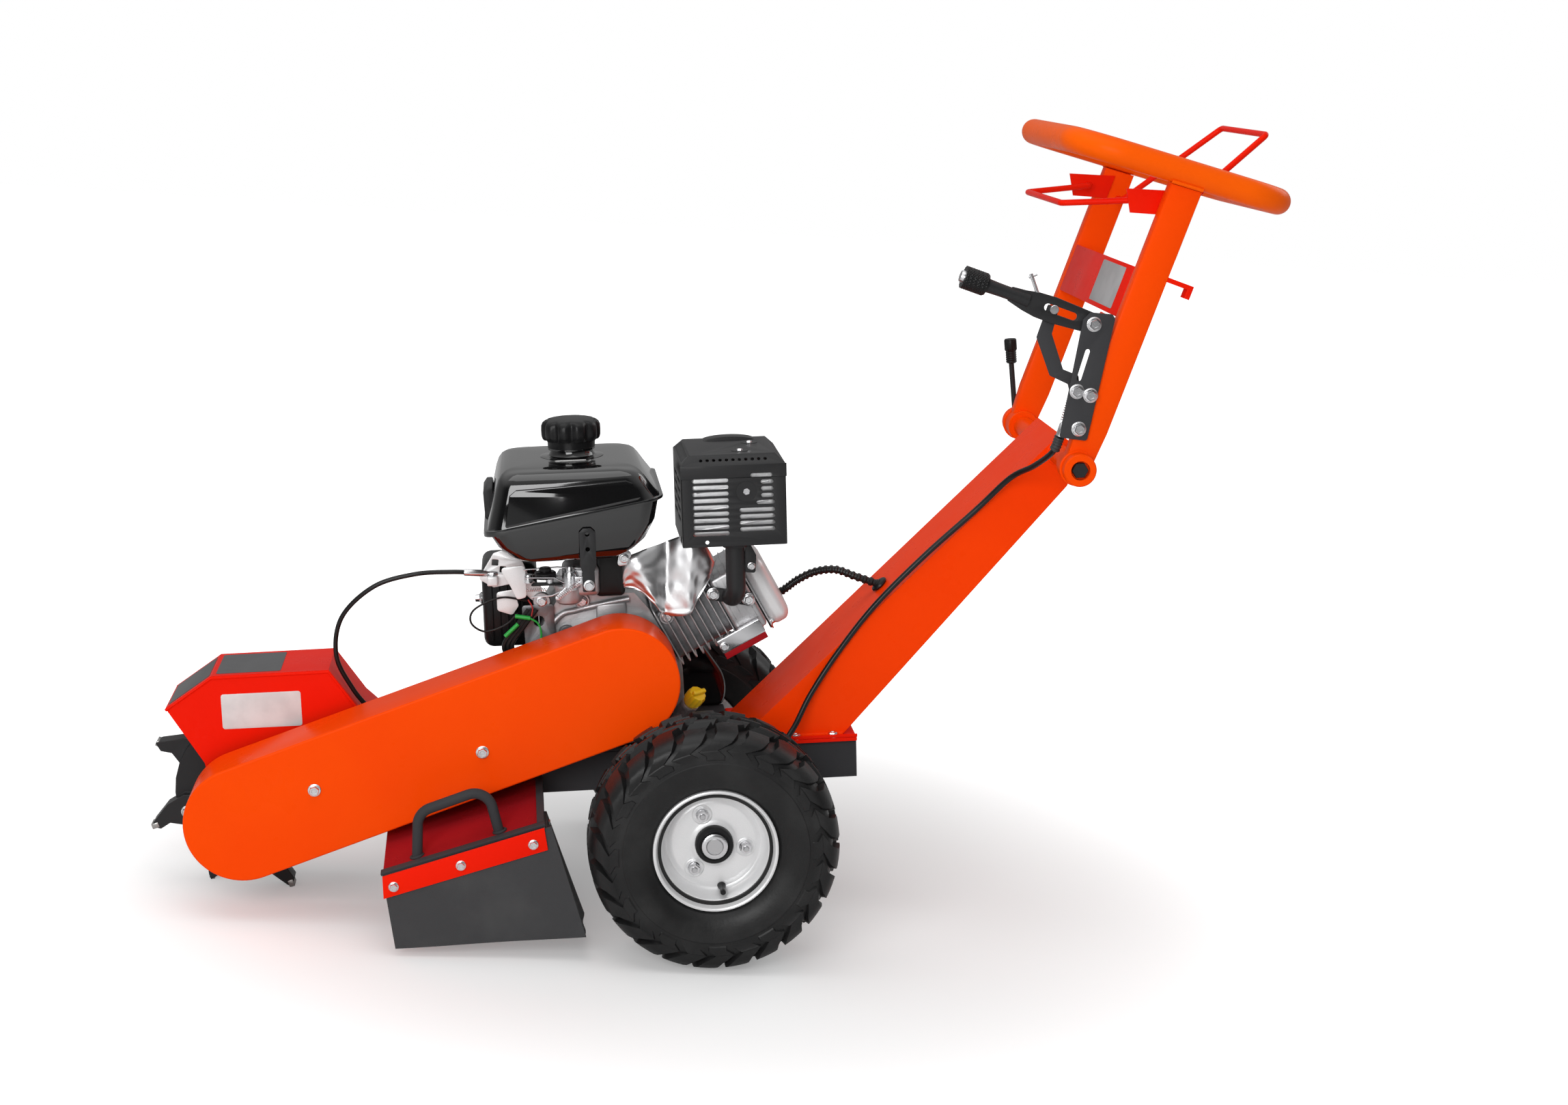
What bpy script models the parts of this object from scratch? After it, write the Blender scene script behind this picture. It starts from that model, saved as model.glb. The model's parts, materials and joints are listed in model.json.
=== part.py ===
"""A walk-behind stump grinder, built from its frame outwards.

Every piece is modelled with the frame level, X towards the operator, Y to the side away from
the drive belt and Z up, with the wheel axle over X = 0.  The parked machine leans forward onto
its cutter, so all the pieces hang from one empty that tips them about the axle.
"""

from math import asin, atan2, cos, hypot, pi, radians, sin, tan

import bmesh
import bpy
from mathutils import Matrix, Vector

GAP = 0.0003  # what two touching pieces keep between them

# wheels and axle
WHEEL_RADIUS = 0.181
TYRE_WIDTH = 0.145
RIM_RADIUS = 0.089
BEAD_RADIUS = 0.0762
NEAR_WHEEL_Y = -0.1975 - TYRE_WIDTH / 2
FAR_WHEEL_Y = 0.2325 + TYRE_WIDTH / 2
AXLE_RADIUS = 0.0125
RUNNING_GAP = 0.0006
WHEEL_SIDES = 24

# frame
RAIL_BOTTOM = 0.2074
RAIL_TOP = 0.2654
RAIL_WIDTH = 0.040
RAIL_OUTSIDE = 0.0905
RAIL_WALL = 0.004
FRAME_FRONT = -0.4417
FRAME_REAR = 0.234
PLATE = 0.006

# cutter and its guard
CUTTER_RADIUS = 0.162
CUTTER_DISC_RADIUS = 0.118
CUTTER_THICKNESS = 0.024
CUTTER_AXIS = (-0.6732, 0.2136)
TEETH = 8
SHAFT_RADIUS = 0.015
GUARD_NEAR_Y = -0.0750
GUARD_FAR_Y = 0.0600
GUARD_WALL = 0.004
BEARING_DEPTH = 0.0195

# belt drive
CRANK_AXIS = (-0.1196, 0.3835)
BELT_GUARD_REAR = (-0.1196, 0.3935)
BELT_GUARD_RADIUS = 0.085
BELT_GUARD_FACE_Y = -0.190
BELT_GUARD_DEPTH = 0.0985
SHEET = 0.0025
BACK_PLATE_Y = -0.0995
PULLEY_FRONT_Y = -0.166
PULLEY_WIDTH = 0.036
CUTTER_PULLEY_RADIUS = 0.062
CLUTCH_RADIUS = 0.058
GROOVE_DEPTH = 0.011
BELT_THICKNESS = 0.009
CRANK_RADIUS = 0.0127

# engine
CYLINDER_TILT = radians(27)
ENGINE_NEAR_Y = -0.055
ENGINE_FAR_Y = 0.115
FINS = 9
FIN_PITCH = 0.0115
FIN_THICKNESS = 0.0022
TANK_LOW = (-0.305, -0.155, 0.570)
TANK_HIGH = (-0.052, 0.112, 0.706)
TANK_WALL = 0.002
FILLER_PLACE = (-0.176, -0.020)
NECK_RADIUS = 0.030
CAP_RADIUS = 0.044
MUFFLER_GUARD_LOW = (-0.022, -0.140, 0.582)
MUFFLER_GUARD_HIGH = (0.131, 0.040, 0.716)
MUFFLER_INSET = 0.014
EXHAUST_RADIUS = 0.0145

# column
COLUMN_HALF_WIDTH = 0.0825
COLUMN_WALL = 0.003
COLUMN_TOP = (0.549, 0.719)
COLUMN_ANGLE = radians(42.3)
FOLD_AXIS = (0.546, 0.690)
PIVOT_TUBE_RADIUS = 0.0155
PIVOT_BOLT_RADIUS = 0.0078

# handle
HANDLE_LEAN = radians(21.67)
POST_DEPTH = 0.047
POST_WIDTH = 0.025
POST_INSIDE = 0.1875
POST_REACH = 0.4463
BOSS_RADIUS = 0.0238
BOSS_OUTSIDE = 0.2355
LOOP_SLOPE = radians(17.9)
LOOP_RADIUS = 0.019
LOOP_LENGTH = 0.3165
LOOP_WIDTH = 0.400
LOOP_CORNER = 0.070
BAIL_RADIUS = 0.0045
FRONT_BAIL_AXIS = (0.650, 1.068)
FRONT_BAIL_TIP = (0.542, 1.064)
REAR_BAIL_AXIS = (0.700, 1.045)
REAR_BAIL_TIP = (0.846, 1.153)

# parking brake lever
LEVER_AXIS = (0.569, 0.898)
LEVER_TIP = (0.382, 0.971)
LINK_AXIS = (0.5444, 0.8024)
LINK_PIN = (0.5126, 0.9203)
LEVER_Y = -0.2065
LEVER_THICKNESS = 0.008
GRIP_RADIUS = 0.017
GRIP_LENGTH = 0.034
BUTTON_RADIUS = 0.0090
BUTTON_LENGTH = 0.012

LOWEST_TOOTH = CUTTER_RADIUS * cos(pi / TEETH)
AXIS_RISE = CUTTER_AXIS[1] - WHEEL_RADIUS
LEAN = (asin((WHEEL_RADIUS - LOWEST_TOOTH) / hypot(CUTTER_AXIS[0], AXIS_RISE))
        + atan2(AXIS_RISE, -CUTTER_AXIS[0]))

for old in list(bpy.data.objects):
    bpy.data.objects.remove(old, do_unlink=True)

parts = bpy.data.collections.new("stump_grinder")
cutters = bpy.data.collections.new("cutters")
bpy.context.scene.collection.children.link(parts)
bpy.context.scene.collection.children.link(cutters)

lean = bpy.data.objects.new("lean", None)
lean.location = (0, 0, WHEEL_RADIUS)
lean.rotation_euler = (0, -LEAN, 0)
parts.objects.link(lean)


def material(name, colour, roughness, metallic):
    made = bpy.data.materials.new(name)
    made.use_nodes = True
    shader = made.node_tree.nodes["Principled BSDF"]
    shader.inputs["Base Color"].default_value = (*colour, 1)
    shader.inputs["Roughness"].default_value = roughness
    shader.inputs["Metallic"].default_value = metallic
    return made


ORANGE = material("orange_paint", (0.90, 0.105, 0.004), 0.35, 0.0)
RED = material("red_paint", (0.72, 0.018, 0.006), 0.35, 0.0)
DARK = material("dark_grey_paint", (0.045, 0.045, 0.048), 0.45, 0.0)
BLACK = material("black_gloss", (0.008, 0.008, 0.008), 0.15, 0.0)
SATIN = material("satin_black_steel", (0.022, 0.022, 0.023), 0.45, 0.0)
TYRE = material("tyre_rubber", (0.018, 0.018, 0.018), 0.75, 0.0)
RUBBER = material("flap_rubber", (0.030, 0.030, 0.031), 0.8, 0.0)
SILVER = material("silver_paint", (0.62, 0.62, 0.63), 0.4, 0.4)
CAST = material("cast_aluminium", (0.58, 0.58, 0.59), 0.4, 0.9)
STEEL = material("plated_steel", (0.65, 0.65, 0.67), 0.25, 1.0)
CHROME = material("bright_shield", (0.75, 0.75, 0.76), 0.12, 1.0)
CABLE = material("cable_sheath", (0.012, 0.012, 0.012), 0.5, 0.0)
YELLOW = material("yellow_plastic", (0.85, 0.50, 0.01), 0.4, 0.0)


def keep(obj, name, finish):
    """Names a finished object, gives it its material and hangs it from the leaning empty."""
    for collection in list(obj.users_collection):
        collection.objects.unlink(obj)
    parts.objects.link(obj)
    obj.name = obj.data.name = name
    obj.data.materials.clear()
    obj.data.materials.append(finish)
    obj.parent = lean
    obj.matrix_parent_inverse = Matrix.Translation((0, 0, -WHEEL_RADIUS))
    return obj


def spare(obj):
    """Hides an object that only cuts or joins others."""
    for collection in list(obj.users_collection):
        collection.objects.unlink(obj)
    cutters.objects.link(obj)
    obj.hide_render = True
    obj.display_type = "WIRE"
    obj.parent = lean
    obj.matrix_parent_inverse = Matrix.Translation((0, 0, -WHEEL_RADIUS))
    return obj


def combine(obj, others, operation):
    for other in others:
        spare(other)
        step = obj.modifiers.new(operation.lower(), "BOOLEAN")
        step.operation = operation
        step.solver = "EXACT"
        step.object = other
    return obj


def join(obj, *others):
    return combine(obj, others, "UNION")


def cut(obj, *others):
    return combine(obj, others, "DIFFERENCE")


def as_mesh(obj):
    """The mesh of a curve object, with its caps welded to its sides."""
    bpy.context.view_layer.update()
    seen = obj.evaluated_get(bpy.context.evaluated_depsgraph_get())
    mesh = bpy.data.meshes.new_from_object(seen)
    form = bmesh.new()
    form.from_mesh(mesh)
    bmesh.ops.remove_doubles(form, verts=form.verts, dist=1e-6)
    bmesh.ops.recalc_face_normals(form, faces=form.faces)
    form.to_mesh(mesh)
    form.free()
    made = bpy.data.objects.new("solid", mesh)
    made.matrix_world = obj.matrix_world
    bpy.context.scene.collection.objects.link(made)
    bpy.data.objects.remove(obj, do_unlink=True)
    return made


def plate(outline, low_y, high_y, holes=()):
    """An outline of (x, z) points, with holes in it, as thick as from low_y to high_y."""
    curve = bpy.data.curves.new("outline", "CURVE")
    curve.dimensions = "2D"
    curve.fill_mode = "BOTH"
    curve.extrude = (high_y - low_y) / 2
    for ring in (outline, *holes):
        spline = curve.splines.new("POLY")
        spline.points.add(len(ring) - 1)
        for point, (x, z) in zip(spline.points, ring):
            point.co = (x, z, 0, 1)
        spline.use_cyclic_u = True
    obj = bpy.data.objects.new("outline", curve)
    obj.rotation_euler = (pi / 2, 0, 0)
    obj.location = (0, (low_y + high_y) / 2, 0)
    bpy.context.scene.collection.objects.link(obj)
    return as_mesh(obj)


def box(low, high):
    middle = [(a + b) / 2 for a, b in zip(low, high)]
    bpy.ops.mesh.primitive_cube_add(size=1, location=middle)
    obj = bpy.context.object
    obj.data.transform(Matrix.Diagonal((*[b - a for a, b in zip(low, high)], 1)))
    return obj


def rod(start, end, radius, sides=20):
    """A round bar between two points."""
    start, end = Vector(start), Vector(end)
    along = end - start
    bpy.ops.mesh.primitive_cylinder_add(vertices=sides, radius=radius, depth=along.length)
    obj = bpy.context.object
    obj.data.transform(along.to_track_quat("Z", "Y").to_matrix().to_4x4())
    obj.location = (start + end) / 2
    return obj


def cross_rod(centre, low_y, high_y, radius, sides=24):
    return rod((centre[0], low_y, centre[1]), (centre[0], high_y, centre[1]), radius, sides)


def circle(centre, radius, sides=24):
    return [(centre[0] + radius * cos(2 * pi * i / sides), centre[1] + radius * sin(2 * pi * i / sides))
            for i in range(sides)]


def pill(first, second, first_radius, second_radius, steps=12):
    """The outline of a belt round two circles."""
    run = atan2(second[1] - first[1], second[0] - first[0])
    reach = hypot(second[0] - first[0], second[1] - first[1])
    spread = asin((first_radius - second_radius) / reach)
    points = []
    for centre, radius, start, end in (
            (first, first_radius, run + pi / 2 - spread, run + 1.5 * pi + spread),
            (second, second_radius, run - pi / 2 + spread, run + pi / 2 - spread)):
        for i in range(steps + 1):
            turn = start + (end - start) * i / steps
            points.append((centre[0] + radius * cos(turn), centre[1] + radius * sin(turn)))
    return points


def turned(profile, centre, facing=1, steps=32, start=0.0):
    """A closed (radius, height) profile turned about the Y axis through centre = (x, y, z)."""
    mesh = bpy.data.meshes.new("turned")
    edges = [(i, (i + 1) % len(profile)) for i in range(len(profile))]
    side = -facing * sin(start)
    mesh.from_pydata([(r * cos(start), r * side, h) for r, h in profile], edges, [])
    obj = bpy.data.objects.new("turned", mesh)
    bpy.context.scene.collection.objects.link(obj)
    spin = obj.modifiers.new("spin", "SCREW")
    spin.steps = spin.render_steps = steps
    spin.use_merge_vertices = True
    spin.merge_threshold = 1e-5
    obj.rotation_euler = (-facing * pi / 2, 0, 0)
    obj.location = centre
    return obj


def turned_up(profile, place, steps=32):
    """A profile that starts and ends on the axis, turned about Z through place = (x, y)."""
    obj = turned(profile, (*place, 0), 1, steps)
    obj.rotation_euler = (0, 0, 0)
    return obj


def rounded(points, radius, steps=5, closed=False):
    """A path of 3-D points with an arc of the given radius at each bend."""
    points = [Vector(p) for p in points]
    count = len(points)
    made = []
    for i, corner in enumerate(points):
        if not closed and i in (0, count - 1):
            made.append(corner)
            continue
        before = (points[i - 1] - corner).normalized()
        after = (points[(i + 1) % count] - corner).normalized()
        half = before.angle(after) / 2
        inset = radius / tan(half)
        centre = corner + (before + after).normalized() * (radius / sin(half))
        first = corner + before * inset - centre
        last = corner + after * inset - centre
        for step in range(steps + 1):
            made.append(centre + first.slerp(last, step / steps).normalized() * radius)
    return made


def tube(path, radius, closed=False, resolution=2):
    curve = bpy.data.curves.new("tube", "CURVE")
    curve.dimensions = "3D"
    curve.bevel_depth = radius
    curve.bevel_resolution = resolution
    curve.use_fill_caps = not closed
    spline = curve.splines.new("POLY")
    spline.points.add(len(path) - 1)
    for point, place in zip(spline.points, path):
        point.co = (*place, 1)
    spline.use_cyclic_u = closed
    obj = bpy.data.objects.new("tube", curve)
    bpy.context.scene.collection.objects.link(obj)
    return as_mesh(obj)


def smooth_path(points, steps):
    """A Catmull-Rom curve through the points, with a number of steps between each two."""
    points = [Vector(p) for p in points]
    ends = [2 * points[0] - points[1], *points, 2 * points[-1] - points[-2]]
    made = []
    for a, b, c, d in zip(ends, ends[1:], ends[2:], ends[3:]):
        for step in range(steps):
            t = step / steps
            made.append((2 * b + (c - a) * t + (2 * a - 5 * b + 4 * c - d) * t ** 2
                         + (3 * b - a - 3 * c + d) * t ** 3) / 2)
    return [*made, points[-1]]


def soften(obj, width, segments=2, angle=40):
    bevel = obj.modifiers.new("edges", "BEVEL")
    bevel.width = width
    bevel.segments = segments
    bevel.limit_method = "ANGLE"
    bevel.angle_limit = radians(angle)
    return obj


def inward(outline, inset):
    """A convex outline, counter-clockwise or clockwise, moved inwards by inset."""
    count = len(outline)
    area = sum(a[0] * b[1] - b[0] * a[1] for a, b in zip(outline, outline[1:] + outline[:1]))
    side = 1 if area > 0 else -1
    made = []
    for i, here in enumerate(outline):
        corner = Vector(here)
        into = (corner - Vector(outline[i - 1])).normalized()
        out = (Vector(outline[(i + 1) % count]) - corner).normalized()
        first = Vector((-into.y, into.x)) * side
        second = Vector((-out.y, out.x)) * side
        made.append(tuple(corner + (first + second) * (inset / (1 + first.dot(second)))))
    return made


# ---------------------------------------------------------------- wheels

# the tread is a ring of flats, and the machine stands with one of them square on the ground
TREAD_RADIUS = WHEEL_RADIUS / cos(pi / WHEEL_SIDES)
FLAT_DOWN = pi / WHEEL_SIDES - LEAN


def make_wheel(name, y, facing):
    half = TYRE_WIDTH / 2
    outer = [(BEAD_RADIUS + 0.0004, 0.0510), (RIM_RADIUS + 0.0010, 0.0512), (RIM_RADIUS + 0.0035, 0.0575),
             (0.107, half - 0.0045), (0.130, half), (0.155, half - 0.0025), (0.172, half - 0.0125),
             (TREAD_RADIUS, half - 0.0325)]
    inner = [(BEAD_RADIUS + 0.0004, 0.0420), (RIM_RADIUS + 0.0030, 0.0450), (0.130, 0.0640), (0.166, 0.0510)]
    ring = (outer + [(r, -h) for r, h in reversed(outer)]
            + [(r, -h) for r, h in inner] + list(reversed(inner)))
    keep(turned(ring, (0, y, WHEEL_RADIUS), facing, WHEEL_SIDES, FLAT_DOWN), name + "_tyre", TYRE)
    bore = AXLE_RADIUS + RUNNING_GAP
    rim = [(RIM_RADIUS, 0.058), (RIM_RADIUS, 0.055), (BEAD_RADIUS - GAP, 0.0515), (BEAD_RADIUS - GAP, -0.0515),
           (RIM_RADIUS, -0.055), (RIM_RADIUS, -0.058), (0.0730, -0.0545), (0.0730, 0.0000), (0.0450, 0.0050),
           (0.0270, 0.0050), (0.0270, -0.0450), (bore, -0.0450), (bore, 0.0300), (0.0240, 0.0300),
           (0.0260, 0.0080), (0.0450, 0.0080), (0.0730, 0.0035), (0.0730, 0.0545)]
    keep(turned(rim, (0, y, WHEEL_RADIUS), facing, WHEEL_SIDES), name + "_rim", SILVER)


make_wheel("near_wheel", NEAR_WHEEL_Y, -1)
make_wheel("far_wheel", FAR_WHEEL_Y, 1)
keep(cross_rod((0, WHEEL_RADIUS), NEAR_WHEEL_Y - 0.040, FAR_WHEEL_Y + 0.040, AXLE_RADIUS, 20), "axle", STEEL)

drum_bore = AXLE_RADIUS + RUNNING_GAP
drum = [(0.0600, -0.0453), (0.0600, -0.0700), (0.0560, -0.0700), (0.0560, -0.0500), (drum_bore, -0.0500),
        (drum_bore, -0.0453)]
keep(turned(drum, (0, NEAR_WHEEL_Y, WHEEL_RADIUS), -1, 28), "brake_drum", CAST)

# the band wraps the drum except for a slot at the bottom, and a bar holds it to the frame rail
BAND_RADII = (0.0616, 0.0645)
BAND_STEPS = 20
band_turns = [radians(-75 + 330 * i / BAND_STEPS) for i in range(BAND_STEPS + 1)]
band_outline = [(radius * cos(turn), WHEEL_RADIUS + radius * sin(turn))
                for radius, turns in ((BAND_RADII[1], band_turns), (BAND_RADII[0], band_turns[::-1]))
                for turn in turns]
band = plate(band_outline, NEAR_WHEEL_Y + 0.0560, NEAR_WHEEL_Y + 0.0720)
band_bar = box((-0.008, NEAR_WHEEL_Y + 0.0700, WHEEL_RADIUS + BAND_RADII[0] + 0.0010),
               (0.008, -RAIL_OUTSIDE - GAP, WHEEL_RADIUS + BAND_RADII[1] + 0.0060))
keep(join(band, band_bar), "brake_band", DARK)

# ---------------------------------------------------------------- frame

HANGER_HALF = 0.032
HANGER_BOTTOM = WHEEL_RADIUS - 0.026


def make_rail(side):
    edges = sorted((side * RAIL_OUTSIDE, side * (RAIL_OUTSIDE - RAIL_WIDTH)))
    rail = box((FRAME_FRONT, edges[0], RAIL_BOTTOM), (FRAME_REAR, edges[1], RAIL_TOP))
    hollow = box((FRAME_FRONT - 0.01, edges[0] + RAIL_WALL, RAIL_BOTTOM + RAIL_WALL),
                 (FRAME_REAR + 0.01, edges[1] - RAIL_WALL, RAIL_TOP - RAIL_WALL))
    hanger = box((-HANGER_HALF, edges[0] + 0.002, HANGER_BOTTOM),
                 (HANGER_HALF, edges[1] - 0.002, RAIL_BOTTOM + RAIL_WALL / 2))
    bore = cross_rod((0, WHEEL_RADIUS), edges[0] - 0.01, edges[1] + 0.01, AXLE_RADIUS + GAP, 20)
    return join(cut(rail, hollow), cut(hanger, bore))


BULKHEAD_THICKNESS = 0.008
BULKHEAD_FRONT = FRAME_FRONT - BULKHEAD_THICKNESS
bulkhead = box((BULKHEAD_FRONT, -RAIL_OUTSIDE, 0.150), (FRAME_FRONT + 0.001, RAIL_OUTSIDE, RAIL_TOP))
rail_inside = RAIL_OUTSIDE - RAIL_WIDTH + 0.001
rear_member = box((FRAME_REAR - 0.034, -rail_inside, RAIL_BOTTOM + 0.001),
                  (FRAME_REAR - 0.001, rail_inside, RAIL_TOP - 0.001))
keep(join(make_rail(-1), make_rail(1), bulkhead, rear_member), "frame", DARK)
DECK_BOTTOM = RAIL_TOP + GAP
DECK_TOP = DECK_BOTTOM + PLATE
COLUMN_PLATE_FRONT = 0.0503
keep(box((FRAME_FRONT, -RAIL_OUTSIDE, DECK_BOTTOM), (COLUMN_PLATE_FRONT - GAP, 0.125, DECK_TOP)), "engine_deck", DARK)

# ---------------------------------------------------------------- cutter guard

GUARD_TOP = [(-0.787, 0.362), (-0.718, 0.4075), (-0.547, 0.4085), (-0.505, 0.345), (BULKHEAD_FRONT - GAP, 0.290)]
GUARD_SIDE = GUARD_TOP + [(BULKHEAD_FRONT - GAP, 0.160), (-0.560, 0.150), (-0.715, 0.165), (-0.736, 0.276)]


def strip(points, thickness):
    """A bent sheet that follows the points and is as thick as thickness on their right."""
    made = []
    for i, here in enumerate(points):
        before = Vector(points[max(i - 1, 0)])
        after = Vector(points[min(i + 1, len(points) - 1)])
        here = Vector(here)
        into = (here - before).normalized() if i else (after - here).normalized()
        out = (after - here).normalized() if i < len(points) - 1 else into
        first, second = Vector((into.y, -into.x)), Vector((out.y, -out.x))
        made.append(tuple(here + (first + second) * (thickness / (1 + first.dot(second)))))
    return list(points) + made[::-1]


shaft_hole = SHAFT_RADIUS + RUNNING_GAP
guard = plate(strip(GUARD_TOP, GUARD_WALL), GUARD_NEAR_Y + 0.001, GUARD_FAR_Y - 0.001)
for low_y in (GUARD_NEAR_Y, GUARD_FAR_Y - GUARD_WALL):
    join(guard, plate(GUARD_SIDE, low_y, low_y + GUARD_WALL, [circle(CUTTER_AXIS, shaft_hole, 24)]))
keep(guard, "cutter_guard", RED)


def make_bearing(name, face_y, side):
    """A flange bearing: a round housing on a diamond foot whose face lies at face_y."""
    feet = [(CUTTER_AXIS[0] + reach, CUTTER_AXIS[1]) for reach in (-0.030, 0.030)]
    foot = plate(pill(*feet, 0.009, 0.009, 5), *sorted((face_y, face_y + side * 0.007)))
    housing = plate(circle(CUTTER_AXIS, 0.030, 24), *sorted((face_y + side * 0.001, face_y + side * BEARING_DEPTH)))
    bore = cross_rod(CUTTER_AXIS, face_y - 0.05, face_y + 0.05, shaft_hole, 24)
    keep(cut(join(housing, foot), bore), name, CAST)


make_bearing("near_bearing", GUARD_NEAR_Y - GAP, -1)
make_bearing("far_bearing", GUARD_FAR_Y + GAP, 1)

# ---------------------------------------------------------------- cutter

def tooth_outline(turn):
    """A hooked tooth whose tip leads in the cutting direction."""
    shape = [(0.070, -0.020), (0.100, -0.030), (0.128, -0.024), (CUTTER_RADIUS - 0.006, -0.006),
             (CUTTER_RADIUS, 0.000), (CUTTER_RADIUS - 0.012, 0.008), (0.134, 0.004), (0.112, 0.016), (0.080, 0.018)]
    return [(CUTTER_AXIS[0] + r * cos(turn) - t * sin(turn), CUTTER_AXIS[1] + r * sin(turn) + t * cos(turn))
            for r, t in shape]


wheel = plate(circle(CUTTER_AXIS, CUTTER_DISC_RADIUS, 32), -CUTTER_THICKNESS / 2, CUTTER_THICKNESS / 2,
              [circle(CUTTER_AXIS, SHAFT_RADIUS + GAP, 24)])
for i in range(TEETH):
    out = CUTTER_THICKNESS / 2 * (1 if i % 2 else -1)
    join(wheel, plate(tooth_outline(2 * pi * (i + 0.5) / TEETH - LEAN), *sorted((-0.3 * out, 2.1 * out))))
keep(wheel, "cutter_wheel", SATIN)
keep(cross_rod(CUTTER_AXIS, PULLEY_FRONT_Y - 0.004, GUARD_FAR_Y + 0.026, SHAFT_RADIUS, 24), "cutter_shaft", STEEL)


def pulley_profile(radius, bore):
    """A grooved pulley, from its front face at height 0 to its back face."""
    lip = 0.003
    floor = radius - GROOVE_DEPTH
    return [(radius, 0), (radius, -lip), (floor, -lip), (floor, lip - PULLEY_WIDTH), (radius, lip - PULLEY_WIDTH),
            (radius, -PULLEY_WIDTH), (bore, -PULLEY_WIDTH), (bore, 0)]


keep(turned(pulley_profile(CUTTER_PULLEY_RADIUS, SHAFT_RADIUS + GAP), (CUTTER_AXIS[0], PULLEY_FRONT_Y, CUTTER_AXIS[1]),
            -1, 24), "cutter_pulley", CAST)
keep(turned(pulley_profile(CLUTCH_RADIUS, CRANK_RADIUS + GAP), (CRANK_AXIS[0], PULLEY_FRONT_Y, CRANK_AXIS[1]), -1, 24),
     "clutch_pulley", CAST)
keep(cross_rod(CRANK_AXIS, PULLEY_FRONT_Y - 0.004, -0.030, CRANK_RADIUS, 20), "crankshaft", STEEL)
seat = GROOVE_DEPTH - 2 * GAP
belt_low_y = PULLEY_FRONT_Y + 0.003 + GAP
belt_high_y = PULLEY_FRONT_Y + PULLEY_WIDTH - 0.003 - GAP
keep(plate(pill(CUTTER_AXIS, CRANK_AXIS, CUTTER_PULLEY_RADIUS - seat + BELT_THICKNESS,
                CLUTCH_RADIUS - seat + BELT_THICKNESS),
           belt_low_y, belt_high_y,
           [pill(CUTTER_AXIS, CRANK_AXIS, CUTTER_PULLEY_RADIUS - seat, CLUTCH_RADIUS - seat)]), "drive_belt", TYRE)

# ---------------------------------------------------------------- belt guard

face_back = BELT_GUARD_FACE_Y + BELT_GUARD_DEPTH
cover = plate(pill(CUTTER_AXIS, BELT_GUARD_REAR, BELT_GUARD_RADIUS, BELT_GUARD_RADIUS, 16), BELT_GUARD_FACE_Y, face_back)
inner_radius = BELT_GUARD_RADIUS - SHEET
cut(cover, plate(pill(CUTTER_AXIS, BELT_GUARD_REAR, inner_radius, inner_radius, 16), BELT_GUARD_FACE_Y + SHEET,
                 face_back + 0.01))
keep(cover, "belt_guard", ORANGE)
back_radius = inner_radius - GAP
keep(plate(pill(CUTTER_AXIS, BELT_GUARD_REAR, back_radius, back_radius, 16), BACK_PLATE_Y, BACK_PLATE_Y + 0.003,
           [circle(CUTTER_AXIS, shaft_hole + 0.006, 24), circle(CRANK_AXIS, 0.024, 24)]), "belt_guard_back", DARK)

# ---------------------------------------------------------------- engine

ALONG = Vector((cos(CYLINDER_TILT), sin(CYLINDER_TILT)))
ACROSS = Vector((-sin(CYLINDER_TILT), cos(CYLINDER_TILT)))


def inclined(along, across):
    """A point by its distance along the cylinder's axis from the crank and across it."""
    return tuple(Vector(CRANK_AXIS) + ALONG * along + ACROSS * across)


def inclined_block(start, end, low, high, low_y, high_y):
    return plate([inclined(start, low), inclined(end, low), inclined(end, high), inclined(start, high)], low_y, high_y)


ENGINE_BOTTOM = DECK_TOP + GAP
CYLINDER_START = 0.0850
case = [(-0.225, ENGINE_BOTTOM), (-0.030, ENGINE_BOTTOM), (-0.022, 0.330), inclined(CYLINDER_START - GAP, -0.046),
        inclined(CYLINDER_START - GAP, 0.058), (-0.092, 0.500), (-0.200, 0.505), (-0.235, 0.450), (-0.235, 0.330)]
crankcase = plate(case, ENGINE_NEAR_Y, ENGINE_FAR_Y)
cut(crankcase, cross_rod(CRANK_AXIS, ENGINE_NEAR_Y - 0.02, 0.0, CRANK_RADIUS + RUNNING_GAP, 20))
COVER_RADIUS = 0.091
cover_centre = (CRANK_AXIS[0] - 0.003, ENGINE_BOTTOM + COVER_RADIUS + 0.004)
join(crankcase, plate(circle(cover_centre, COVER_RADIUS, 28), -0.0885, ENGINE_NEAR_Y + 0.002,
                      [circle(CRANK_AXIS, CRANK_RADIUS + RUNNING_GAP, 20)]))
join(crankcase, box((-0.190, 0.020, 0.500), (-0.110, 0.060, TANK_LOW[2] - GAP)))
FILLER_ROOT = Vector((-0.040, -0.0505, 0.293))
FILLER_MOUTH = Vector((-0.014, -0.0820, 0.334))
join(crankcase, rod(FILLER_ROOT, FILLER_MOUTH, 0.0125, 16))
keep(crankcase, "crankcase", CAST)

FIN_LOW, FIN_HIGH = -0.041, 0.062
cylinder = inclined_block(CYLINDER_START, CYLINDER_START + 0.0985, -0.032, 0.050, -0.060, 0.060)
for i in range(FINS):
    start = CYLINDER_START + 0.003 + FIN_PITCH * i
    join(cylinder, inclined_block(start, start + FIN_THICKNESS, FIN_LOW, FIN_HIGH, -0.0745, 0.0745))
HEAD_START = CYLINDER_START + 0.0980
HEAD_END = HEAD_START + 0.047
HEAD_NEAR_Y = -0.075
join(cylinder, inclined_block(HEAD_START, HEAD_END, -0.046, 0.055, HEAD_NEAR_Y, 0.070))
keep(cylinder, "cylinder", CAST)
keep(soften(inclined_block(HEAD_END + GAP, HEAD_END + 0.038, -0.062, 0.048, -0.050, 0.085), 0.010), "valve_cover", SILVER)

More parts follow.
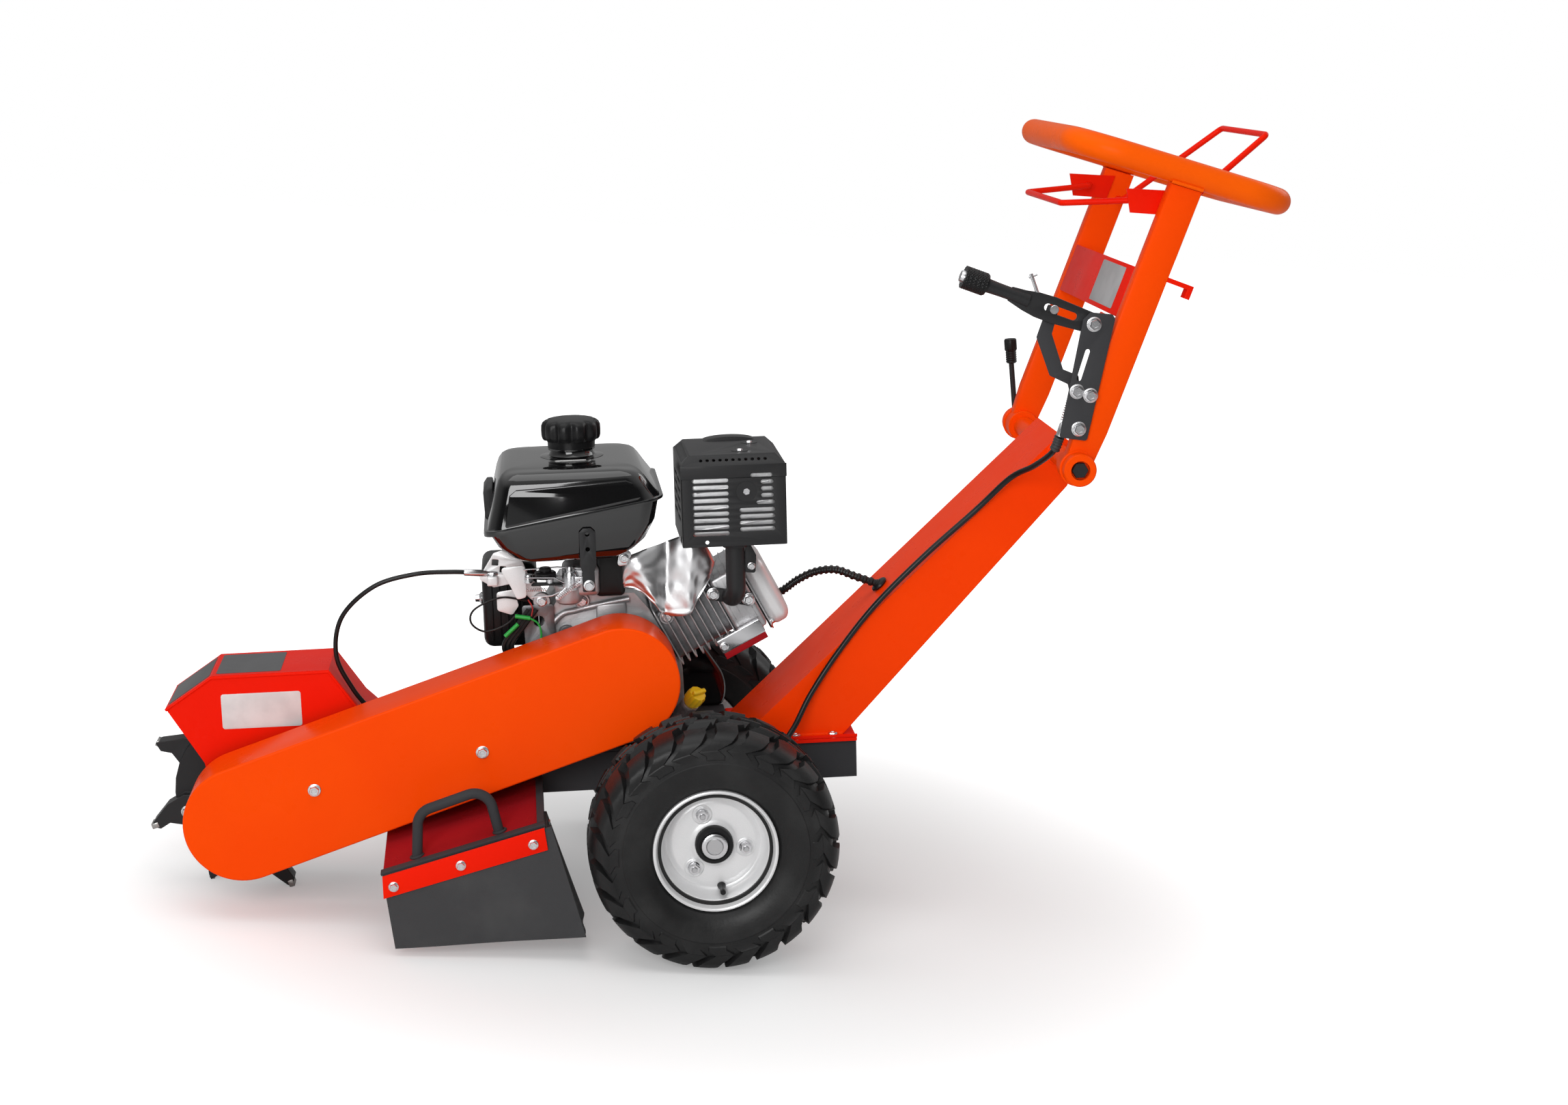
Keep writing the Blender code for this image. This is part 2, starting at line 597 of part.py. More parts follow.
tank = soften(box(TANK_LOW, TANK_HIGH), 0.022, 2)
inner_tank = soften(box([c + TANK_WALL for c in TANK_LOW], [c - TANK_WALL for c in TANK_HIGH]), 0.020, 2)
NECK_TOP = TANK_HIGH[2] + 0.019
neck_bore = NECK_RADIUS - 0.004
join(cut(tank, inner_tank), rod((*FILLER_PLACE, TANK_HIGH[2] - 0.001), (*FILLER_PLACE, NECK_TOP), NECK_RADIUS, 24))
cut(tank, rod((*FILLER_PLACE, TANK_HIGH[2] - 0.020), (*FILLER_PLACE, NECK_TOP + 0.01), neck_bore, 24))
keep(tank, "fuel_tank", BLACK)
skirt = NECK_RADIUS + 0.0035
cap = [(0, NECK_TOP + 0.038), (CAP_RADIUS - 0.005, NECK_TOP + 0.038), (CAP_RADIUS, NECK_TOP + 0.032),
       (CAP_RADIUS, NECK_TOP + 0.004), (skirt, NECK_TOP + 0.004), (skirt, NECK_TOP - 0.010),
       (NECK_RADIUS + 0.0006, NECK_TOP - 0.010), (NECK_RADIUS + 0.0006, NECK_TOP + GAP), (0, NECK_TOP + GAP)]
keep(turned_up(cap, FILLER_PLACE, 24), "fuel_cap", BLACK)

guard_top_edge = 0.014
side_view = [(MUFFLER_GUARD_LOW[0], MUFFLER_GUARD_LOW[2]), (MUFFLER_GUARD_HIGH[0], MUFFLER_GUARD_LOW[2]),
             (MUFFLER_GUARD_HIGH[0], MUFFLER_GUARD_HIGH[2] - guard_top_edge),
             (MUFFLER_GUARD_HIGH[0] - guard_top_edge, MUFFLER_GUARD_HIGH[2]),
             (MUFFLER_GUARD_LOW[0] + guard_top_edge, MUFFLER_GUARD_HIGH[2]),
             (MUFFLER_GUARD_LOW[0], MUFFLER_GUARD_HIGH[2] - guard_top_edge)]
shield = plate(side_view, MUFFLER_GUARD_LOW[1], MUFFLER_GUARD_HIGH[1])
hollow_view = inward(side_view, SHEET)
hollow_view[0] = (hollow_view[0][0], MUFFLER_GUARD_LOW[2] - 0.01)
hollow_view[1] = (hollow_view[1][0], MUFFLER_GUARD_LOW[2] - 0.01)
cut(shield, plate(hollow_view, MUFFLER_GUARD_LOW[1] + SHEET, MUFFLER_GUARD_HIGH[1] - SHEET))
keep(shield, "muffler_guard", SATIN)
muffler_low = (MUFFLER_GUARD_LOW[0] + MUFFLER_INSET, MUFFLER_GUARD_LOW[1] + MUFFLER_INSET, MUFFLER_GUARD_LOW[2] + 0.012)
muffler_high = [c - MUFFLER_INSET for c in MUFFLER_GUARD_HIGH]
muffler = soften(box(muffler_low, muffler_high), 0.016, 2)
cut(muffler, soften(box([c + 0.0015 for c in muffler_low], [c - 0.0015 for c in muffler_high]), 0.0145, 2))
EXHAUST_TOP = (0.0570, -0.103)
cut(muffler, rod((*EXHAUST_TOP, muffler_low[2] - 0.01), (*EXHAUST_TOP, muffler_low[2] + 0.01), EXHAUST_RADIUS - 0.002, 16))
# four stand-offs hold the guard to the muffler
for x in (muffler_low[0] + 0.022, muffler_high[0] - 0.022):
    for y in (muffler_low[1] + 0.030, muffler_high[1] - 0.030):
        join(muffler, rod((x, y, muffler_high[2] - 0.001), (x, y, MUFFLER_GUARD_HIGH[2] - SHEET - GAP), 0.006, 10))
keep(muffler, "muffler", STEEL)
FLANGE_CENTRE = (0.0505, 0.4945)
pipe = tube(rounded([(*EXHAUST_TOP, muffler_low[2] - GAP), (*EXHAUST_TOP, FLANGE_CENTRE[1]),
                     (FLANGE_CENTRE[0], HEAD_NEAR_Y - 0.0065, FLANGE_CENTRE[1])], 0.018, 4), EXHAUST_RADIUS, resolution=2)
ears = [(0.0240, 0.4990), (0.0765, 0.4885)]
keep(join(pipe, plate(pill(ears[0], ears[1], 0.0105, 0.0105, 6), HEAD_NEAR_Y - 0.0085, HEAD_NEAR_Y - GAP),
          plate(circle(FLANGE_CENTRE, 0.020, 16), HEAD_NEAR_Y - 0.0085, HEAD_NEAR_Y - GAP)), "exhaust_pipe", SATIN)
shield_outline = [(-0.114, 0.548), (-0.020, 0.556), (0.026, 0.530), (0.008, 0.492), (-0.012, 0.458), (-0.048, 0.456),
                  (-0.110, 0.478)]
heat_shield = plate(shield_outline, face_back + 0.0010, face_back + 0.0035)
join(heat_shield, rod((-0.098, face_back + 0.0015, 0.490), (-0.098, ENGINE_NEAR_Y - GAP, 0.490), 0.005, 10))
keep(heat_shield, "heat_shield", CHROME)

CARB_BOTTOM = 0.505 + GAP
keep(soften(box((-0.200, -0.100, CARB_BOTTOM), (-0.142, -0.030, 0.556)), 0.006), "carburettor", CAST)
keep(soften(box((-0.318, -0.030, 0.418), (-0.235 - GAP, 0.100, 0.545)), 0.014, 3), "air_cleaner", SATIN)
lever_bracket_outline = [(-0.322, 0.532), (-0.290, 0.566), (-0.266, 0.564), (-0.246, 0.520), (-0.214, 0.500),
                         (-0.214, 0.470), (-0.232, 0.470), (-0.300, 0.500)]
keep(plate(lever_bracket_outline, ENGINE_NEAR_Y - GAP - 0.003, ENGINE_NEAR_Y - GAP), "throttle_bracket", STEEL)

FAN_RADIUS = 0.1105
SHROUD_DEPTH = 0.070


def fan_outline(radius, lobe, lobe_radius, top):
    """The fan's circle stretched over a lobe low at its side, with a flat top and bottom."""
    ring = [(x, z) for x, z in pill(CRANK_AXIS, lobe, radius, lobe_radius, 18)]
    return [(x, min(max(z, ENGINE_BOTTOM), top)) for x, z in ring]


FAN_LOBE = (-0.010, 0.300)
shroud = fan_outline(FAN_RADIUS, FAN_LOBE, 0.064, 1.0)
shroud_far_y = ENGINE_FAR_Y + GAP + SHROUD_DEPTH
keep(plate([p for i, p in enumerate(shroud) if p != shroud[i - 1]], ENGINE_FAR_Y + GAP, shroud_far_y), "fan_housing", BLACK)
STARTER_RADIUS = 0.098
starter = turned([(STARTER_RADIUS, 0.028), (STARTER_RADIUS, 0), (0.030, 0), (0.030, 0.010), (0.030, 0.038),
                  (STARTER_RADIUS - 0.014, 0.038)], (CRANK_AXIS[0], shroud_far_y + GAP, CRANK_AXIS[1]), 1, 32)
keep(starter, "recoil_starter", BLACK)
PULL_TURN = radians(40)
pull_reach = STARTER_RADIUS + GAP + 0.011
pull = (CRANK_AXIS[0] + pull_reach * cos(PULL_TURN), CRANK_AXIS[1] + pull_reach * sin(PULL_TURN))
keep(cross_rod(pull, shroud_far_y + 0.001, shroud_far_y + 0.038, 0.010, 16), "starter_grip", SATIN)
dipstick_way = (FILLER_MOUTH - FILLER_ROOT).normalized()
dip_start = FILLER_MOUTH + dipstick_way * GAP
keep(rod(dip_start, dip_start + dipstick_way * 0.024, 0.0145, 10), "oil_dipstick", YELLOW)

# ---------------------------------------------------------------- chip chute

CHUTE_FRONT_X, CHUTE_REAR_X = -0.4706, -0.2405
CHUTE_OUTSIDE_Y = -0.2955
CHUTE_SLOPE = radians(14.4)
chute_rise = 0.020 / (-RAIL_OUTSIDE - GAP - CHUTE_OUTSIDE_Y)


def chute_edge(x):
    return 0.163 + (x - CHUTE_FRONT_X) * tan(CHUTE_SLOPE)


top_outline = [(CHUTE_FRONT_X, chute_edge(CHUTE_FRONT_X) - 0.003), (CHUTE_REAR_X, chute_edge(CHUTE_REAR_X) - 0.003),
               (CHUTE_REAR_X, chute_edge(CHUTE_REAR_X)), (CHUTE_FRONT_X, chute_edge(CHUTE_FRONT_X))]
chute_top = plate(top_outline, CHUTE_OUTSIDE_Y, -RAIL_OUTSIDE - GAP)
rise = Matrix.Identity(4)
rise[2][1] = chute_rise
rise[2][3] = -chute_rise * CHUTE_OUTSIDE_Y
bpy.context.view_layer.update()
chute_top.data.transform(chute_top.matrix_basis)
chute_top.matrix_basis = Matrix.Identity(4)
chute_top.data.transform(rise)
LIP_DEPTH = 0.033
lip_outline = [(CHUTE_FRONT_X, chute_edge(CHUTE_FRONT_X) - LIP_DEPTH), (CHUTE_REAR_X, chute_edge(CHUTE_REAR_X) - LIP_DEPTH),
               (CHUTE_REAR_X, chute_edge(CHUTE_REAR_X) - 0.001), (CHUTE_FRONT_X, chute_edge(CHUTE_FRONT_X) - 0.001)]
chute_lip = plate(lip_outline, CHUTE_OUTSIDE_Y - 0.003, CHUTE_OUTSIDE_Y + 0.0005)
chute_side = box((CHUTE_REAR_X - 0.004, CHUTE_OUTSIDE_Y - 0.001, 0.110), (CHUTE_REAR_X - 0.0005, -0.205, 0.221))
GRIP_TUBE = 0.0075
grab_y = -0.268
grab = tube(rounded([(-0.4226, grab_y, 0.172), (-0.4180, grab_y, 0.243), (-0.3190, grab_y, 0.274),
                     (-0.3040, grab_y, 0.204)], 0.026, 6), GRIP_TUBE)
keep(join(chute_top, chute_lip, chute_side, grab), "chip_chute", DARK)
flap_y = CHUTE_OUTSIDE_Y - 0.003 - GAP
flap_outline = [(CHUTE_FRONT_X, chute_edge(CHUTE_FRONT_X)), (-0.4582, 0.0541), (-0.1877, 0.0549),
                (CHUTE_REAR_X + 0.010, chute_edge(CHUTE_REAR_X))]
keep(plate(flap_outline, flap_y - 0.0040, flap_y), "front_flap", RUBBER)
strip_outline = [(CHUTE_FRONT_X, chute_edge(CHUTE_FRONT_X) - 0.033), (CHUTE_REAR_X + 0.004, chute_edge(CHUTE_REAR_X) - 0.033),
                 (CHUTE_REAR_X, chute_edge(CHUTE_REAR_X)), (CHUTE_FRONT_X, chute_edge(CHUTE_FRONT_X))]
strip_y = flap_y - 0.0040 - GAP
keep(plate(strip_outline, strip_y - 0.003, strip_y), "flap_clamp_strip", RED)
side_flap = plate([(CHUTE_REAR_X + GAP, 0.215), (-0.1930, 0.0560), (-0.1890, 0.0560), (CHUTE_REAR_X + GAP + 0.004, 0.215)],
                  flap_y + 0.004, -0.205)
keep(side_flap, "side_flap", RUBBER)

# ---------------------------------------------------------------- column

COLUMN_BOTTOM = DECK_TOP + GAP
front_foot = (COLUMN_TOP[0] - (COLUMN_TOP[1] - COLUMN_BOTTOM) / tan(COLUMN_ANGLE), COLUMN_BOTTOM)
column_outline = [front_foot, COLUMN_TOP, (0.568, 0.704), (0.571, 0.668), (0.560, 0.640), (0.2150, COLUMN_BOTTOM)]
column = plate(column_outline, -COLUMN_HALF_WIDTH, COLUMN_HALF_WIDTH)
inner_column = inward(column_outline, COLUMN_WALL)
inner_column[0] = (inner_column[0][0] - 0.03, COLUMN_BOTTOM - 0.027)
inner_column[5] = (inner_column[5][0] - 0.03, COLUMN_BOTTOM - 0.027)
cut(column, plate(inner_column, COLUMN_WALL - COLUMN_HALF_WIDTH, COLUMN_HALF_WIDTH - COLUMN_WALL))
cut(column, cross_rod(FOLD_AXIS, -0.1, 0.1, PIVOT_TUBE_RADIUS + GAP, 24))
keep(column, "column", ORANGE)
keep(box((COLUMN_PLATE_FRONT, -0.100, DECK_BOTTOM), (FRAME_REAR, 0.100, DECK_TOP)), "column_plate", RED)
TUBE_END = 0.178
keep(plate(circle(FOLD_AXIS, PIVOT_TUBE_RADIUS, 24), -TUBE_END, TUBE_END, [circle(FOLD_AXIS, PIVOT_BOLT_RADIUS + 0.0007, 16)]),
     "pivot_tube", ORANGE)

# ---------------------------------------------------------------- handle

UP_POST = Vector((sin(HANDLE_LEAN), cos(HANDLE_LEAN)))
BACK = Vector((cos(HANDLE_LEAN), -sin(HANDLE_LEAN)))


def on_post(along, back):
    """A point by its distance up the posts from the fold axis and behind their middle."""
    return tuple(Vector(FOLD_AXIS) + UP_POST * along + BACK * back)


loop_tilt = HANDLE_LEAN - LOOP_SLOPE
top_rise = tan(loop_tilt) * POST_DEPTH / 2
post_top = POST_REACH - LOOP_RADIUS - GAP
half_depth = POST_DEPTH / 2
post_outline = [on_post(-0.004, -half_depth + 0.006), on_post(-0.004, half_depth - 0.006), on_post(0.060, half_depth),
                on_post(post_top + top_rise, half_depth), on_post(post_top - top_rise, -half_depth),
                on_post(0.060, -half_depth)]
tab_outline = [(0.6220, 1.0866), on_post(0.4180, -0.006), on_post(0.3800, -0.006), on_post(0.3770, -half_depth + 0.002),
               (0.6273, 1.0521)]
hook_outline = [on_post(0.300, half_depth - 0.002), on_post(0.300, half_depth + 0.040), on_post(0.280, half_depth + 0.040),
                on_post(0.280, half_depth + 0.032), on_post(0.293, half_depth + 0.032), on_post(0.293, half_depth - 0.002)]
HEX_HEAD = 0.0120
HEX_DEPTH = 0.011
TAB_THICKNESS = 0.003


def make_post(name, side):
    def span(inner, outer):
        return sorted((side * inner, side * outer))
    post = plate(post_outline, *span(POST_INSIDE, POST_INSIDE + POST_WIDTH))
    join(post, cross_rod(FOLD_AXIS, *span(TUBE_END + GAP, BOSS_OUTSIDE), BOSS_RADIUS, 28))
    join(post, plate(tab_outline, *span(POST_INSIDE - TAB_THICKNESS, POST_INSIDE + 0.001)))
    if side < 0:
        join(post, plate(hook_outline, *span(POST_INSIDE + 0.001, POST_INSIDE + POST_WIDTH - 0.001)))
        cut(post, plate(circle(FOLD_AXIS, HEX_HEAD + 0.0015, 6), -BOSS_OUTSIDE - 0.01, -BOSS_OUTSIDE + HEX_DEPTH))
    cut(post, cross_rod(FOLD_AXIS, *span(0.15, 0.30), PIVOT_BOLT_RADIUS + 0.0004, 16))
    keep(post, name, ORANGE)


make_post("near_post", -1)
make_post("far_post", 1)
bolt = cross_rod(FOLD_AXIS, -BOSS_OUTSIDE + 0.003, BOSS_OUTSIDE - GAP, PIVOT_BOLT_RADIUS, 16)
keep(join(bolt, plate(circle(FOLD_AXIS, HEX_HEAD, 6), -BOSS_OUTSIDE + 0.0025, -BOSS_OUTSIDE + HEX_DEPTH - GAP)),
     "pivot_bolt", STEEL)

LOOP_MIDDLE = on_post(POST_REACH, -0.0048)
loop_way = Vector((cos(LOOP_SLOPE), -sin(LOOP_SLOPE)))
loop_corners = []
for reach, y in ((-1, -1), (1, -1), (1, 1), (-1, 1)):
    place = Vector(LOOP_MIDDLE) + loop_way * (reach * LOOP_LENGTH / 2)
    loop_corners.append((place.x, y * LOOP_WIDTH / 2, place.y))
keep(tube(rounded(loop_corners, LOOP_CORNER, 7, closed=True), LOOP_RADIUS, closed=True, resolution=3), "handle_loop", ORANGE)
keep(plate([on_post(0.222, -half_depth), on_post(0.222, -half_depth + 0.003), on_post(0.298, -half_depth + 0.003),
            on_post(0.298, -half_depth)], -POST_INSIDE + GAP, POST_INSIDE - GAP), "placard_plate", RED)


def make_bail(name, axis, tip, root_y, leg_y, tip_y, bend):
    path = [(axis[0], -root_y, axis[1]), (axis[0], -leg_y, axis[1]), (tip[0], -tip_y, tip[1])]
    path += [(x, -y, z) for x, y, z in reversed(path)]
    points = rounded(path, bend, 4)
    keep(tube(points, BAIL_RADIUS), name, RED)


make_bail("front_bail", FRONT_BAIL_AXIS, FRONT_BAIL_TIP, POST_INSIDE - TAB_THICKNESS - GAP, 0.166, 0.122, 0.0095)
make_bail("rear_bail", REAR_BAIL_AXIS, REAR_BAIL_TIP, POST_INSIDE - GAP, 0.158, 0.118, 0.0095)

keep(join(cross_rod(FOLD_AXIS, BOSS_OUTSIDE + GAP, BOSS_OUTSIDE + 0.016, 0.014, 16),
          rod((FOLD_AXIS[0] - 0.0003, BOSS_OUTSIDE + 0.009, FOLD_AXIS[1] + 0.008), (0.5398, BOSS_OUTSIDE + 0.009, 0.7840),
              0.0043, 10),
          rod((0.5402, BOSS_OUTSIDE + 0.009, 0.7830), (0.5380, BOSS_OUTSIDE + 0.009, 0.8230), 0.0098, 12)),
     "clamp_lever", SATIN)

# ---------------------------------------------------------------- parking brake lever

BRACKET_OUTSIDE = -POST_INSIDE - POST_WIDTH - 0.0043
bracket_outline = [(0.5189, 0.7364), (0.5590, 0.7300), (0.6000, 0.9050), (0.5960, 0.9110), (0.5640, 0.9150), (0.5535, 0.9050)]
BRACKET_INSIDE = BRACKET_OUTSIDE + 0.004
lever_way = (Vector(LEVER_TIP) - Vector(LEVER_AXIS)).normalized()
lever_up = Vector((lever_way.y, -lever_way.x))


def on_lever(along, up):
    return tuple(Vector(LEVER_AXIS) + lever_way * along + lever_up * up)


SLOT = (0.030, 0.070)
lever_outline = ([on_lever(0.128, -0.010), on_lever(0.100, -0.017), on_lever(0.070, -0.020), on_lever(0.010, -0.0155)]
                 + [on_lever(0.0155 * cos(radians(a)), 0.0155 * sin(radians(a))) for a in (-120, -150, 180, 150, 120)]
                 + [on_lever(0.010, 0.0155), on_lever(0.070, 0.0175), on_lever(0.105, 0.0130), on_lever(0.128, 0.010)])
slot_hole = pill(on_lever(SLOT[0], 0), on_lever(SLOT[1], 0), 0.0055, 0.0055, 5)
lever = plate(lever_outline, LEVER_Y - LEVER_THICKNESS / 2, LEVER_Y + LEVER_THICKNESS / 2,
              [slot_hole, circle(LEVER_AXIS, 0.0045, 10)])
lever_length = (Vector(LEVER_TIP) - Vector(LEVER_AXIS)).length
grip_start = lever_length - GRIP_LENGTH


def lever_rod(start, end, radius, sides=16):
    first, last = on_lever(start, 0), on_lever(end, 0)
    return rod((first[0], LEVER_Y, first[1]), (last[0], LEVER_Y, last[1]), radius, sides)


button_well = BUTTON_LENGTH + 0.008
join(lever, lever_rod(0.118, grip_start + 0.002, 0.0105), lever_rod(grip_start, lever_length, GRIP_RADIUS, 20))
keep(cut(lever, lever_rod(lever_length - button_well, lever_length + 0.01, BUTTON_RADIUS + GAP)), "brake_lever", SATIN)
keep(lever_rod(lever_length - BUTTON_LENGTH, lever_length + 0.004, BUTTON_RADIUS), "lever_button", SATIN)
pin_side = LEVER_Y - LEVER_THICKNESS / 2 - GAP
link_near_y = LEVER_Y + LEVER_THICKNESS / 2 + GAP
pin_head = cross_rod(LINK_PIN, pin_side - 0.0035, pin_side, 0.0064, 12)
keep(join(cross_rod(LINK_PIN, pin_side - 0.002, link_near_y - GAP, 0.0045, 12), pin_head), "roller_pin", STEEL)
link_outline = [(0.5060, 0.9270), (0.4889, 0.8802), (0.5081, 0.8243), (0.5345, 0.8110), (0.5380, 0.7960), (0.5520, 0.7990),
                (0.5500, 0.8230), (0.5274, 0.8327), (0.5111, 0.8844), (0.5215, 0.9210)]
keep(plate(link_outline, link_near_y, link_near_y + 0.004, [circle(LINK_AXIS, 0.0045, 10)]), "brake_link", DARK)


def flange_bolt(centre, head_y, end_y):
    """A hexagon flange bolt whose flange lies at head_y and whose shank reaches end_y."""
    made = cross_rod(centre, head_y - 0.001, end_y, 0.0041, 10)
    join(made, cross_rod(centre, head_y - 0.0025, head_y + 0.0005, 0.0103, 16))
    return join(made, plate(circle(centre, 0.0078, 6), head_y - 0.0085, head_y - 0.002))


bracket = plate(bracket_outline, BRACKET_OUTSIDE, BRACKET_INSIDE)
join(bracket, flange_bolt(LEVER_AXIS, BRACKET_OUTSIDE, LEVER_Y + LEVER_THICKNESS / 2 + 0.004))
join(bracket, flange_bolt(LINK_AXIS, BRACKET_OUTSIDE, link_near_y + 0.007))
keep(bracket, "brake_bracket", DARK)

# ---------------------------------------------------------------- cables

CABLE_RADIUS = 0.0043
BESIDE_COLUMN = -COLUMN_HALF_WIDTH - 0.0047
brake_route = [(0.5215, -0.2065, 0.7360), (0.5140, -0.1930, 0.7120), (0.4960, -0.1500, 0.6850), (0.4680, -0.1080, 0.6600),
               (0.4200, BESIDE_COLUMN, 0.6100), (0.3400, BESIDE_COLUMN, 0.5420), (0.2650, BESIDE_COLUMN, 0.4700), (0.2080, BESIDE_COLUMN, 0.4000),
               (0.1650, -0.0960, 0.3400), (0.1350, -0.1140, 0.2920), (0.1000, -0.1400, 0.2620), (0.0500, -0.1730, 0.2520),
               (0.0140, -0.1900, 0.2500)]
keep(tube(smooth_path(brake_route, 3), CABLE_RADIUS, resolution=1), "brake_cable", CABLE)
throttle_route = [(-0.4880, -0.0500, 0.3330), (-0.5150, -0.0520, 0.3720), (-0.5360, -0.0560, 0.4250), (-0.5240, -0.0640, 0.4850),
                  (-0.4750, -0.0700, 0.5300), (-0.4150, -0.0700, 0.5460), (-0.3600, -0.0650, 0.5460), (-0.3225, -0.0610, 0.5420)]
keep(tube(smooth_path(throttle_route, 3), 0.0035, resolution=1), "throttle_cable", CABLE)
harness_route = [(0.1460, 0.0300, 0.4780), (0.1640, 0.0300, 0.4900), (0.1900, 0.0250, 0.5020), (0.2200, 0.0150, 0.5060),
                 (0.2500, 0.0050, 0.4960), (0.2850, 0.0000, 0.4835)]
keep(tube(smooth_path(harness_route, 3), 0.0060, resolution=1), "wiring_harness", CABLE)

# ---------------------------------------------------------------- origin under the middle of the machine

bpy.context.view_layer.update()
graph = bpy.context.evaluated_depsgraph_get()
corners = []
for obj in parts.objects:
    if obj.type == "MESH":
        seen = obj.evaluated_get(graph)
        corners += [seen.matrix_world @ Vector(c) for c in seen.bound_box]
# the box of a leaning piece is wider than the piece, so the true points decide the ends
points = [obj.evaluated_get(graph) for obj in parts.objects if obj.type == "MESH"]
places = [seen.matrix_world @ v.co for seen in points for v in seen.data.vertices]
lean.location.x -= (min(p.x for p in places) + max(p.x for p in places)) / 2
lean.location.y -= (min(p.y for p in places) + max(p.y for p in places)) / 2
lean.location.z -= min(p.z for p in places)
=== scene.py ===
# %% [markdown]
# # A walk-behind stump grinder
#
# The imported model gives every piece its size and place.  This script dresses it: each cell says what
# the real piece is, how it could be made, and why it is made this way.  Shapes are surfaces worked out
# with numpy, and finishes are shader maths written as Python expressions.

import json
from math import atan2, cos, degrees, hypot, pi, radians, sin

import bmesh
import bpy
import numpy as np
from mathutils import Matrix, Vector


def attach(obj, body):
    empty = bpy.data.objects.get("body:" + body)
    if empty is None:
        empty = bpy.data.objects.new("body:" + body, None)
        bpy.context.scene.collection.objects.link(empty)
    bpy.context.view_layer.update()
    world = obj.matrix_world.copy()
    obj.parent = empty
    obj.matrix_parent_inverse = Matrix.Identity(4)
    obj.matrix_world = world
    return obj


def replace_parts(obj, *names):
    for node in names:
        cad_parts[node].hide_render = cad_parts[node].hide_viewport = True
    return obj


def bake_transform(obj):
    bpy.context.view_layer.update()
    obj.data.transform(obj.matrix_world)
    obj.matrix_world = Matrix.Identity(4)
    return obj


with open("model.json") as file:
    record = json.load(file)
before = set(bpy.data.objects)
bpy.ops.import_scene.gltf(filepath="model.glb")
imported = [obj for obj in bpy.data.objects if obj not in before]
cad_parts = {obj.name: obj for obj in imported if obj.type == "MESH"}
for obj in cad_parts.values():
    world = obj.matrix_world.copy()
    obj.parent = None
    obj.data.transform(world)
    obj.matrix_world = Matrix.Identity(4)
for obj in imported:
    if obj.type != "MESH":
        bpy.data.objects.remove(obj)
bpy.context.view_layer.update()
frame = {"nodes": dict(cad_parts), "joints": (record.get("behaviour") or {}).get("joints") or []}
joints = {joint["name"]: joint for joint in frame["joints"]}

# %% [markdown]
# ## Two sets of axes
#
# The machine is easiest to draw with its frame level: X runs back to the operator, Y to the far side
# and Z up, with the wheel axle over X = 0.  Parked, it leans forward onto its cutter.  Two joints of the
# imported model, the wheel's and the cutter's, fix how a level point lands in the parked machine.

# %% From the level machine to the parked one
WHEEL_RADIUS = 0.181
CUTTER_AXIS = (-0.6732, 0.2136)
CRANK_AXIS = (-0.1196, 0.3835)
BELT_GUARD_REAR = (-0.1196, 0.3935)
FOLD_AXIS = (0.546, 0.69)
CRANK = np.array([CRANK_AXIS[0], 0, CRANK_AXIS[1]])
FOLD_CENTRE = np.array([FOLD_AXIS[0], 0, FOLD_AXIS[1]])

axle_place = np.array(joints["near_wheel_spin"]["pos_m"])
cutter_place = np.array(joints["cutter_spin"]["pos_m"])
level_angle = atan2(CUTTER_AXIS[1] - WHEEL_RADIUS, CUTTER_AXIS[0])
parked_angle = atan2(cutter_place[2] - axle_place[2], cutter_place[0] - axle_place[0])
LEAN = parked_angle - level_angle
LEAN_MATRIX = np.array([[cos(LEAN), 0, -sin(LEAN)], [0, 1, 0], [sin(LEAN), 0, cos(LEAN)]])
AXLE = np.array([axle_place[0], cutter_place[1], axle_place[2]])
print("lean:", round(degrees(LEAN), 2), "degrees")


def park(points):
    """Turns level points about the axle and carries the axle to its parked place."""
    level = np.asarray(points, float) - (0, 0, WHEEL_RADIUS)
    return level @ LEAN_MATRIX.T + AXLE


def spoke(angle):
    """The direction at an angle up from X, square to the axles."""
    return np.array([cos(angle), 0, sin(angle)])


# %% [markdown]
# ## Camera
#
# A long lens, a little above the engine and looking down 12 degrees, sees the machine nearly side-on.
# Its place is chosen in the level machine's axes and leans with it.

# %% Camera
CAMERA_PLACE = (-0.236, -3.7, 1.33)
YAW, PITCH, ROLL = radians(5.8), radians(12), radians(1.3)
forward = np.array([sin(YAW) * cos(PITCH), cos(YAW) * cos(PITCH), -sin(PITCH)])
right = np.array([cos(YAW), -sin(YAW), 0.0])
up = np.cross(right, forward)
rolled_right = right * cos(ROLL) - up * sin(ROLL)
rolled_up = up * cos(ROLL) + right * sin(ROLL)
axes = LEAN_MATRIX @ np.column_stack([rolled_right, rolled_up, -forward])
place = Matrix(axes.tolist()).to_4x4()
place.translation = Vector(park(CAMERA_PLACE))
camera = bpy.data.objects.new("camera", bpy.data.cameras.new("camera"))
camera.matrix_world = place
camera.data.sensor_width = 36
camera.data.lens = 57.39
camera.data.clip_end = 60
bpy.context.scene.collection.objects.link(camera)
bpy.context.scene.camera = camera

# %% [markdown]
# ## Shader maths
#
# A node tree is easier to read as a formula.  `Value` wraps one output socket; adding or multiplying two
# of them adds the Math node that does it.  `Finish` opens a material and makes any other node.


# %% Values that are also nodes
def operator(operation, swapped=False):
    """A method that adds one Math node for a value and another operand."""
    def method(value, other):
        pair = (other, value) if swapped else (value, other)
        return value.nodes.node("ShaderNodeMath", {"operation": operation}, dict(enumerate(pair)))
    return method


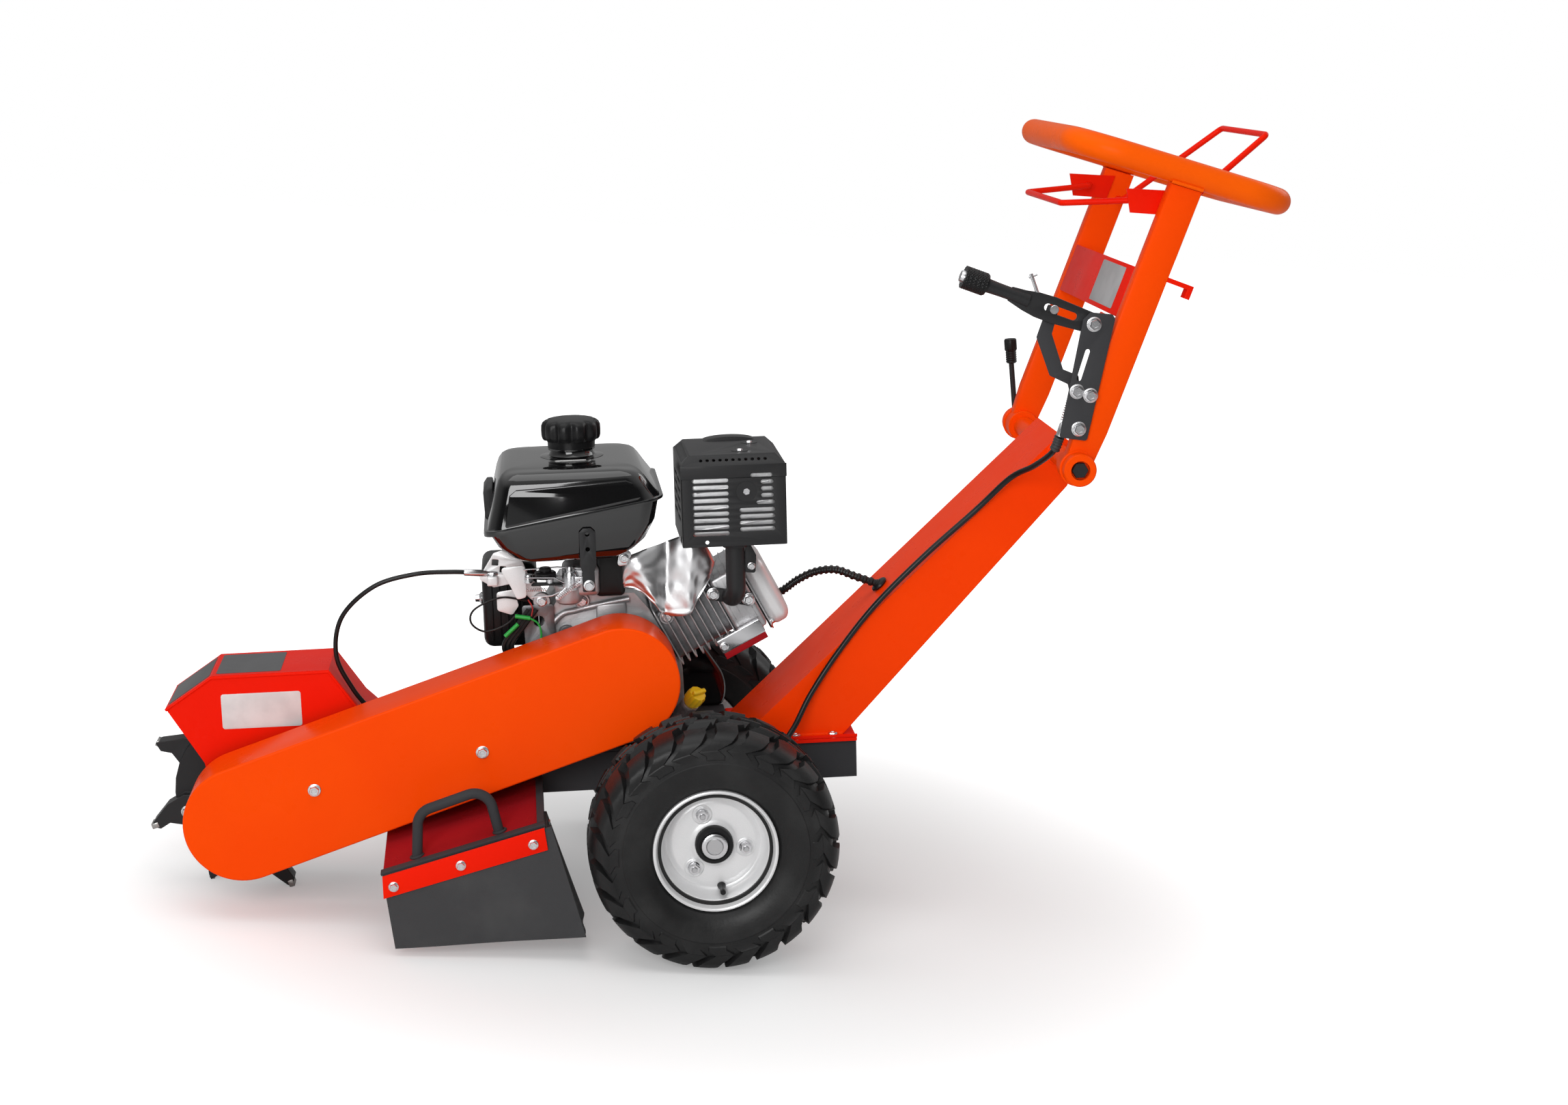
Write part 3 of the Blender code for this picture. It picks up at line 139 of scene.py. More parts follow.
class Value:
    """One output socket, with arithmetic."""

    def __init__(self, nodes, socket):
        self.nodes, self.socket = nodes, socket

    __add__, __radd__ = operator("ADD"), operator("ADD", True)
    __sub__, __rsub__ = operator("SUBTRACT"), operator("SUBTRACT", True)
    __mul__, __rmul__ = operator("MULTIPLY"), operator("MULTIPLY", True)


class Nodes:
    """A node tree that makes any node from its type, its settings and its inputs."""

    def __init__(self, tree):
        self.tree = tree

    def node(self, kind, settings=None, inputs=None, output=0):
        made = self.tree.nodes.new(kind)
        for key, value in (settings or {}).items():
            setattr(made, key, value)
        for key, value in (inputs or {}).items():
            if isinstance(value, Value):
                self.tree.links.new(value.socket, made.inputs[key])
            else:
                made.inputs[key].default_value = value
        return Value(self, made.outputs[output])

    def ramp(self, value, low, high, first=0.0, last=1.0):
        """Goes smoothly from first to last as the value goes from low to high."""
        settings = {"clamp": True, "interpolation_type": "SMOOTHSTEP"}
        inputs = {"Value": value, "From Min": low, "From Max": high, "To Min": first, "To Max": last}
        return self.node("ShaderNodeMapRange", settings, inputs)


class Finish(Nodes):
    """A material whose principled shader is filled in by keyword."""

    def __init__(self, name, colour, roughness, metallic=0.0, coat=0.0, specular=0.5):
        self.material = bpy.data.materials.new(name)
        self.material.use_nodes = True
        super().__init__(self.material.node_tree)
        self.shader = self.tree.nodes["Principled BSDF"]
        self.material.diffuse_color = (*colour, 1)
        self.set("Base Color", (*colour, 1))
        self.set("Roughness", roughness)
        self.set("Metallic", metallic)
        self.set("Coat Weight", coat)
        self.shader.inputs["Coat Roughness"].default_value = 0.06
        self.shader.inputs["Specular IOR Level"].default_value = specular

    def set(self, socket, value):
        target = self.shader.inputs[socket]
        if isinstance(value, Value):
            self.tree.links.new(value.socket, target)
        else:
            target.default_value = value

    def place(self):
        return self.node("ShaderNodeTexCoord", output="Object")

    def noise(self, scale, detail=2.0, stretch=(1, 1, 1)):
        where = self.node("ShaderNodeMapping", inputs={"Vector": self.place(), "Scale": stretch})
        return self.node("ShaderNodeTexNoise", inputs={"Vector": where, "Scale": scale, "Detail": detail})

    def cells(self, scale, feature="F1"):
        return self.node("ShaderNodeTexVoronoi", {"feature": feature},
            {"Vector": self.place(), "Scale": scale})

    def blend(self, amount, first, second):
        colours = {6: (*first, 1), 7: (*second, 1)}
        return self.node("ShaderNodeMix", {"data_type": "RGBA"}, {0: amount, **colours}, output=2)

    def bump(self, height, strength, distance):
        inputs = {"Height": height, "Strength": strength, "Distance": distance}
        self.set("Normal", self.node("ShaderNodeBump", inputs=inputs))


# %% [markdown]
# ## Finishes
#
# Powder coat is smooth plastic-like paint with a faint orange-peel ripple, so it gets a fine bump and
# hardly any shine.  Cast metal is grainy, plated steel is brushed by its tumbling, and rubber greys with
# dust in slow patches.  Every pattern reads object coordinates, in metres, so its grain has a real size.

# %% Paints
def powder_coat(name, colour, shade, roughness=0.3):
    """Two near shades over a slow noise, under an orange-peel ripple a few millimetres long."""
    paint = Finish(name, colour, roughness, coat=0.0, specular=0.04)
    paint.set("Base Color", paint.blend(paint.ramp(paint.noise(3.5, 3), 0.35, 0.65), colour, shade))
    paint.set("Roughness", paint.ramp(paint.noise(18, 4), 0.2, 0.8) * 0.1 + (roughness - 0.05))
    paint.bump(paint.noise(420, 1), 0.12, 0.0006)
    return paint.material


ORANGE = powder_coat("orange_powder_coat", (0.95, 0.07, 0.001), (0.93, 0.062, 0.001))
LOOP_ORANGE = powder_coat("grip_orange", (0.95, 0.12, 0.002), (0.94, 0.105, 0.002), 0.3)
RED = powder_coat("red_powder_coat", (0.86, 0.014, 0.002), (0.82, 0.011, 0.002))
# a slightly darker, redder copy of the orange for the column and its welds, matched to the column's less lit
# side: painted shade
COLUMN_ORANGE_PAINTED_SHADE = powder_coat("column_coat_painted_shade", (0.96, 0.052, 0.001), (0.94, 0.046, 0.001))
# a darker copy of the red for the chute roof and the deflector's skirt: painted shade on red paint
RED_PAINTED_SHADE = powder_coat("shaded_red_coat", (0.33, 0.01, 0.014), (0.27, 0.008, 0.012))
DARK = powder_coat("dark_grey_coat", (0.052, 0.052, 0.055), (0.042, 0.042, 0.045), 0.42)


def enamel(name, colour, roughness, peel, coat=0.05, specular=0.2):
    """A dark enamel with slow waves in its gloss."""
    paint = Finish(name, colour, roughness, coat=coat, specular=specular)
    paint.set("Roughness", paint.ramp(paint.noise(9, 3), 0.2, 0.8) * 0.06 + (roughness - 0.03))
    paint.bump(paint.noise(260, 1), peel, 0.0004)
    return paint.material


GLOSS_BLACK = enamel("gloss_black_enamel", (0.0035, 0.0035, 0.0038), 0.08, 0.03, 0.8, 0.45)
SATIN_BLACK = enamel("satin_black_enamel", (0.022, 0.022, 0.023), 0.42, 0.2)
MOULDED_BLACK = enamel("moulded_black_plastic", (0.009, 0.009, 0.0095), 0.34, 0.22)


# %% Metals
def cast_metal(name, colour, dark, grain):
    """A sand-cast skin: grey blotches and a fine pebbled bump."""
    metal = Finish(name, colour, 0.42, 0.75)
    metal.set("Base Color", metal.blend(metal.ramp(metal.noise(26, 5), 0.3, 0.7), colour, dark))
    metal.set("Roughness", metal.ramp(metal.noise(60, 4), 0.2, 0.8) * 0.22 + 0.3)
    metal.bump(metal.noise(grain, 3), 0.25, 0.0008)
    return metal.material


def bright_metal(name, colour, roughness, streak):
    """Plated or polished sheet, streaked along X as it was rolled."""
    metal = Finish(name, colour, roughness, 1.0)
    streaks = metal.noise(40, 4, (0.15, 2.2, 2.2))
    metal.set("Roughness", metal.ramp(streaks, 0.2, 0.8) * streak + roughness)
    metal.bump(metal.noise(700, 1), 0.05, 0.0003)
    return metal.material


CAST = cast_metal("cast_aluminium_skin", (0.6, 0.6, 0.61), (0.43, 0.43, 0.44), 500)
# a darker copy of the casting for the barrel, a plug and a bracket: painted shade
CAST_PAINTED_SHADE = cast_metal("shaded_casting", (0.26, 0.26, 0.27), (0.15, 0.15, 0.155), 500)
PLATED = bright_metal("zinc_plate", (0.72, 0.72, 0.735), 0.2, 0.14)
CHROME = bright_metal("polished_sheet", (0.78, 0.78, 0.79), 0.27, 0.06)
SHAFT = bright_metal("turned_steel", (0.56, 0.56, 0.57), 0.24, 0.12)
ALUMINISED = cast_metal("aluminised_sheet", (0.92, 0.92, 0.93), (0.8, 0.8, 0.81), 300)
CARBIDE = bright_metal("carbide_tip", (0.42, 0.415, 0.4), 0.3, 0.1)


def silver_paint():
    """Aluminium flake in lacquer: a metallic grey with a sparkle too small to see one by one."""
    paint = Finish("silver_lacquer", (0.8, 0.8, 0.805), 0.34, 0.3, 0.3)
    flake = paint.ramp(paint.cells(1400), 0.1, 0.6)
    paint.set("Base Color", paint.blend(flake, (0.86, 0.86, 0.865), (0.77, 0.77, 0.775)))
    paint.bump(paint.noise(300, 2), 0.08, 0.0005)
    return paint.material


SILVER = silver_paint()


# %% Rubber, plastic and labels
def rubber(name, colour, dust, roughness, grain, strength):
    """Black rubber, greyer where dust has settled, with a moulded grain."""
    skin = Finish(name, colour, roughness, specular=0.3)
    settled = skin.ramp(skin.noise(14, 5), 0.42, 0.78)
    skin.set("Base Color", skin.blend(settled, colour, dust))
    skin.set("Roughness", settled * 0.18 + (roughness - 0.06))
    skin.bump(skin.noise(grain, 3), strength, 0.0008)
    return skin.material


TREAD = rubber("tyre_tread", (0.0085, 0.0085, 0.0088), (0.02, 0.02, 0.02), 0.46, 240, 0.3)
SIDEWALL = rubber("tyre_sidewall", (0.01, 0.01, 0.0103), (0.018, 0.018, 0.018), 0.4, 380, 0.14)
FLAP = rubber("flap_sheet", (0.04, 0.04, 0.042), (0.055, 0.055, 0.056), 0.62, 520, 0.35)
BELT = rubber("belt_cloth", (0.016, 0.016, 0.016), (0.03, 0.03, 0.029), 0.75, 900, 0.5)
SHEATH = rubber("cable_sheath_skin", (0.008, 0.008, 0.008), (0.014, 0.014, 0.014), 0.34, 600, 0.08)


def plain(name, colour, roughness, grain=500, strength=0.08, coat=0.0):
    """A moulded plastic or a film: one colour, slightly mottled, with a fine grain."""
    skin = Finish(name, colour, roughness, coat=coat)
    darker = tuple(c * 0.88 for c in colour)
    skin.set("Base Color", skin.blend(skin.ramp(skin.noise(30, 3), 0.35, 0.65), colour, darker))
    skin.bump(skin.noise(grain, 2), strength, 0.0004)
    return skin.material


YELLOW = plain("yellow_moulding", (0.87, 0.56, 0.01), 0.35)
GREEN = plain("green_sleeve", (0.02, 0.42, 0.06), 0.35)
RED_WIRE = plain("red_wire", (0.42, 0.02, 0.015), 0.4)
LABEL_GREY = plain("grey_label_film", (0.43, 0.435, 0.44), 0.42)
LABEL_DARK = plain("dark_label_film", (0.075, 0.075, 0.078), 0.38)
LABEL_WHITE = plain("white_label_film", (0.7, 0.7, 0.695), 0.4)
# also the black film on the recoil cover's slots: painted shade where the openings are
GASKET_AND_SLOT_SHADE = plain("gasket_card_and_painted_slot_shade", (0.02, 0.02, 0.02), 0.7)
BRASS = bright_metal("brass_fitting", (0.62, 0.4, 0.13), 0.25, 0.1)


# %% [markdown]
# ## Surfaces from arrays
#
# Three shapes make most of a machine.  A *grid* is any function of two parameters.  A *tube* carries a
# circle along a path.  A *turned* piece carries a profile round an axis.  Each is one array expression,
# and the faces between neighbouring rows come from the row numbers alone.

# %% Meshes from numpy
def finished(name, points, faces, material, body, smooth=35.0):
    """Makes an object at the origin from level points, which it parks, and lets it ride on a body."""
    mesh = bpy.data.meshes.new(name)
    mesh.from_pydata(park(points).tolist(), [], [list(map(int, face)) for face in faces])
    mesh.validate()
    mesh.materials.append(material)
    made = bpy.data.objects.new(name, mesh)
    bpy.context.scene.collection.objects.link(made)
    mesh.shade_smooth()
    mesh.set_sharp_from_angle(angle=radians(smooth))
    if body:
        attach(made, body)
    return made


def grid_faces(rows, columns, wrap_rows, wrap_columns, start=0):
    """Quads between neighbours of a rows x columns grid, numbered row by row."""
    i, j = np.meshgrid(np.arange(rows - (not wrap_rows)), np.arange(columns - (not wrap_columns)),
        indexing="ij")
    below, beside = (i + 1) % rows, (j + 1) % columns
    quads = np.stack([i * columns + j, i * columns + beside, below * columns + beside, below * columns + j],
        -1)
    return (quads.reshape(-1, 4) + start).tolist()


def facing_out(made):
    """Merges doubles and turns every face outwards."""
    form = bmesh.new()
    form.from_mesh(made.data)
    bmesh.ops.remove_doubles(form, verts=form.verts, dist=1e-6)
    bmesh.ops.recalc_face_normals(form, faces=form.faces)
    form.to_mesh(made.data)
    form.free()
    return made


def grid(name, points, material, body, wrap_rows=False, wrap_columns=False, caps=False, smooth=35.0):
    """A surface through a rows x columns x 3 array; caps close its first and last rows."""
    rows, columns = points.shape[:2]
    faces = grid_faces(rows, columns, wrap_rows, wrap_columns)
    if caps:
        faces.append(list(range(columns))[::-1])
        faces.append(list(range((rows - 1) * columns, rows * columns)))
    return facing_out(finished(name, points.reshape(-1, 3), faces, material, body, smooth))


def unit(vectors):
    return vectors / np.linalg.norm(vectors, axis=-1, keepdims=True)


def tube_points(path, radius, sides=16, closed=False, side_hint=(0, 1, 0)):
    """Rings round a path: each ring stands square to the path, turned so that it never twists."""
    path = np.asarray(path, float)
    if closed:
        along = np.roll(path, -1, 0) - np.roll(path, 1, 0)
    else:
        along = np.gradient(path, axis=0)
    along = unit(along)
    hint = np.broadcast_to(np.asarray(side_hint, float), along.shape)
    across = unit(np.cross(along, hint))
    over = np.cross(along, across)
    turn = np.linspace(0, 2 * pi, sides, endpoint=False)
    radius = np.broadcast_to(radius, len(path))[:, None, None]
    ring = across[:, None] * np.cos(turn)[None, :, None] + over[:, None] * np.sin(turn)[None, :, None]
    return path[:, None] + ring * radius


def tube(name, path, radius, material, body, sides=16, closed=False, side_hint=(0, 1, 0)):
    points = tube_points(path, radius, sides, closed, side_hint)
    return grid(name, points, material, body, closed, True, not closed)


def curve_through(points, count):
    """A Catmull-Rom curve: between two points it leans on their outer neighbours."""
    points = np.asarray(points, float)
    ends = np.vstack([2 * points[0] - points[1], points, 2 * points[-1] - points[-2]])
    t = np.linspace(0, len(points) - 1, count)
    i = np.minimum(t.astype(int), len(points) - 2)
    f = (t - i)[:, None]
    a, b, c, d = (ends[i + k] for k in range(4))
    return (2 * b + (c - a) * f + (2 * a - 5 * b + 4 * c - d) * f ** 2 + (3 * b - a - 3 * c + d) * f ** 3) / 2


def rounded_path(points, radius, steps=10, closed=False):
    """Corners replaced by arcs that touch both sides."""
    points = np.asarray(points, float)
    count, made = len(points), []
    for i, corner in enumerate(points):
        if not closed and i in (0, count - 1):
            made.append(corner[None])
            continue
        before, after = unit(points[i - 1] - corner), unit(points[(i + 1) % count] - corner)
        half = np.arccos(np.clip(before @ after, -1, 1)) / 2
        centre = corner + unit(before + after) * radius / np.sin(half)
        reach = radius / np.tan(half)
        first, last = corner + before * reach - centre, corner + after * reach - centre
        swing = pi - 2 * half
        share = np.linspace(0, 1, steps + 1)[:, None]
        arc = (first * np.sin((1 - share) * swing) + last * np.sin(share * swing)) / np.sin(swing)
        made.append(centre + arc)
    return np.vstack(made)


def turned_points(profile, centre, axis, sides=48, start=0.0):
    """A (radius, height) profile carried round an axis through a centre."""
    profile = np.asarray(profile, float)
    axis = unit(np.asarray(axis, float))
    hint = np.array([0, 0, 1.0]) if abs(axis[2]) < 0.9 else np.array([1.0, 0, 0])
    across = unit(np.cross(axis, hint))
    over = np.cross(axis, across)
    turn = start + np.linspace(0, 2 * pi, sides, endpoint=False)
    ring = across * np.cos(turn)[:, None] + over * np.sin(turn)[:, None]
    return np.asarray(centre) + profile[:, None, :1] * ring[None] + profile[:, None, 1:] * axis


def turned(name, profile, centre, axis, material, body, sides=48, closed=False, smooth=35.0, start=0.0):
    points = turned_points(profile, centre, axis, sides, start)
    return grid(name, points, material, body, closed, True, not closed, smooth)


# %% [markdown]
# ## Sheet and plate
#
# Laser-cut plate is an outline with holes in it, given a thickness and a small rounding on its edges.
# Blender's flat curves fill outlines with holes and round them in one step, so they are used for every
# plate, and turned into a mesh at once.

# %% Plates
def circle(centre, radius, sides=32):
    turn = np.linspace(0, 2 * pi, sides, endpoint=False)
    return np.column_stack([centre[0] + radius * np.cos(turn), centre[1] + radius * np.sin(turn)])


def pill(first, second, first_radius, second_radius, steps=24):
    """The outline of a belt round two circles."""
    first, second = np.asarray(first, float), np.asarray(second, float)
    run = atan2(*(second - first)[::-1])
    spread = np.arcsin((first_radius - second_radius) / np.linalg.norm(second - first))
    one = np.linspace(run + pi / 2 - spread, run + 1.5 * pi + spread, steps + 1)
    two = np.linspace(run - pi / 2 + spread, run + pi / 2 - spread, steps + 1)
    return np.vstack([first + first_radius * np.column_stack([np.cos(one), np.sin(one)]),
        second + second_radius * np.column_stack([np.cos(two), np.sin(two)])])


def rounded_outline(points, radius, steps=5):
    points = np.asarray(points, float)
    flat = np.column_stack([points, np.zeros(len(points))])
    return rounded_path(flat, radius, steps, closed=True)[:, :2]


# rows of a view: where the outline's first number, its second, and its depth point
FROM_NEAR = np.array([[1, 0, 0], [0, 0, 1], [0, 1, 0]], float)
FROM_ABOVE = np.array([[1, 0, 0], [0, 1, 0], [0, 0, 1]], float)


def plate(name, outline, low, high, material, body, holes=(), edge=0.0006, view=FROM_NEAR, origin=(0, 0, 0),
        smooth=30.0):
    """An outline, with holes, from depth low to depth high along the view's third row."""
    curve = bpy.data.curves.new(name, "CURVE")
    curve.dimensions = "2D"
    curve.fill_mode = "BOTH"
    curve.extrude = (high - low) / 2 - edge
    curve.bevel_depth = edge
    curve.offset = -edge
    curve.bevel_resolution = 1
    for ring in (outline, *holes):
        spline = curve.splines.new("POLY")
        spline.points.add(len(ring) - 1)
        flat = np.column_stack([ring, np.zeros(len(ring)), np.ones(len(ring))])
        spline.points.foreach_set("co", flat.ravel())
        spline.use_cyclic_u = True
    shape = bpy.data.objects.new(name, curve)
    bpy.context.scene.collection.objects.link(shape)
    bpy.context.view_layer.update()
    mesh = bpy.data.meshes.new_from_object(shape.evaluated_get(bpy.context.evaluated_depsgraph_get()))
    bpy.data.objects.remove(shape, do_unlink=True)
    points = np.empty(len(mesh.vertices) * 3)
    mesh.vertices.foreach_get("co", points)
    points = points.reshape(-1, 3) + (0, 0, (low + high) / 2)
    faces = [list(face.vertices) for face in mesh.polygons]
    points = points @ np.asarray(view, float) + origin
    return facing_out(finished(name, points, faces, material, body, smooth))


def sheet(name, outline, low_y, high_y, material, body, holes=(), edge=0.0006, smooth=30.0):
    """A plate seen from the near side: its outline is (x, z), its depth is y."""
    return plate(name, outline, low_y, high_y, material, body, holes, edge, FROM_NEAR, smooth=smooth)


# %% [markdown]
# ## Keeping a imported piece, with its edges eased
#
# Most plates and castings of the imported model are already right.  A copy with its edges rounded by a
# Bevel modifier catches the light as folded or cast metal does, which a knife-sharp corner never does.

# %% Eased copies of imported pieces
def eased(node, width, material, body, segments=3, smooth=32.0, angle=28.0):
    """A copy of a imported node, its flat faces merged and its edges rounded."""
    source = frame["nodes"][node]
    mesh = source.data.copy()
    form = bmesh.new()
    form.from_mesh(mesh)
    bmesh.ops.remove_doubles(form, verts=form.verts, dist=1e-5)
    bmesh.ops.dissolve_limit(form, angle_limit=radians(1), verts=form.verts, edges=form.edges)
    form.to_mesh(mesh)
    form.free()
    made = bpy.data.objects.new("eased_" + node, mesh)
    bpy.context.scene.collection.objects.link(made)
    mesh.transform(source.matrix_world)
    mesh.materials.clear()
    mesh.materials.append(material)
    mesh.shade_smooth()
    mesh.set_sharp_from_angle(angle=radians(smooth))
    bevel = made.modifiers.new("edges", "BEVEL")
    bevel.width = width
    bevel.segments = segments
    bevel.limit_method = "ANGLE"
    bevel.angle_limit = radians(angle)
    bevel.harden_normals = False
    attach(made, body)
    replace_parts(made, node)
    return made


# %% [markdown]
# ## Bolts
#
# A flange bolt is a hexagon with a chamfered top on a round flange.  Every bolt on the machine is the same
# profile at another size, turned six-sided, so one function makes them all.

# %% Hexagon flange bolts
def bolt(name, head, out, body, across=0.013, height=0.0065, flange=0.0, material=None):
    """A bolt whose seat lies at head and whose head stands out along a direction."""
    material = material or PLATED
    out = unit(np.asarray(out, float))
    corner = across / np.sqrt(3)
    flange = flange or corner * 1.3
    washer = [(0, 0), (flange, 0), (flange, 0.0009), (flange * 0.93, 0.0016), (corner * 0.9, 0.0022),
        (0, 0.0022)]
    hexagon = [(0, 0.0015), (corner, 0.0015), (corner, height - 0.0012), (corner * 0.9, height),
        (corner * 0.55, height), (corner * 0.48, height - 0.0006), (0, height - 0.0006)]
    seat = turned_points(washer, head, out, 24)
    top = turned_points(hexagon, head, out, 6, 0.3)
    points = np.vstack([seat.reshape(-1, 3), top.reshape(-1, 3)])
    faces = grid_faces(*seat.shape[:2], False, True)
    faces += grid_faces(*top.shape[:2], False, True, seat.shape[0] * seat.shape[1])
    return facing_out(finished(name, points, faces, material, body, 30))


NEAR = (0, -1, 0)
UP = (0, 0, 1)

# %% [markdown]
# ## Which slot each finish belongs to
#
# The imported record lists the machine's finishes as slots, and the table below ties every material here
# to its slot.

# %% Slots
SLOTS = {
    "orange_paint": (ORANGE, LOOP_ORANGE, COLUMN_ORANGE_PAINTED_SHADE),
    "red_paint": (RED, RED_PAINTED_SHADE, RED_WIRE),
    "dark_grey_paint": (DARK, LABEL_DARK),
    "black_gloss": (GLOSS_BLACK,),
    "satin_black_steel": (SATIN_BLACK, MOULDED_BLACK, GASKET_AND_SLOT_SHADE),
    "tyre_rubber": (TREAD, SIDEWALL),
    "flap_rubber": (FLAP,),
    "silver_paint": (SILVER, LABEL_GREY, LABEL_WHITE),
    "cast_aluminium": (CAST, CAST_PAINTED_SHADE),
    "plated_steel": (PLATED, SHAFT, CARBIDE, BRASS, ALUMINISED),
    "bright_shield": (CHROME,),
    "cable_sheath": (SHEATH, GREEN),
    "belt_rubber": (BELT,),
    "yellow_plastic": (YELLOW,),
}
SLOT_OF = {material.name: slot for slot, materials in SLOTS.items() for material in materials}

# %% [markdown]
# ## Floor, backdrop and light
#
# A studio floor is a pale sheet with large soft lamps round it.  Through Light Path, the sky looks white
# to the lens, gloss sees a studio of its own, and neither changes how the air lights the machine, so its
# colours stay as written.  The floor glows for the lens alone, a painted light that is least under the
# machine, so the floor round the machine is darkened by painted shade as well as by its real shadow.


# %% Studio
AIR_LIGHT = 0.42
FLOOR_REACH, FLOOR_GLOW, FLOOR_NEAR, FLOOR_FAR = 14.0, 0.22, 0.45, 1.6


def studio_floor():
    """A painted glow for the lens: low by the machine, a painted shade that lets its shadow show, high far
    off.
    """
    mesh = bpy.data.meshes.new("floor")
    corners = [(x * FLOOR_REACH, y * FLOOR_REACH, 0) for x, y in ((-1, -1), (1, -1), (1, 1), (-1, 1))]
    mesh.from_pydata(corners, [], [(0, 1, 2, 3)])
    floor = bpy.data.objects.new("floor", mesh)
    bpy.context.scene.collection.objects.link(floor)
    paper = Finish("floor_paper", (0.8, 0.8, 0.8), 0.9, specular=0.0)
    away = paper.node("ShaderNodeVectorMath", {"operation": "LENGTH"}, {0: paper.place()}, output=1)
    seen = paper.node("ShaderNodeLightPath", output=0)
    # the lens-only glow is painted light; its low value near the machine is painted shade
    glow = seen * paper.ramp(away, FLOOR_NEAR, FLOOR_FAR, FLOOR_GLOW, 1.0)
    paper.set("Emission Color", (1, 1, 1, 1))
    paper.set("Emission Strength", glow)
    mesh.materials.append(paper.material)


studio_floor()

world = bpy.data.worlds.new("studio_air")
bpy.context.scene.world = world
world.use_nodes = True
air = Nodes(world.node_tree)
background = world.node_tree.nodes["Background"]
background.inputs["Color"].default_value = (1, 1, 1, 1)
direction = air.node("ShaderNodeTexCoord", output="Generated")
toward_front = air.node("ShaderNodeSeparateXYZ", inputs={0: direction}, output="Y")
toward_top = air.node("ShaderNodeSeparateXYZ", inputs={0: direction}, output="Z")
lens, glossy, through = (air.node("ShaderNodeLightPath", output=name)
    for name in ("Is Camera Ray", "Is Glossy Ray", "Is Transmission Ray"))
# gloss sees light above, less of it behind the machine, and a dark studio behind the camera
studio = air.ramp(toward_front, -0.65, 0.05, 0.05, 0.3) + air.ramp(toward_top, 0.25, 0.75, 0.0, 0.55)
plain_air = (1 - glossy) * AIR_LIGHT + glossy * studio
shown = lens + through
level = (1 - shown) * plain_air + shown
world.node_tree.links.new(level.socket, background.inputs["Strength"])


def softbox(name, place, target, size, power):
    """A square lamp that faces a target."""
    lamp = bpy.data.lights.new(name, "AREA")
    lamp.shape = "RECTANGLE"
    lamp.size, lamp.size_y = size
    lamp.energy = power
    made = bpy.data.objects.new(name, lamp)
    made.location = place
    made.rotation_euler = (Vector(target) - Vector(place)).to_track_quat("-Z", "Y").to_euler()
    bpy.context.scene.collection.objects.link(made)
    return made


softbox("overhead_light", (-0.6, -0.7, 3.4), (0, 0, 0.4), (3.2, 2.4), 30)
softbox("front_light", (-1.6, -4.2, 1.9), (-0.1, 0, 0.5), (2.4, 2.2), 104)
softbox("rear_light", (2.6, 1.4, 2.4), (0.1, 0, 0.5), (1.6, 1.6), 14)
bpy.context.scene.view_settings.view_transform = "Standard"

# %% [markdown]
# ## Soft boxes
#
# Tanks, covers and moulded housings are boxes whose edges are rounded.  The surface is worked out like a
# globe: each direction out of the middle is carried to the corner it points at, and then out by the
# rounding radius, so the flat sides appear by themselves between the corners.

# %% Rounded boxes
def globe_box(half, radius, steps=5, taper=0.0):
    """rows x columns x 3 points: corner(direction) + radius * direction, about the origin."""
    half, radius = np.asarray(half, float), np.broadcast_to(radius, 3)
    quarter = np.linspace(0, pi / 2, steps + 1)
    turn = np.concatenate([quarter + pi / 2 * k for k in range(4)])
    turn_x = np.repeat([1, -1, -1, 1], steps + 1)
    turn_y = np.repeat([1, 1, -1, -1], steps + 1)
    rise = np.concatenate([quarter - pi / 2, quarter])
    rise_z = np.repeat([-1, 1], steps + 1)
    out = np.stack(np.broadcast_arrays(np.cos(rise)[:, None] * np.cos(turn),
        np.cos(rise)[:, None] * np.sin(turn), np.sin(rise)[:, None]), -1)
    corner = np.stack(np.broadcast_arrays(turn_x[None], turn_y[None], rise_z[:, None]), -1)
    points = corner * (half - radius) + out * radius
    points[..., :2] *= 1 - taper * (0.5 - points[..., 2:] / (2 * half[2]))
    return points


def soft_box(name, low, high, radius, material, body, steps=5, axes=None, taper=0.0, smooth=40.0):
    """A rounded box between two corners, or about a centre with its own axes as rows."""
    low, high = np.asarray(low, float), np.asarray(high, float)
    points = globe_box((high - low) / 2, radius, steps, taper)
    points = points + (low + high) / 2
    if axes is not None:
        points = points @ np.asarray(axes[0], float) + axes[1]
    return grid(name, points, material, body, False, True, True, smooth)


# %% [markdown]
# ## Wheels
#
# Each wheel is a garden-tractor tyre on a pressed steel rim.  A real tread is moulded as long and short
# blocks that lean one way on the shoulder and the other way on the crown.  Here the tyre is one surface of
# two parameters, round the wheel and across the tread, and the rows are sheared to that lean before the
# blocks are raised, so that each block's edge runs exactly along a row.

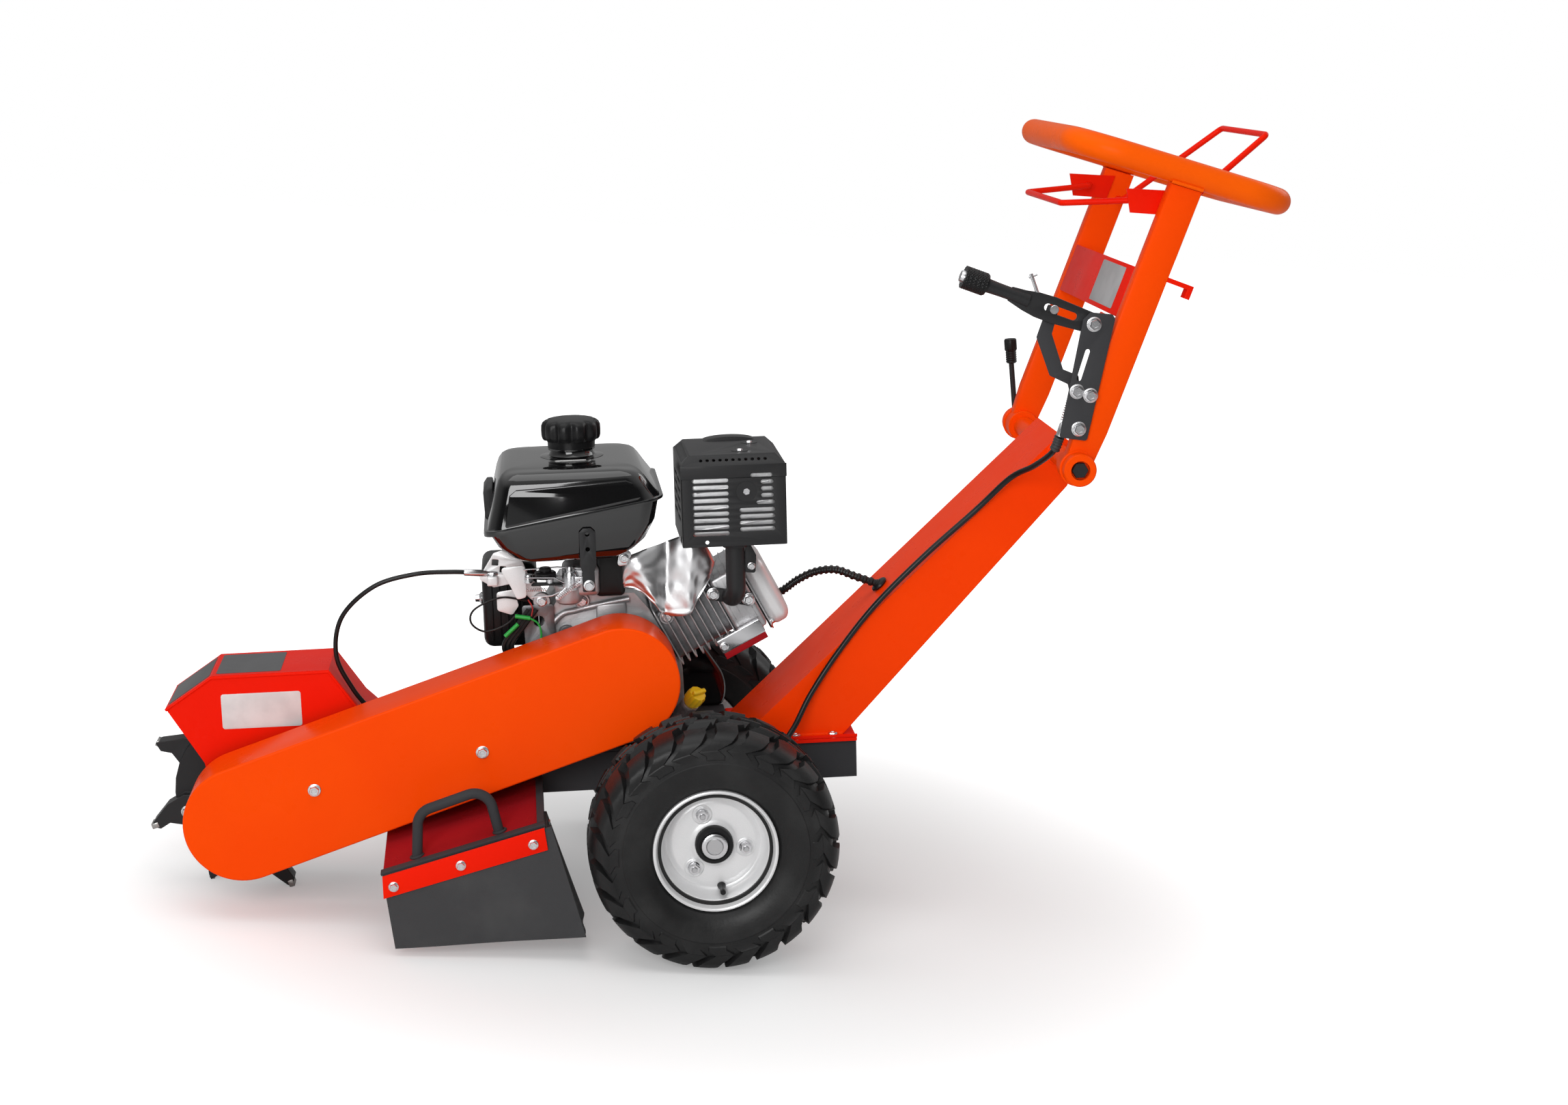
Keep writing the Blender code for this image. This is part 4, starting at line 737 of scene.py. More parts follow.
# %% Tyres
TREAD_PITCHES = 12
HALF_TYRE, TYRE_RADIUS = 0.0725, 0.1812
SHORT_BLOCK_START = 0.149
CROWN_GROOVE_Y = 0.03
RIDGE_RADIUS, RIDGE_HEIGHT = 0.1317, 0.0008
CARCASS = np.array([  # radius and half-width, from the bead out to the middle of the tread
    (0.0775, 0.052), (0.0885, 0.052), (0.0915, 0.0568), (0.096, 0.062), (0.104, 0.0668), (0.114, 0.0702),
    (0.124, 0.0718), (0.1296, 0.0722), (0.131, 0.0725), (0.1324, 0.0725), (0.1338, 0.0716), (0.1375, 0.0712),
    (0.1392, 0.071), (0.144, 0.0704), (0.15, 0.0693), (0.1516, 0.0688), (0.156, 0.0674), (0.16, 0.065),
    (0.1612, 0.064), (0.164, 0.0606), (0.1668, 0.054), (0.1676, 0.05), (0.169, 0.041), (0.1698, 0.03),
    (0.1702, 0.021), (0.1703, 0.0195), (0.1705, 0.011), (0.1706, 0.006), (0.1706, 0.004), (0.1706, 0.0)])
# how far a block stands out at each of those places, from the side of the tyre to its crown
BLOCK_HEIGHT = np.array([0, 0, 0, 0, 0, 0, 0, 0, 0.0008, 0.0008, 0, 0, 0.003, 0.0048, 0.0048, 0.003, 0.0058,
    0.0074, 0.008, 0.0088, 0.009, 0.0094, 0.01, 0.0103, 0.0103, 0.004, 0.0103, 0.0103, 0.002, 0.002])


def tyre(name, centre_y, facing, body):
    """point(turn, place) = carcass(place) + block(turn, place) * outward normal of the carcass."""
    half = np.vstack([CARCASS, CARCASS[-2::-1] * (1, -1)])
    height = np.concatenate([BLOCK_HEIGHT, BLOCK_HEIGHT[-2::-1]])
    across = half[:, 1] / HALF_TYRE
    tangent = unit(np.gradient(half, axis=0))
    normal = np.column_stack([-tangent[:, 1], tangent[:, 0]])
    # one pitch of the tread, as shares: groove, long block, groove, short block
    share = np.array([0.0, 0.045, 0.085, 0.1, 0.2, 0.33, 0.43, 0.445, 0.5, 0.585, 0.6, 0.72, 0.83, 0.93,
        0.945])
    long_block = (share > 0.09) & (share < 0.44)
    short_block = (share > 0.59) & (share < 0.94)
    step = 2 * pi / TREAD_PITCHES
    turn = (np.arange(TREAD_PITCHES)[:, None] + share).ravel() * step
    # the blocks lean one way on the shoulder and the other way on the crown, which bends them like a flash
    lean = np.interp(half[:, 0], [0.1375, 0.144, 0.1516, 0.1612, 0.1668, 0.1698, 0.1706],
        [0, 0, -0.13, 0.12, 0.2, 0.2, 0.42])
    angle = turn[:, None] + (step * (lean + 0.3 * (across < 0)))[None] * facing
    short_height = np.where(half[:, 0] < SHORT_BLOCK_START, 0, height)
    crown_groove = np.abs(np.abs(half[:, 1]) - CROWN_GROOVE_Y) < 0.001
    lift = (np.tile(long_block, TREAD_PITCHES)[:, None] * height[None]
        + np.tile(short_block, TREAD_PITCHES)[:, None] * np.where(crown_groove, 0, short_height)[None])
    ring_ridge = (np.abs(half[:, 0] - RIDGE_RADIUS) < 0.001) * RIDGE_HEIGHT
    lift = np.maximum(lift, ring_ridge[None])
    radius = half[None, :, 0] + lift * normal[None, :, 0]
    out = half[None, :, 1] + lift * normal[None, :, 1]
    out = np.clip(out, -HALF_TYRE, HALF_TYRE)
    radius = np.minimum(radius, TYRE_RADIUS)
    points = np.stack([radius * np.cos(angle), centre_y - facing * out,
        WHEEL_RADIUS + radius * np.sin(angle)], -1)
    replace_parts(grid(name, points, TREAD, body, True, True, False, 28), name)


NUT_CIRCLE, VALVE_CIRCLE, VALVE_ANGLE = 0.046, 0.0655, radians(278)


def rim(name, centre_y, facing, body):
    """A pressed disc: stepped rings, a flat face, and a hub with its seal and nut."""
    front = [(0.0893, 0.052), (0.09, 0.056), (0.0893, 0.0598), (0.0872, 0.0606), (0.0852, 0.0596),
        (0.0838, 0.056), (0.0815, 0.05), (0.0782, 0.0478), (0.0764, 0.0462), (0.0752, 0.041), (0.0742, 0.03),
        (0.0728, 0.0215), (0.0705, 0.018), (0.0675, 0.0165), (0.064, 0.018), (0.0615, 0.0196), (0.058, 0.02),
        (0.042, 0.02), (0.035, 0.0196), (0.033, 0.0205), (0.029, 0.0222), (0.0276, 0.0222)]
    back = [(0.0276, 0.018), (0.058, 0.017), (0.07, 0.015), (0.0735, 0.008), (0.0735, -0.048),
        (0.083, -0.058), (0.0893, -0.0606), (0.0898, -0.056), (0.0858, -0.05), (0.0757, -0.048),
        (0.0757, 0.038), (0.0757, 0.043), (0.086, 0.052)]
    centre, axis = (0, centre_y, WHEEL_RADIUS), (0, facing, 0)
    disc = turned(name + "_disc", front + back, centre, axis, SILVER, body, 72, closed=True)
    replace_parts(disc, name + "_rim")
    hub = [(0.0125, 0.02), (0.0276, 0.02), (0.0276, 0.031), (0.0262, 0.0335), (0.0215, 0.034),
        (0.0208, 0.0325), (0.0185, 0.0325), (0.0178, 0.0345), (0.015, 0.035), (0.0125, 0.035)]
    turned(name + "_hub", hub, centre, axis, MOULDED_BLACK, body, 40, closed=True)
    sleeve = [(0.0131, -0.045), (0.0268, -0.045), (0.0268, 0.019), (0.0131, 0.019)]
    turned(name + "_sleeve", sleeve, centre, axis, DARK, body, 32, closed=True)
    for number, angle in enumerate((110, 350, 230)):
        seat = NUT_CIRCLE * spoke(radians(angle)) + (0, centre_y + facing * 0.02, WHEEL_RADIUS)
        dish = [(0, 0.0004), (0.0085, 0.0004), (0.0125, 0.0016), (0.014, 0.001), (0.0148, 0),
            (0.0148, -0.001), (0, -0.001)]
        turned(f"{name}_nut_seat_{number}", dish, seat, axis, SILVER, body, 28)
        bolt(f"{name}_nut_{number}", seat + np.array([0, facing * 0.0006, 0]), axis, body, 0.015, 0.0105,
            0.0092)
        stud = [(0, 0), (0.0042, 0), (0.0042, 0.0125), (0.0034, 0.0135), (0, 0.0135)]
        turned(f"{name}_stud_{number}", stud, seat, axis, SHAFT, body, 16)
    valve = [(0, 0), (0.0062, 0), (0.0058, 0.006), (0.004, 0.009), (0.0036, 0.025), (0.0041, 0.0255),
        (0.0041, 0.033), (0.0034, 0.0345), (0, 0.0345)]
    spot = VALVE_CIRCLE * spoke(VALVE_ANGLE) + (0, centre_y + facing * 0.0165, WHEEL_RADIUS)
    turned(name + "_valve", valve, spot, (0, facing, 0), MOULDED_BLACK, body, 18)


for side, centre_y, facing in (("near_wheel", -0.27, -1), ("far_wheel", 0.305, 1)):
    tyre(side + "_tyre", centre_y, facing, side)
    rim(side, centre_y, facing, side)

AXLE_PROFILE = [(0, -0.31), (0.011, -0.31), (0.0125, -0.3085), (0.0125, 0.3435), (0.011, 0.345), (0, 0.345)]
axle = turned("axle_bar", AXLE_PROFILE, (0, 0, WHEEL_RADIUS), (0, 1, 0), SHAFT, "chassis", 32)
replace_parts(axle, "axle")
for name, y, out in (("near_axle_collar", -0.3052, -1), ("far_axle_collar", 0.3402, 1)):
    collar = [(0.0126, 0), (0.0185, 0), (0.0185, 0.0025), (0.0165, 0.0035), (0.0126, 0.0035)]
    turned(name, collar, (0, y, WHEEL_RADIUS), (0, out, 0), PLATED, "chassis", 32, closed=True)
drum = [(0.0131, -0.045), (0.06, -0.045), (0.0612, -0.0462), (0.06, -0.0475), (0.06, -0.069), (0.059, -0.07),
    (0.056, -0.07), (0.056, -0.0505), (0.0131, -0.05)]
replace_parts(turned("brake_drum_casting", drum, (0, -0.27, WHEEL_RADIUS), (0, -1, 0), CAST, "near_wheel", 56,
    closed=True), "brake_drum")
eased("brake_band", 0.0008, DARK, "chassis")
print("wheels made")

# %% [markdown]
# ## Frame, deck and column
#
# The frame is welded from square tube and plate, then powder-coated.  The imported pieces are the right
# shape, so they are kept with their edges eased, and the tubes' open ends, welds and bolts are added.

# %% Frame and column
eased("frame", 0.0022, DARK, "chassis")
eased("engine_deck", 0.0012, DARK, "chassis")
eased("column_plate", 0.0014, RED, "chassis")
sheet("column_foot_flange", [(0.0503, 0.272), (0.2345, 0.272), (0.2345, 0.2765), (0.0503, 0.2765)], -0.1003,
    -0.0965, RED, "chassis", edge=0.0008)
for i, x in enumerate((0.085, 0.142, 0.198)):
    for side in (-1, 1):
        bolt(f"column_bolt_{i}_{'near' if side < 0 else 'far'}", (x, side * 0.0905, 0.2718), UP, "chassis",
            0.012, 0.007)
for i, x in enumerate((-0.21, -0.05)):
    for y in (-0.04, 0.1):
        bolt(f"engine_foot_bolt_{i}_{'near' if y < 0 else 'far'}", (x + (0.0 if i else -0.0265), y, 0.2718),
            UP, "chassis", 0.013, 0.0075)


def weld(name, path, radius, body, material=None):
    """A bead: a tube whose radius ripples as the pool was laid down in steps."""
    path = np.asarray(path, float)
    length = np.linalg.norm(np.diff(path, axis=0), axis=1).sum()
    count = max(12, int(length / 0.0012))
    share = np.linspace(0, 1, count)
    dense = np.column_stack([np.interp(share * (len(path) - 1), np.arange(len(path)), path[:, k])
        for k in range(3)])
    ripple = radius * (1 + 0.16 * np.abs(np.sin(np.arange(count) * 1.3)))
    return tube(name, dense, ripple, material or DARK, body, 8, side_hint=(0.3, 0.9, 0.31))


def round_weld(name, centre, y, bead_radius, radius, body, material):
    """A bead round a circle that faces the near side."""
    ring = np.linspace(0, 2 * pi, 49)
    path = np.column_stack([centre[0] + bead_radius * np.cos(ring), np.full(49, y),
        centre[1] + bead_radius * np.sin(ring)])
    return weld(name, path, radius, body, material)


weld("bulkhead_weld", [(-0.4417, -0.0908, 0.2075), (-0.4417, -0.0908, 0.265)], 0.0026, "chassis")
# the column takes the darker, redder orange copy: painted shade
eased("column", 0.0065, COLUMN_ORANGE_PAINTED_SHADE, "chassis", 4)
weld("column_near_weld", [(0.064, -0.083, 0.2735), (0.214, -0.083, 0.2735)], 0.0028, "chassis", COLUMN_ORANGE_PAINTED_SHADE)
weld("column_far_weld", [(0.064, 0.083, 0.2735), (0.214, 0.083, 0.2735)], 0.0028, "chassis", COLUMN_ORANGE_PAINTED_SHADE)
tube_end = [(0.0085, -0.178), (0.0155, -0.178), (0.0155, 0.178), (0.0085, 0.178)]
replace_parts(turned("pivot_tube_bar", tube_end, FOLD_CENTRE, (0, 1, 0), ORANGE, "chassis", 40, closed=True),
    "pivot_tube")
for side in (-1, 1):
    round_weld(f"pivot_weld_{'near' if side < 0 else 'far'}", FOLD_AXIS, side * 0.0832, 0.016, 0.0022,
        "chassis", COLUMN_ORANGE_PAINTED_SHADE)
COLUMN_SLOPE = unit(np.array([0.549 - 0.059, 0, 0.719 - 0.2722]))
COLUMN_FACE = np.array([-COLUMN_SLOPE[2], 0, COLUMN_SLOPE[0]])
grommet_place = np.array([0.285, 0.0, 0.4835]) - COLUMN_FACE * 0.002
grommet = [(0.005, 0), (0.0125, 0), (0.014, 0.0018), (0.013, 0.0042), (0.01, 0.0058), (0.0066, 0.0062),
    (0.005, 0.005)]
turned("column_grommet", grommet, grommet_place, COLUMN_FACE, MOULDED_BLACK, "chassis", 28, closed=True)
print("column slope:", round(degrees(atan2(COLUMN_SLOPE[2], COLUMN_SLOPE[0])), 1))

# %% [markdown]
# ## Cutter and its guard
#
# The cutter is a thick steel disc with carbide-tipped teeth bolted to alternate sides, spinning inside a
# welded red box.  Its teeth show under the box and at its open front.  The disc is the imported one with
# eased edges, a tip and two bolts on each tooth, and the box keeps its packed plates with eased edges
# and weld beads.

# %% Cutter and guard
eased("cutter_wheel", 0.001, SATIN_BLACK, "cutter")
TEETH = 8
for i in range(TEETH):
    turn = 2 * pi * (i + 0.5) / TEETH - LEAN
    side = 1 if i % 2 else -1
    out = spoke(turn)
    lead = np.array([-sin(turn), 0, cos(turn)])
    middle = np.array([CUTTER_AXIS[0], side * 0.013, CUTTER_AXIS[1]])
    tip_axes = (np.array([out, (0, 1, 0), lead]), middle + out * 0.156 + lead * 0.0005)
    soft_box(f"carbide_tip_{i}", (-0.0055, -0.013, -0.0042), (0.0055, 0.013, 0.0042), 0.0012, CARBIDE,
        "cutter", 2, tip_axes)
    for k, reach in enumerate((0.086, 0.104)):
        bolt(f"tooth_bolt_{i}_{k}", middle + out * reach + (0, side * 0.0122, 0) + lead * -0.004,
            (0, side, 0), "cutter", 0.0125, 0.0075)
eased("cutter_shaft", 0.0012, SHAFT, "cutter")
eased("cutter_pulley", 0.0006, CAST, "cutter")
eased("clutch_pulley", 0.0006, CAST, "crank")
eased("crankshaft", 0.001, SHAFT, "crank")
eased("drive_belt", 0.001, BELT, "chassis")
eased("belt_guard_back", 0.0005, DARK, "chassis")

GUARD_TOP = np.array([(-0.787, 0.362), (-0.718, 0.4075), (-0.547, 0.4085), (-0.505, 0.345), (-0.45, 0.29)])
eased("cutter_guard", 0.0014, RED, "chassis", 2)
for side, y in (("near", -0.0752), ("far", 0.0602)):
    rim_path = np.column_stack([GUARD_TOP[:, 0], np.full(5, y), GUARD_TOP[:, 1] - 0.003])
    weld(f"guard_{side}_weld", rim_path, 0.002, "chassis", RED)
for name in ("near", "far"):
    side = -1 if name == "near" else 1
    face = -0.075 if side < 0 else 0.06
    housing = [(0.0156, 0.0005), (0.029, 0.0005), (0.03, 0.007), (0.0296, 0.015), (0.0275, 0.019),
        (0.0225, 0.0195), (0.022, 0.018), (0.018, 0.018), (0.0172, 0.0195), (0.0156, 0.0195)]
    made = turned(name + "_bearing_housing", housing, (CUTTER_AXIS[0], face, CUTTER_AXIS[1]), (0, side, 0),
        CAST, "chassis", 44, closed=True)
    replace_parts(made, name + "_bearing")
    foot = pill((CUTTER_AXIS[0] - 0.03, CUTTER_AXIS[1]), (CUTTER_AXIS[0] + 0.03, CUTTER_AXIS[1]), 0.0093,
        0.0093, 8)
    low, high = sorted((face + side * 0.0003, face + side * 0.0072))
    sheet(name + "_bearing_foot", foot, low, high, CAST, "chassis", [circle(CUTTER_AXIS, 0.016)], 0.0012)
    for k, reach in enumerate((-0.0325, 0.0325)):
        bolt(f"{name}_bearing_bolt_{k}", (CUTTER_AXIS[0] + reach, face + side * 0.007, CUTTER_AXIS[1]),
            (0, side, 0), "chassis", 0.01, 0.0062)
print("cutter made")


# %% Blank stickers
def sticker(name, outline, depth, material, body, view=FROM_NEAR, origin=(0, 0, 0)):
    """A film 0.3 mm thick with rounded corners, lying on the surface at the given depth."""
    low, high = depth
    return plate(name, rounded_outline(outline, 0.004), low, high, material, body, (), 0.0001, view, origin)


def facet_view(first, second):
    """A view whose first number runs along a guard facet, whose second is y, and whose depth points out."""
    first, second = np.asarray(first, float), np.asarray(second, float)
    along = unit(np.array([second[0] - first[0], 0, second[1] - first[1]]))
    return np.array([along, (0, 1, 0), (-along[2], 0, along[0])]), np.array([first[0], 0, first[1]])


for number, (start, end, inset) in enumerate(((0, 1, 0.004), (1, 2, 0.006))):
    view, origin = facet_view(GUARD_TOP[start], GUARD_TOP[end])
    length = float(np.linalg.norm(GUARD_TOP[end] - GUARD_TOP[start]))
    outline = [(inset, -0.064), (length * (1 if start == 0 else 0.62) - inset, -0.064),
        (length * (1 if start == 0 else 0.62) - inset, 0.049), (inset, 0.049)]
    sticker(f"guard_top_sticker_{number}", outline, (0.0001, 0.0005), LABEL_DARK, "chassis", view, origin)
sticker("guard_side_sticker", [(-0.706, 0.326), (-0.59, 0.326), (-0.59, 0.379), (-0.706, 0.379)],
    (-0.0755, -0.0751), LABEL_WHITE, "chassis")
print("stickers left blank")

# %% [markdown]
# ## Belt guard
#
# The belt guard is a deep pan: an obround face with a wall folded and welded round it.  A wall of many
# small faces under smooth shading would smear the light over the flat face, so the face and the wall are
# one section carried round the obround: flat, a tight fold, then the wall, with the fold given its own rows.

# %% Belt guard
GUARD_RADIUS = 0.085
GUARD_FACE_Y, GUARD_BACK_Y = -0.19, -0.0915


def pan(name, ring_of, section, material, body, close_middle=True):
    """section: (distance in from the edge, depth) pairs, each one an outline given by ring_of(inset)."""
    rings = np.stack([np.insert(ring_of(inset), 1, depth, axis=1) for inset, depth in section])
    return grid(name, rings, material, body, False, True, close_middle, 30)


def guard_ring(inset):
    return pill(CUTTER_AXIS, BELT_GUARD_REAR, GUARD_RADIUS - inset, GUARD_RADIUS - inset, 40)


FOLD_RADIUS = 0.0028
bend = np.linspace(0, pi / 2, 6)
fold_rows = [(FOLD_RADIUS * (1 - sin(a)), GUARD_FACE_Y + FOLD_RADIUS * (1 - cos(a))) for a in bend[1:]]
section = [(0.0032, GUARD_FACE_Y), (FOLD_RADIUS, GUARD_FACE_Y), *fold_rows, (0, -0.14),
    (0, GUARD_BACK_Y - 0.0006), (0.0006, GUARD_BACK_Y), (0.002, GUARD_BACK_Y),
    (0.0025, GUARD_BACK_Y - 0.0006), (0.0025, GUARD_FACE_Y + 0.003), (0.004, GUARD_FACE_Y + 0.0025)]
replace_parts(pan("belt_guard_pan", guard_ring, section, ORANGE, "chassis"), "belt_guard")
for number, (x, z) in enumerate(((-0.568, 0.26), (-0.325, 0.304))):
    bolt(f"belt_guard_bolt_{number}", (x, GUARD_FACE_Y, z), NEAR, "chassis", 0.0128, 0.0075)
print("belt guard made")

# %% [markdown]
# ## Chip chute
#
# Chips leave under a small sloping roof beside the cutter.  It is folded sheet with a bent-tube grab bar,
# and two rubber flaps hang from it, the front one clamped under a strip with three bolts.  Sheets are
# plates of the right outline, the grab bar is a circle carried along a rounded path, and the flaps get
# the slight wave that hanging rubber takes.

# %% Chute
CHUTE_FRONT, CHUTE_REAR, CHUTE_EDGE_Y, CHUTE_FRONT_Z = -0.4706, -0.2405, -0.2955, 0.163
CHUTE_RISE = 0.02
CHUTE_SLOPE = radians(14.4)
CHUTE_INNER_Y = -0.0908


def chute_edge(x):
    return CHUTE_FRONT_Z + (x - CHUTE_FRONT) * np.tan(CHUTE_SLOPE)


roof_along = np.array([cos(CHUTE_SLOPE), 0, sin(CHUTE_SLOPE)])
roof_in = unit(np.array([0, CHUTE_INNER_Y - CHUTE_EDGE_Y, CHUTE_RISE]))
roof_view = np.array([roof_along, roof_in, unit(np.cross(roof_along, roof_in))])
roof_length = (CHUTE_REAR - CHUTE_FRONT) / cos(CHUTE_SLOPE)
roof_depth = float(np.hypot(CHUTE_INNER_Y - CHUTE_EDGE_Y, CHUTE_RISE))
roof_origin = np.array([CHUTE_FRONT, CHUTE_EDGE_Y, CHUTE_FRONT_Z])
roof_outline = [(0, 0), (roof_length, 0), (roof_length, roof_depth), (0, roof_depth)]
# the roof is the darker red copy: painted shade
roof = plate("chute_roof", roof_outline, -0.003, 0.0, RED_PAINTED_SHADE, "chassis", (), 0.0008, roof_view, roof_origin)
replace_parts(roof, "chip_chute")
lip = [(CHUTE_FRONT, chute_edge(CHUTE_FRONT) - 0.033), (CHUTE_REAR, chute_edge(CHUTE_REAR) - 0.033),
    (CHUTE_REAR, chute_edge(CHUTE_REAR) + 0.001), (CHUTE_FRONT, chute_edge(CHUTE_FRONT) + 0.001)]
sheet("chute_lip", lip, -0.2985, -0.295, DARK, "chassis", edge=0.0008)
edge_bar = [(-0.002, -0.004), (roof_length + 0.002, -0.004), (roof_length + 0.002, 0.01), (-0.002, 0.01)]
plate("chute_edge_bar", edge_bar, -0.0005, 0.004, DARK, "chassis", (), 0.001, roof_view, roof_origin)
rear_bar = [(roof_length - 0.01, 0.0), (roof_length + 0.001, 0.0), (roof_length + 0.001, roof_depth),
    (roof_length - 0.01, roof_depth)]
plate("chute_rear_bar", rear_bar, -0.0005, 0.0036, DARK, "chassis", (), 0.001, roof_view, roof_origin)
cheek = [(-0.2965, 0.11), (-0.205, 0.11), (-0.205, 0.224), (-0.2965, 0.218)]
FROM_REAR = np.array([[0, 1, 0], [0, 0, 1], [1, 0, 0]], float)
plate("chute_cheek", cheek, CHUTE_REAR - 0.004, CHUTE_REAR - 0.0005, DARK, "chassis", (), 0.0008, FROM_REAR)
GRAB_Y = -0.268
grab_path = rounded_path([(-0.4226, GRAB_Y, 0.172), (-0.418, GRAB_Y, 0.243), (-0.319, GRAB_Y, 0.274),
    (-0.304, GRAB_Y, 0.204)], 0.026, 14)
tube("chute_grab_bar", grab_path, 0.0075, DARK, "chassis", 22)
for name, foot in (("front", grab_path[0]), ("rear", grab_path[-1])):
    ring = np.linspace(0, 2 * pi, 25)
    seat_z = chute_edge(foot[0]) + 0.0034
    path = np.column_stack([foot[0] + 0.0082 * np.cos(ring), GRAB_Y + 0.0082 * np.sin(ring),
        seat_z + 0.0082 * np.cos(ring) * np.tan(CHUTE_SLOPE)])
    weld(f"grab_bar_{name}_weld", path, 0.002, "chassis")


def hanging(name, corners, wave_way, thickness, wave, material, body, node):
    """A mix of a top and a bottom edge, pushed out by a wave that grows downwards."""
    top_left, top_right, bottom_right, bottom_left = (np.asarray(c, float) for c in corners)
    across, down = np.meshgrid(np.linspace(0, 1, 41), np.linspace(0, 1, 25), indexing="ij")
    across, down = across[..., None], down[..., None]
    surface = ((1 - across) * ((1 - down) * top_left + down * bottom_left)
        + across * ((1 - down) * top_right + down * bottom_right))
    push = wave * down ** 2 * np.sin(across * 7.3 + 0.6) * np.array(wave_way)
    front, back = surface + push, surface + push + np.asarray(thickness)
    loop = np.concatenate([front, back[:, ::-1]], axis=1)
    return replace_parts(grid(name, loop, material, body, False, True, True, 30), node)


FLAP_Y = -0.2988
hanging("front_flap_sheet", [(-0.4706, FLAP_Y, 0.163), (-0.2305, FLAP_Y, 0.2222), (-0.1877, FLAP_Y, 0.0549),
    (-0.4582, FLAP_Y, 0.0541)], (0, -1, 0), (0, -0.0038, 0), 0.0012, FLAP, "chassis", "front_flap")
hanging("side_flap_sheet", [(-0.2402, -0.2945, 0.215), (-0.2402, -0.2052, 0.215), (-0.193, -0.2052, 0.056),
    (-0.193, -0.2945, 0.056)], (1, 0, 0), (0.0038, 0, 0), 0.0015, FLAP, "chassis", "side_flap")
clamp = [(CHUTE_FRONT, chute_edge(CHUTE_FRONT) - 0.033), (CHUTE_REAR + 0.004,
    chute_edge(CHUTE_REAR) - 0.033), (CHUTE_REAR, chute_edge(CHUTE_REAR)),
    (CHUTE_FRONT, chute_edge(CHUTE_FRONT))]
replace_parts(sheet("clamp_strip", clamp, -0.3061, -0.303, RED, "chassis", edge=0.0008), "flap_clamp_strip")
for number, (x, z) in enumerate(((-0.4555, 0.1475), (-0.36, 0.1735), (-0.257, 0.1985))):
    bolt(f"flap_bolt_{number}", (x, -0.306, z), NEAR, "chassis", 0.01, 0.0062)
for number, y in enumerate((-0.275, -0.225)):
    bolt(f"side_flap_bolt_{number}", (-0.2405 + 0.003, y, 0.203), (1, 0, 0), "chassis", 0.009, 0.006)
print("chute made")

# %% [markdown]
# ## Engine block, cylinder and fins
#
# The engine is a single-cylinder four-stroke whose cylinder slopes up at 27 degrees.  Its case is a sand
# casting, its fins are thin ribs of the same casting, and its side cover carries ribs and bolts.  The case
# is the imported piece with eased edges.  Each fin is its own thin plate, so that its rim catches light.

# %% Crankcase, cylinder and head
TILT = radians(27)
ALONG = np.array([cos(TILT), 0, sin(TILT)])
ACROSS = np.array([-sin(TILT), 0, cos(TILT)])
BARREL_AXES = np.array([ALONG, (0, 1, 0), ACROSS])


def on_barrel(along, y, across):
    return CRANK + ALONG * along + ACROSS * across + np.array([0, y, 0])


eased("crankcase", 0.0045, CAST, "chassis", 3)
cover_centre = np.array([-0.1226, 0, 0.3667])
cover_profile = [(0.084, -0.088), (0.088, -0.0888), (0.0905, -0.088), (0.0915, -0.0862), (0.0915, -0.0555),
    (0.0895, -0.055)]
rib_profile = [(0.06, -0.0884), (0.0612, -0.0905), (0.064, -0.0905), (0.0652, -0.0884)]
for number, profile in enumerate((cover_profile, rib_profile)):
    turned(f"side_cover_rib_{number}", profile, cover_centre, (0, 1, 0), CAST, "chassis", 64, closed=True)
for number, angle in enumerate((20, 62, 100, 138, 176, 232, 300)):
    out = spoke(radians(angle))
    seat = cover_centre + out * 0.0862 + (0, -0.086, 0)
    boss = [(0, 0), (0.0088, 0), (0.0088, -0.003), (0.008, -0.004), (0, -0.004)]
    turned(f"cover_boss_{number}", boss, seat, (0, 1, 0), CAST, "chassis", 24)
    bolt(f"cover_bolt_{number}", seat + (0, -0.004, 0), NEAR, "chassis", 0.0098, 0.0068)
for number, (angle, reach) in enumerate(((118, 0.052), (150, 0.07), (85, 0.05))):
    out = spoke(radians(angle))
    start, end = cover_centre + out * 0.066 + (0, -0.087, 0), cover_centre + out * 0.03 + (0, -0.087, 0)
    tube(f"cover_web_{number}", np.array([start, (start + end) / 2, end]), 0.003, CAST, "chassis", 10,
        side_hint=(0.1, 1, 0.1))
# the upper front of the case: a bolted boss, a cast rib and a breather pad
upper_boss = [(0, 0), (0.0165, 0), (0.0165, -0.006), (0.015, -0.008), (0, -0.008)]
for number, (x, z, size) in enumerate(((-0.23, 0.495, 0.8), (-0.17, 0.492, 0.7), (-0.045, 0.462, 0.7))):
    profile = [(r * size, h) for r, h in upper_boss]
    turned(f"case_boss_{number}", profile, (x, -0.0546, z), (0, 1, 0), CAST, "chassis", 28)
    bolt(f"case_bolt_{number}", (x, -0.0626, z), NEAR, "chassis", 0.011, 0.007)
rib_path = curve_through([(-0.238, -0.058, 0.43), (-0.205, -0.059, 0.47), (-0.18, -0.059, 0.478),
    (-0.14, -0.059, 0.486), (-0.1, -0.059, 0.492)], 24)
tube("case_rib", rib_path, 0.005, CAST, "chassis", 14)
soft_box("case_pad", (-0.15, -0.064, 0.455), (-0.105, -0.054, 0.488), 0.004, CAST, "chassis", 3)
turned("case_plug", [(0, 0), (0.012, 0), (0.012, -0.003), (0.009, -0.003), (0.009, -0.007), (0, -0.007)],
    (-0.195, -0.056, 0.445), (0, 1, 0), CAST_PAINTED_SHADE, "chassis", 24)

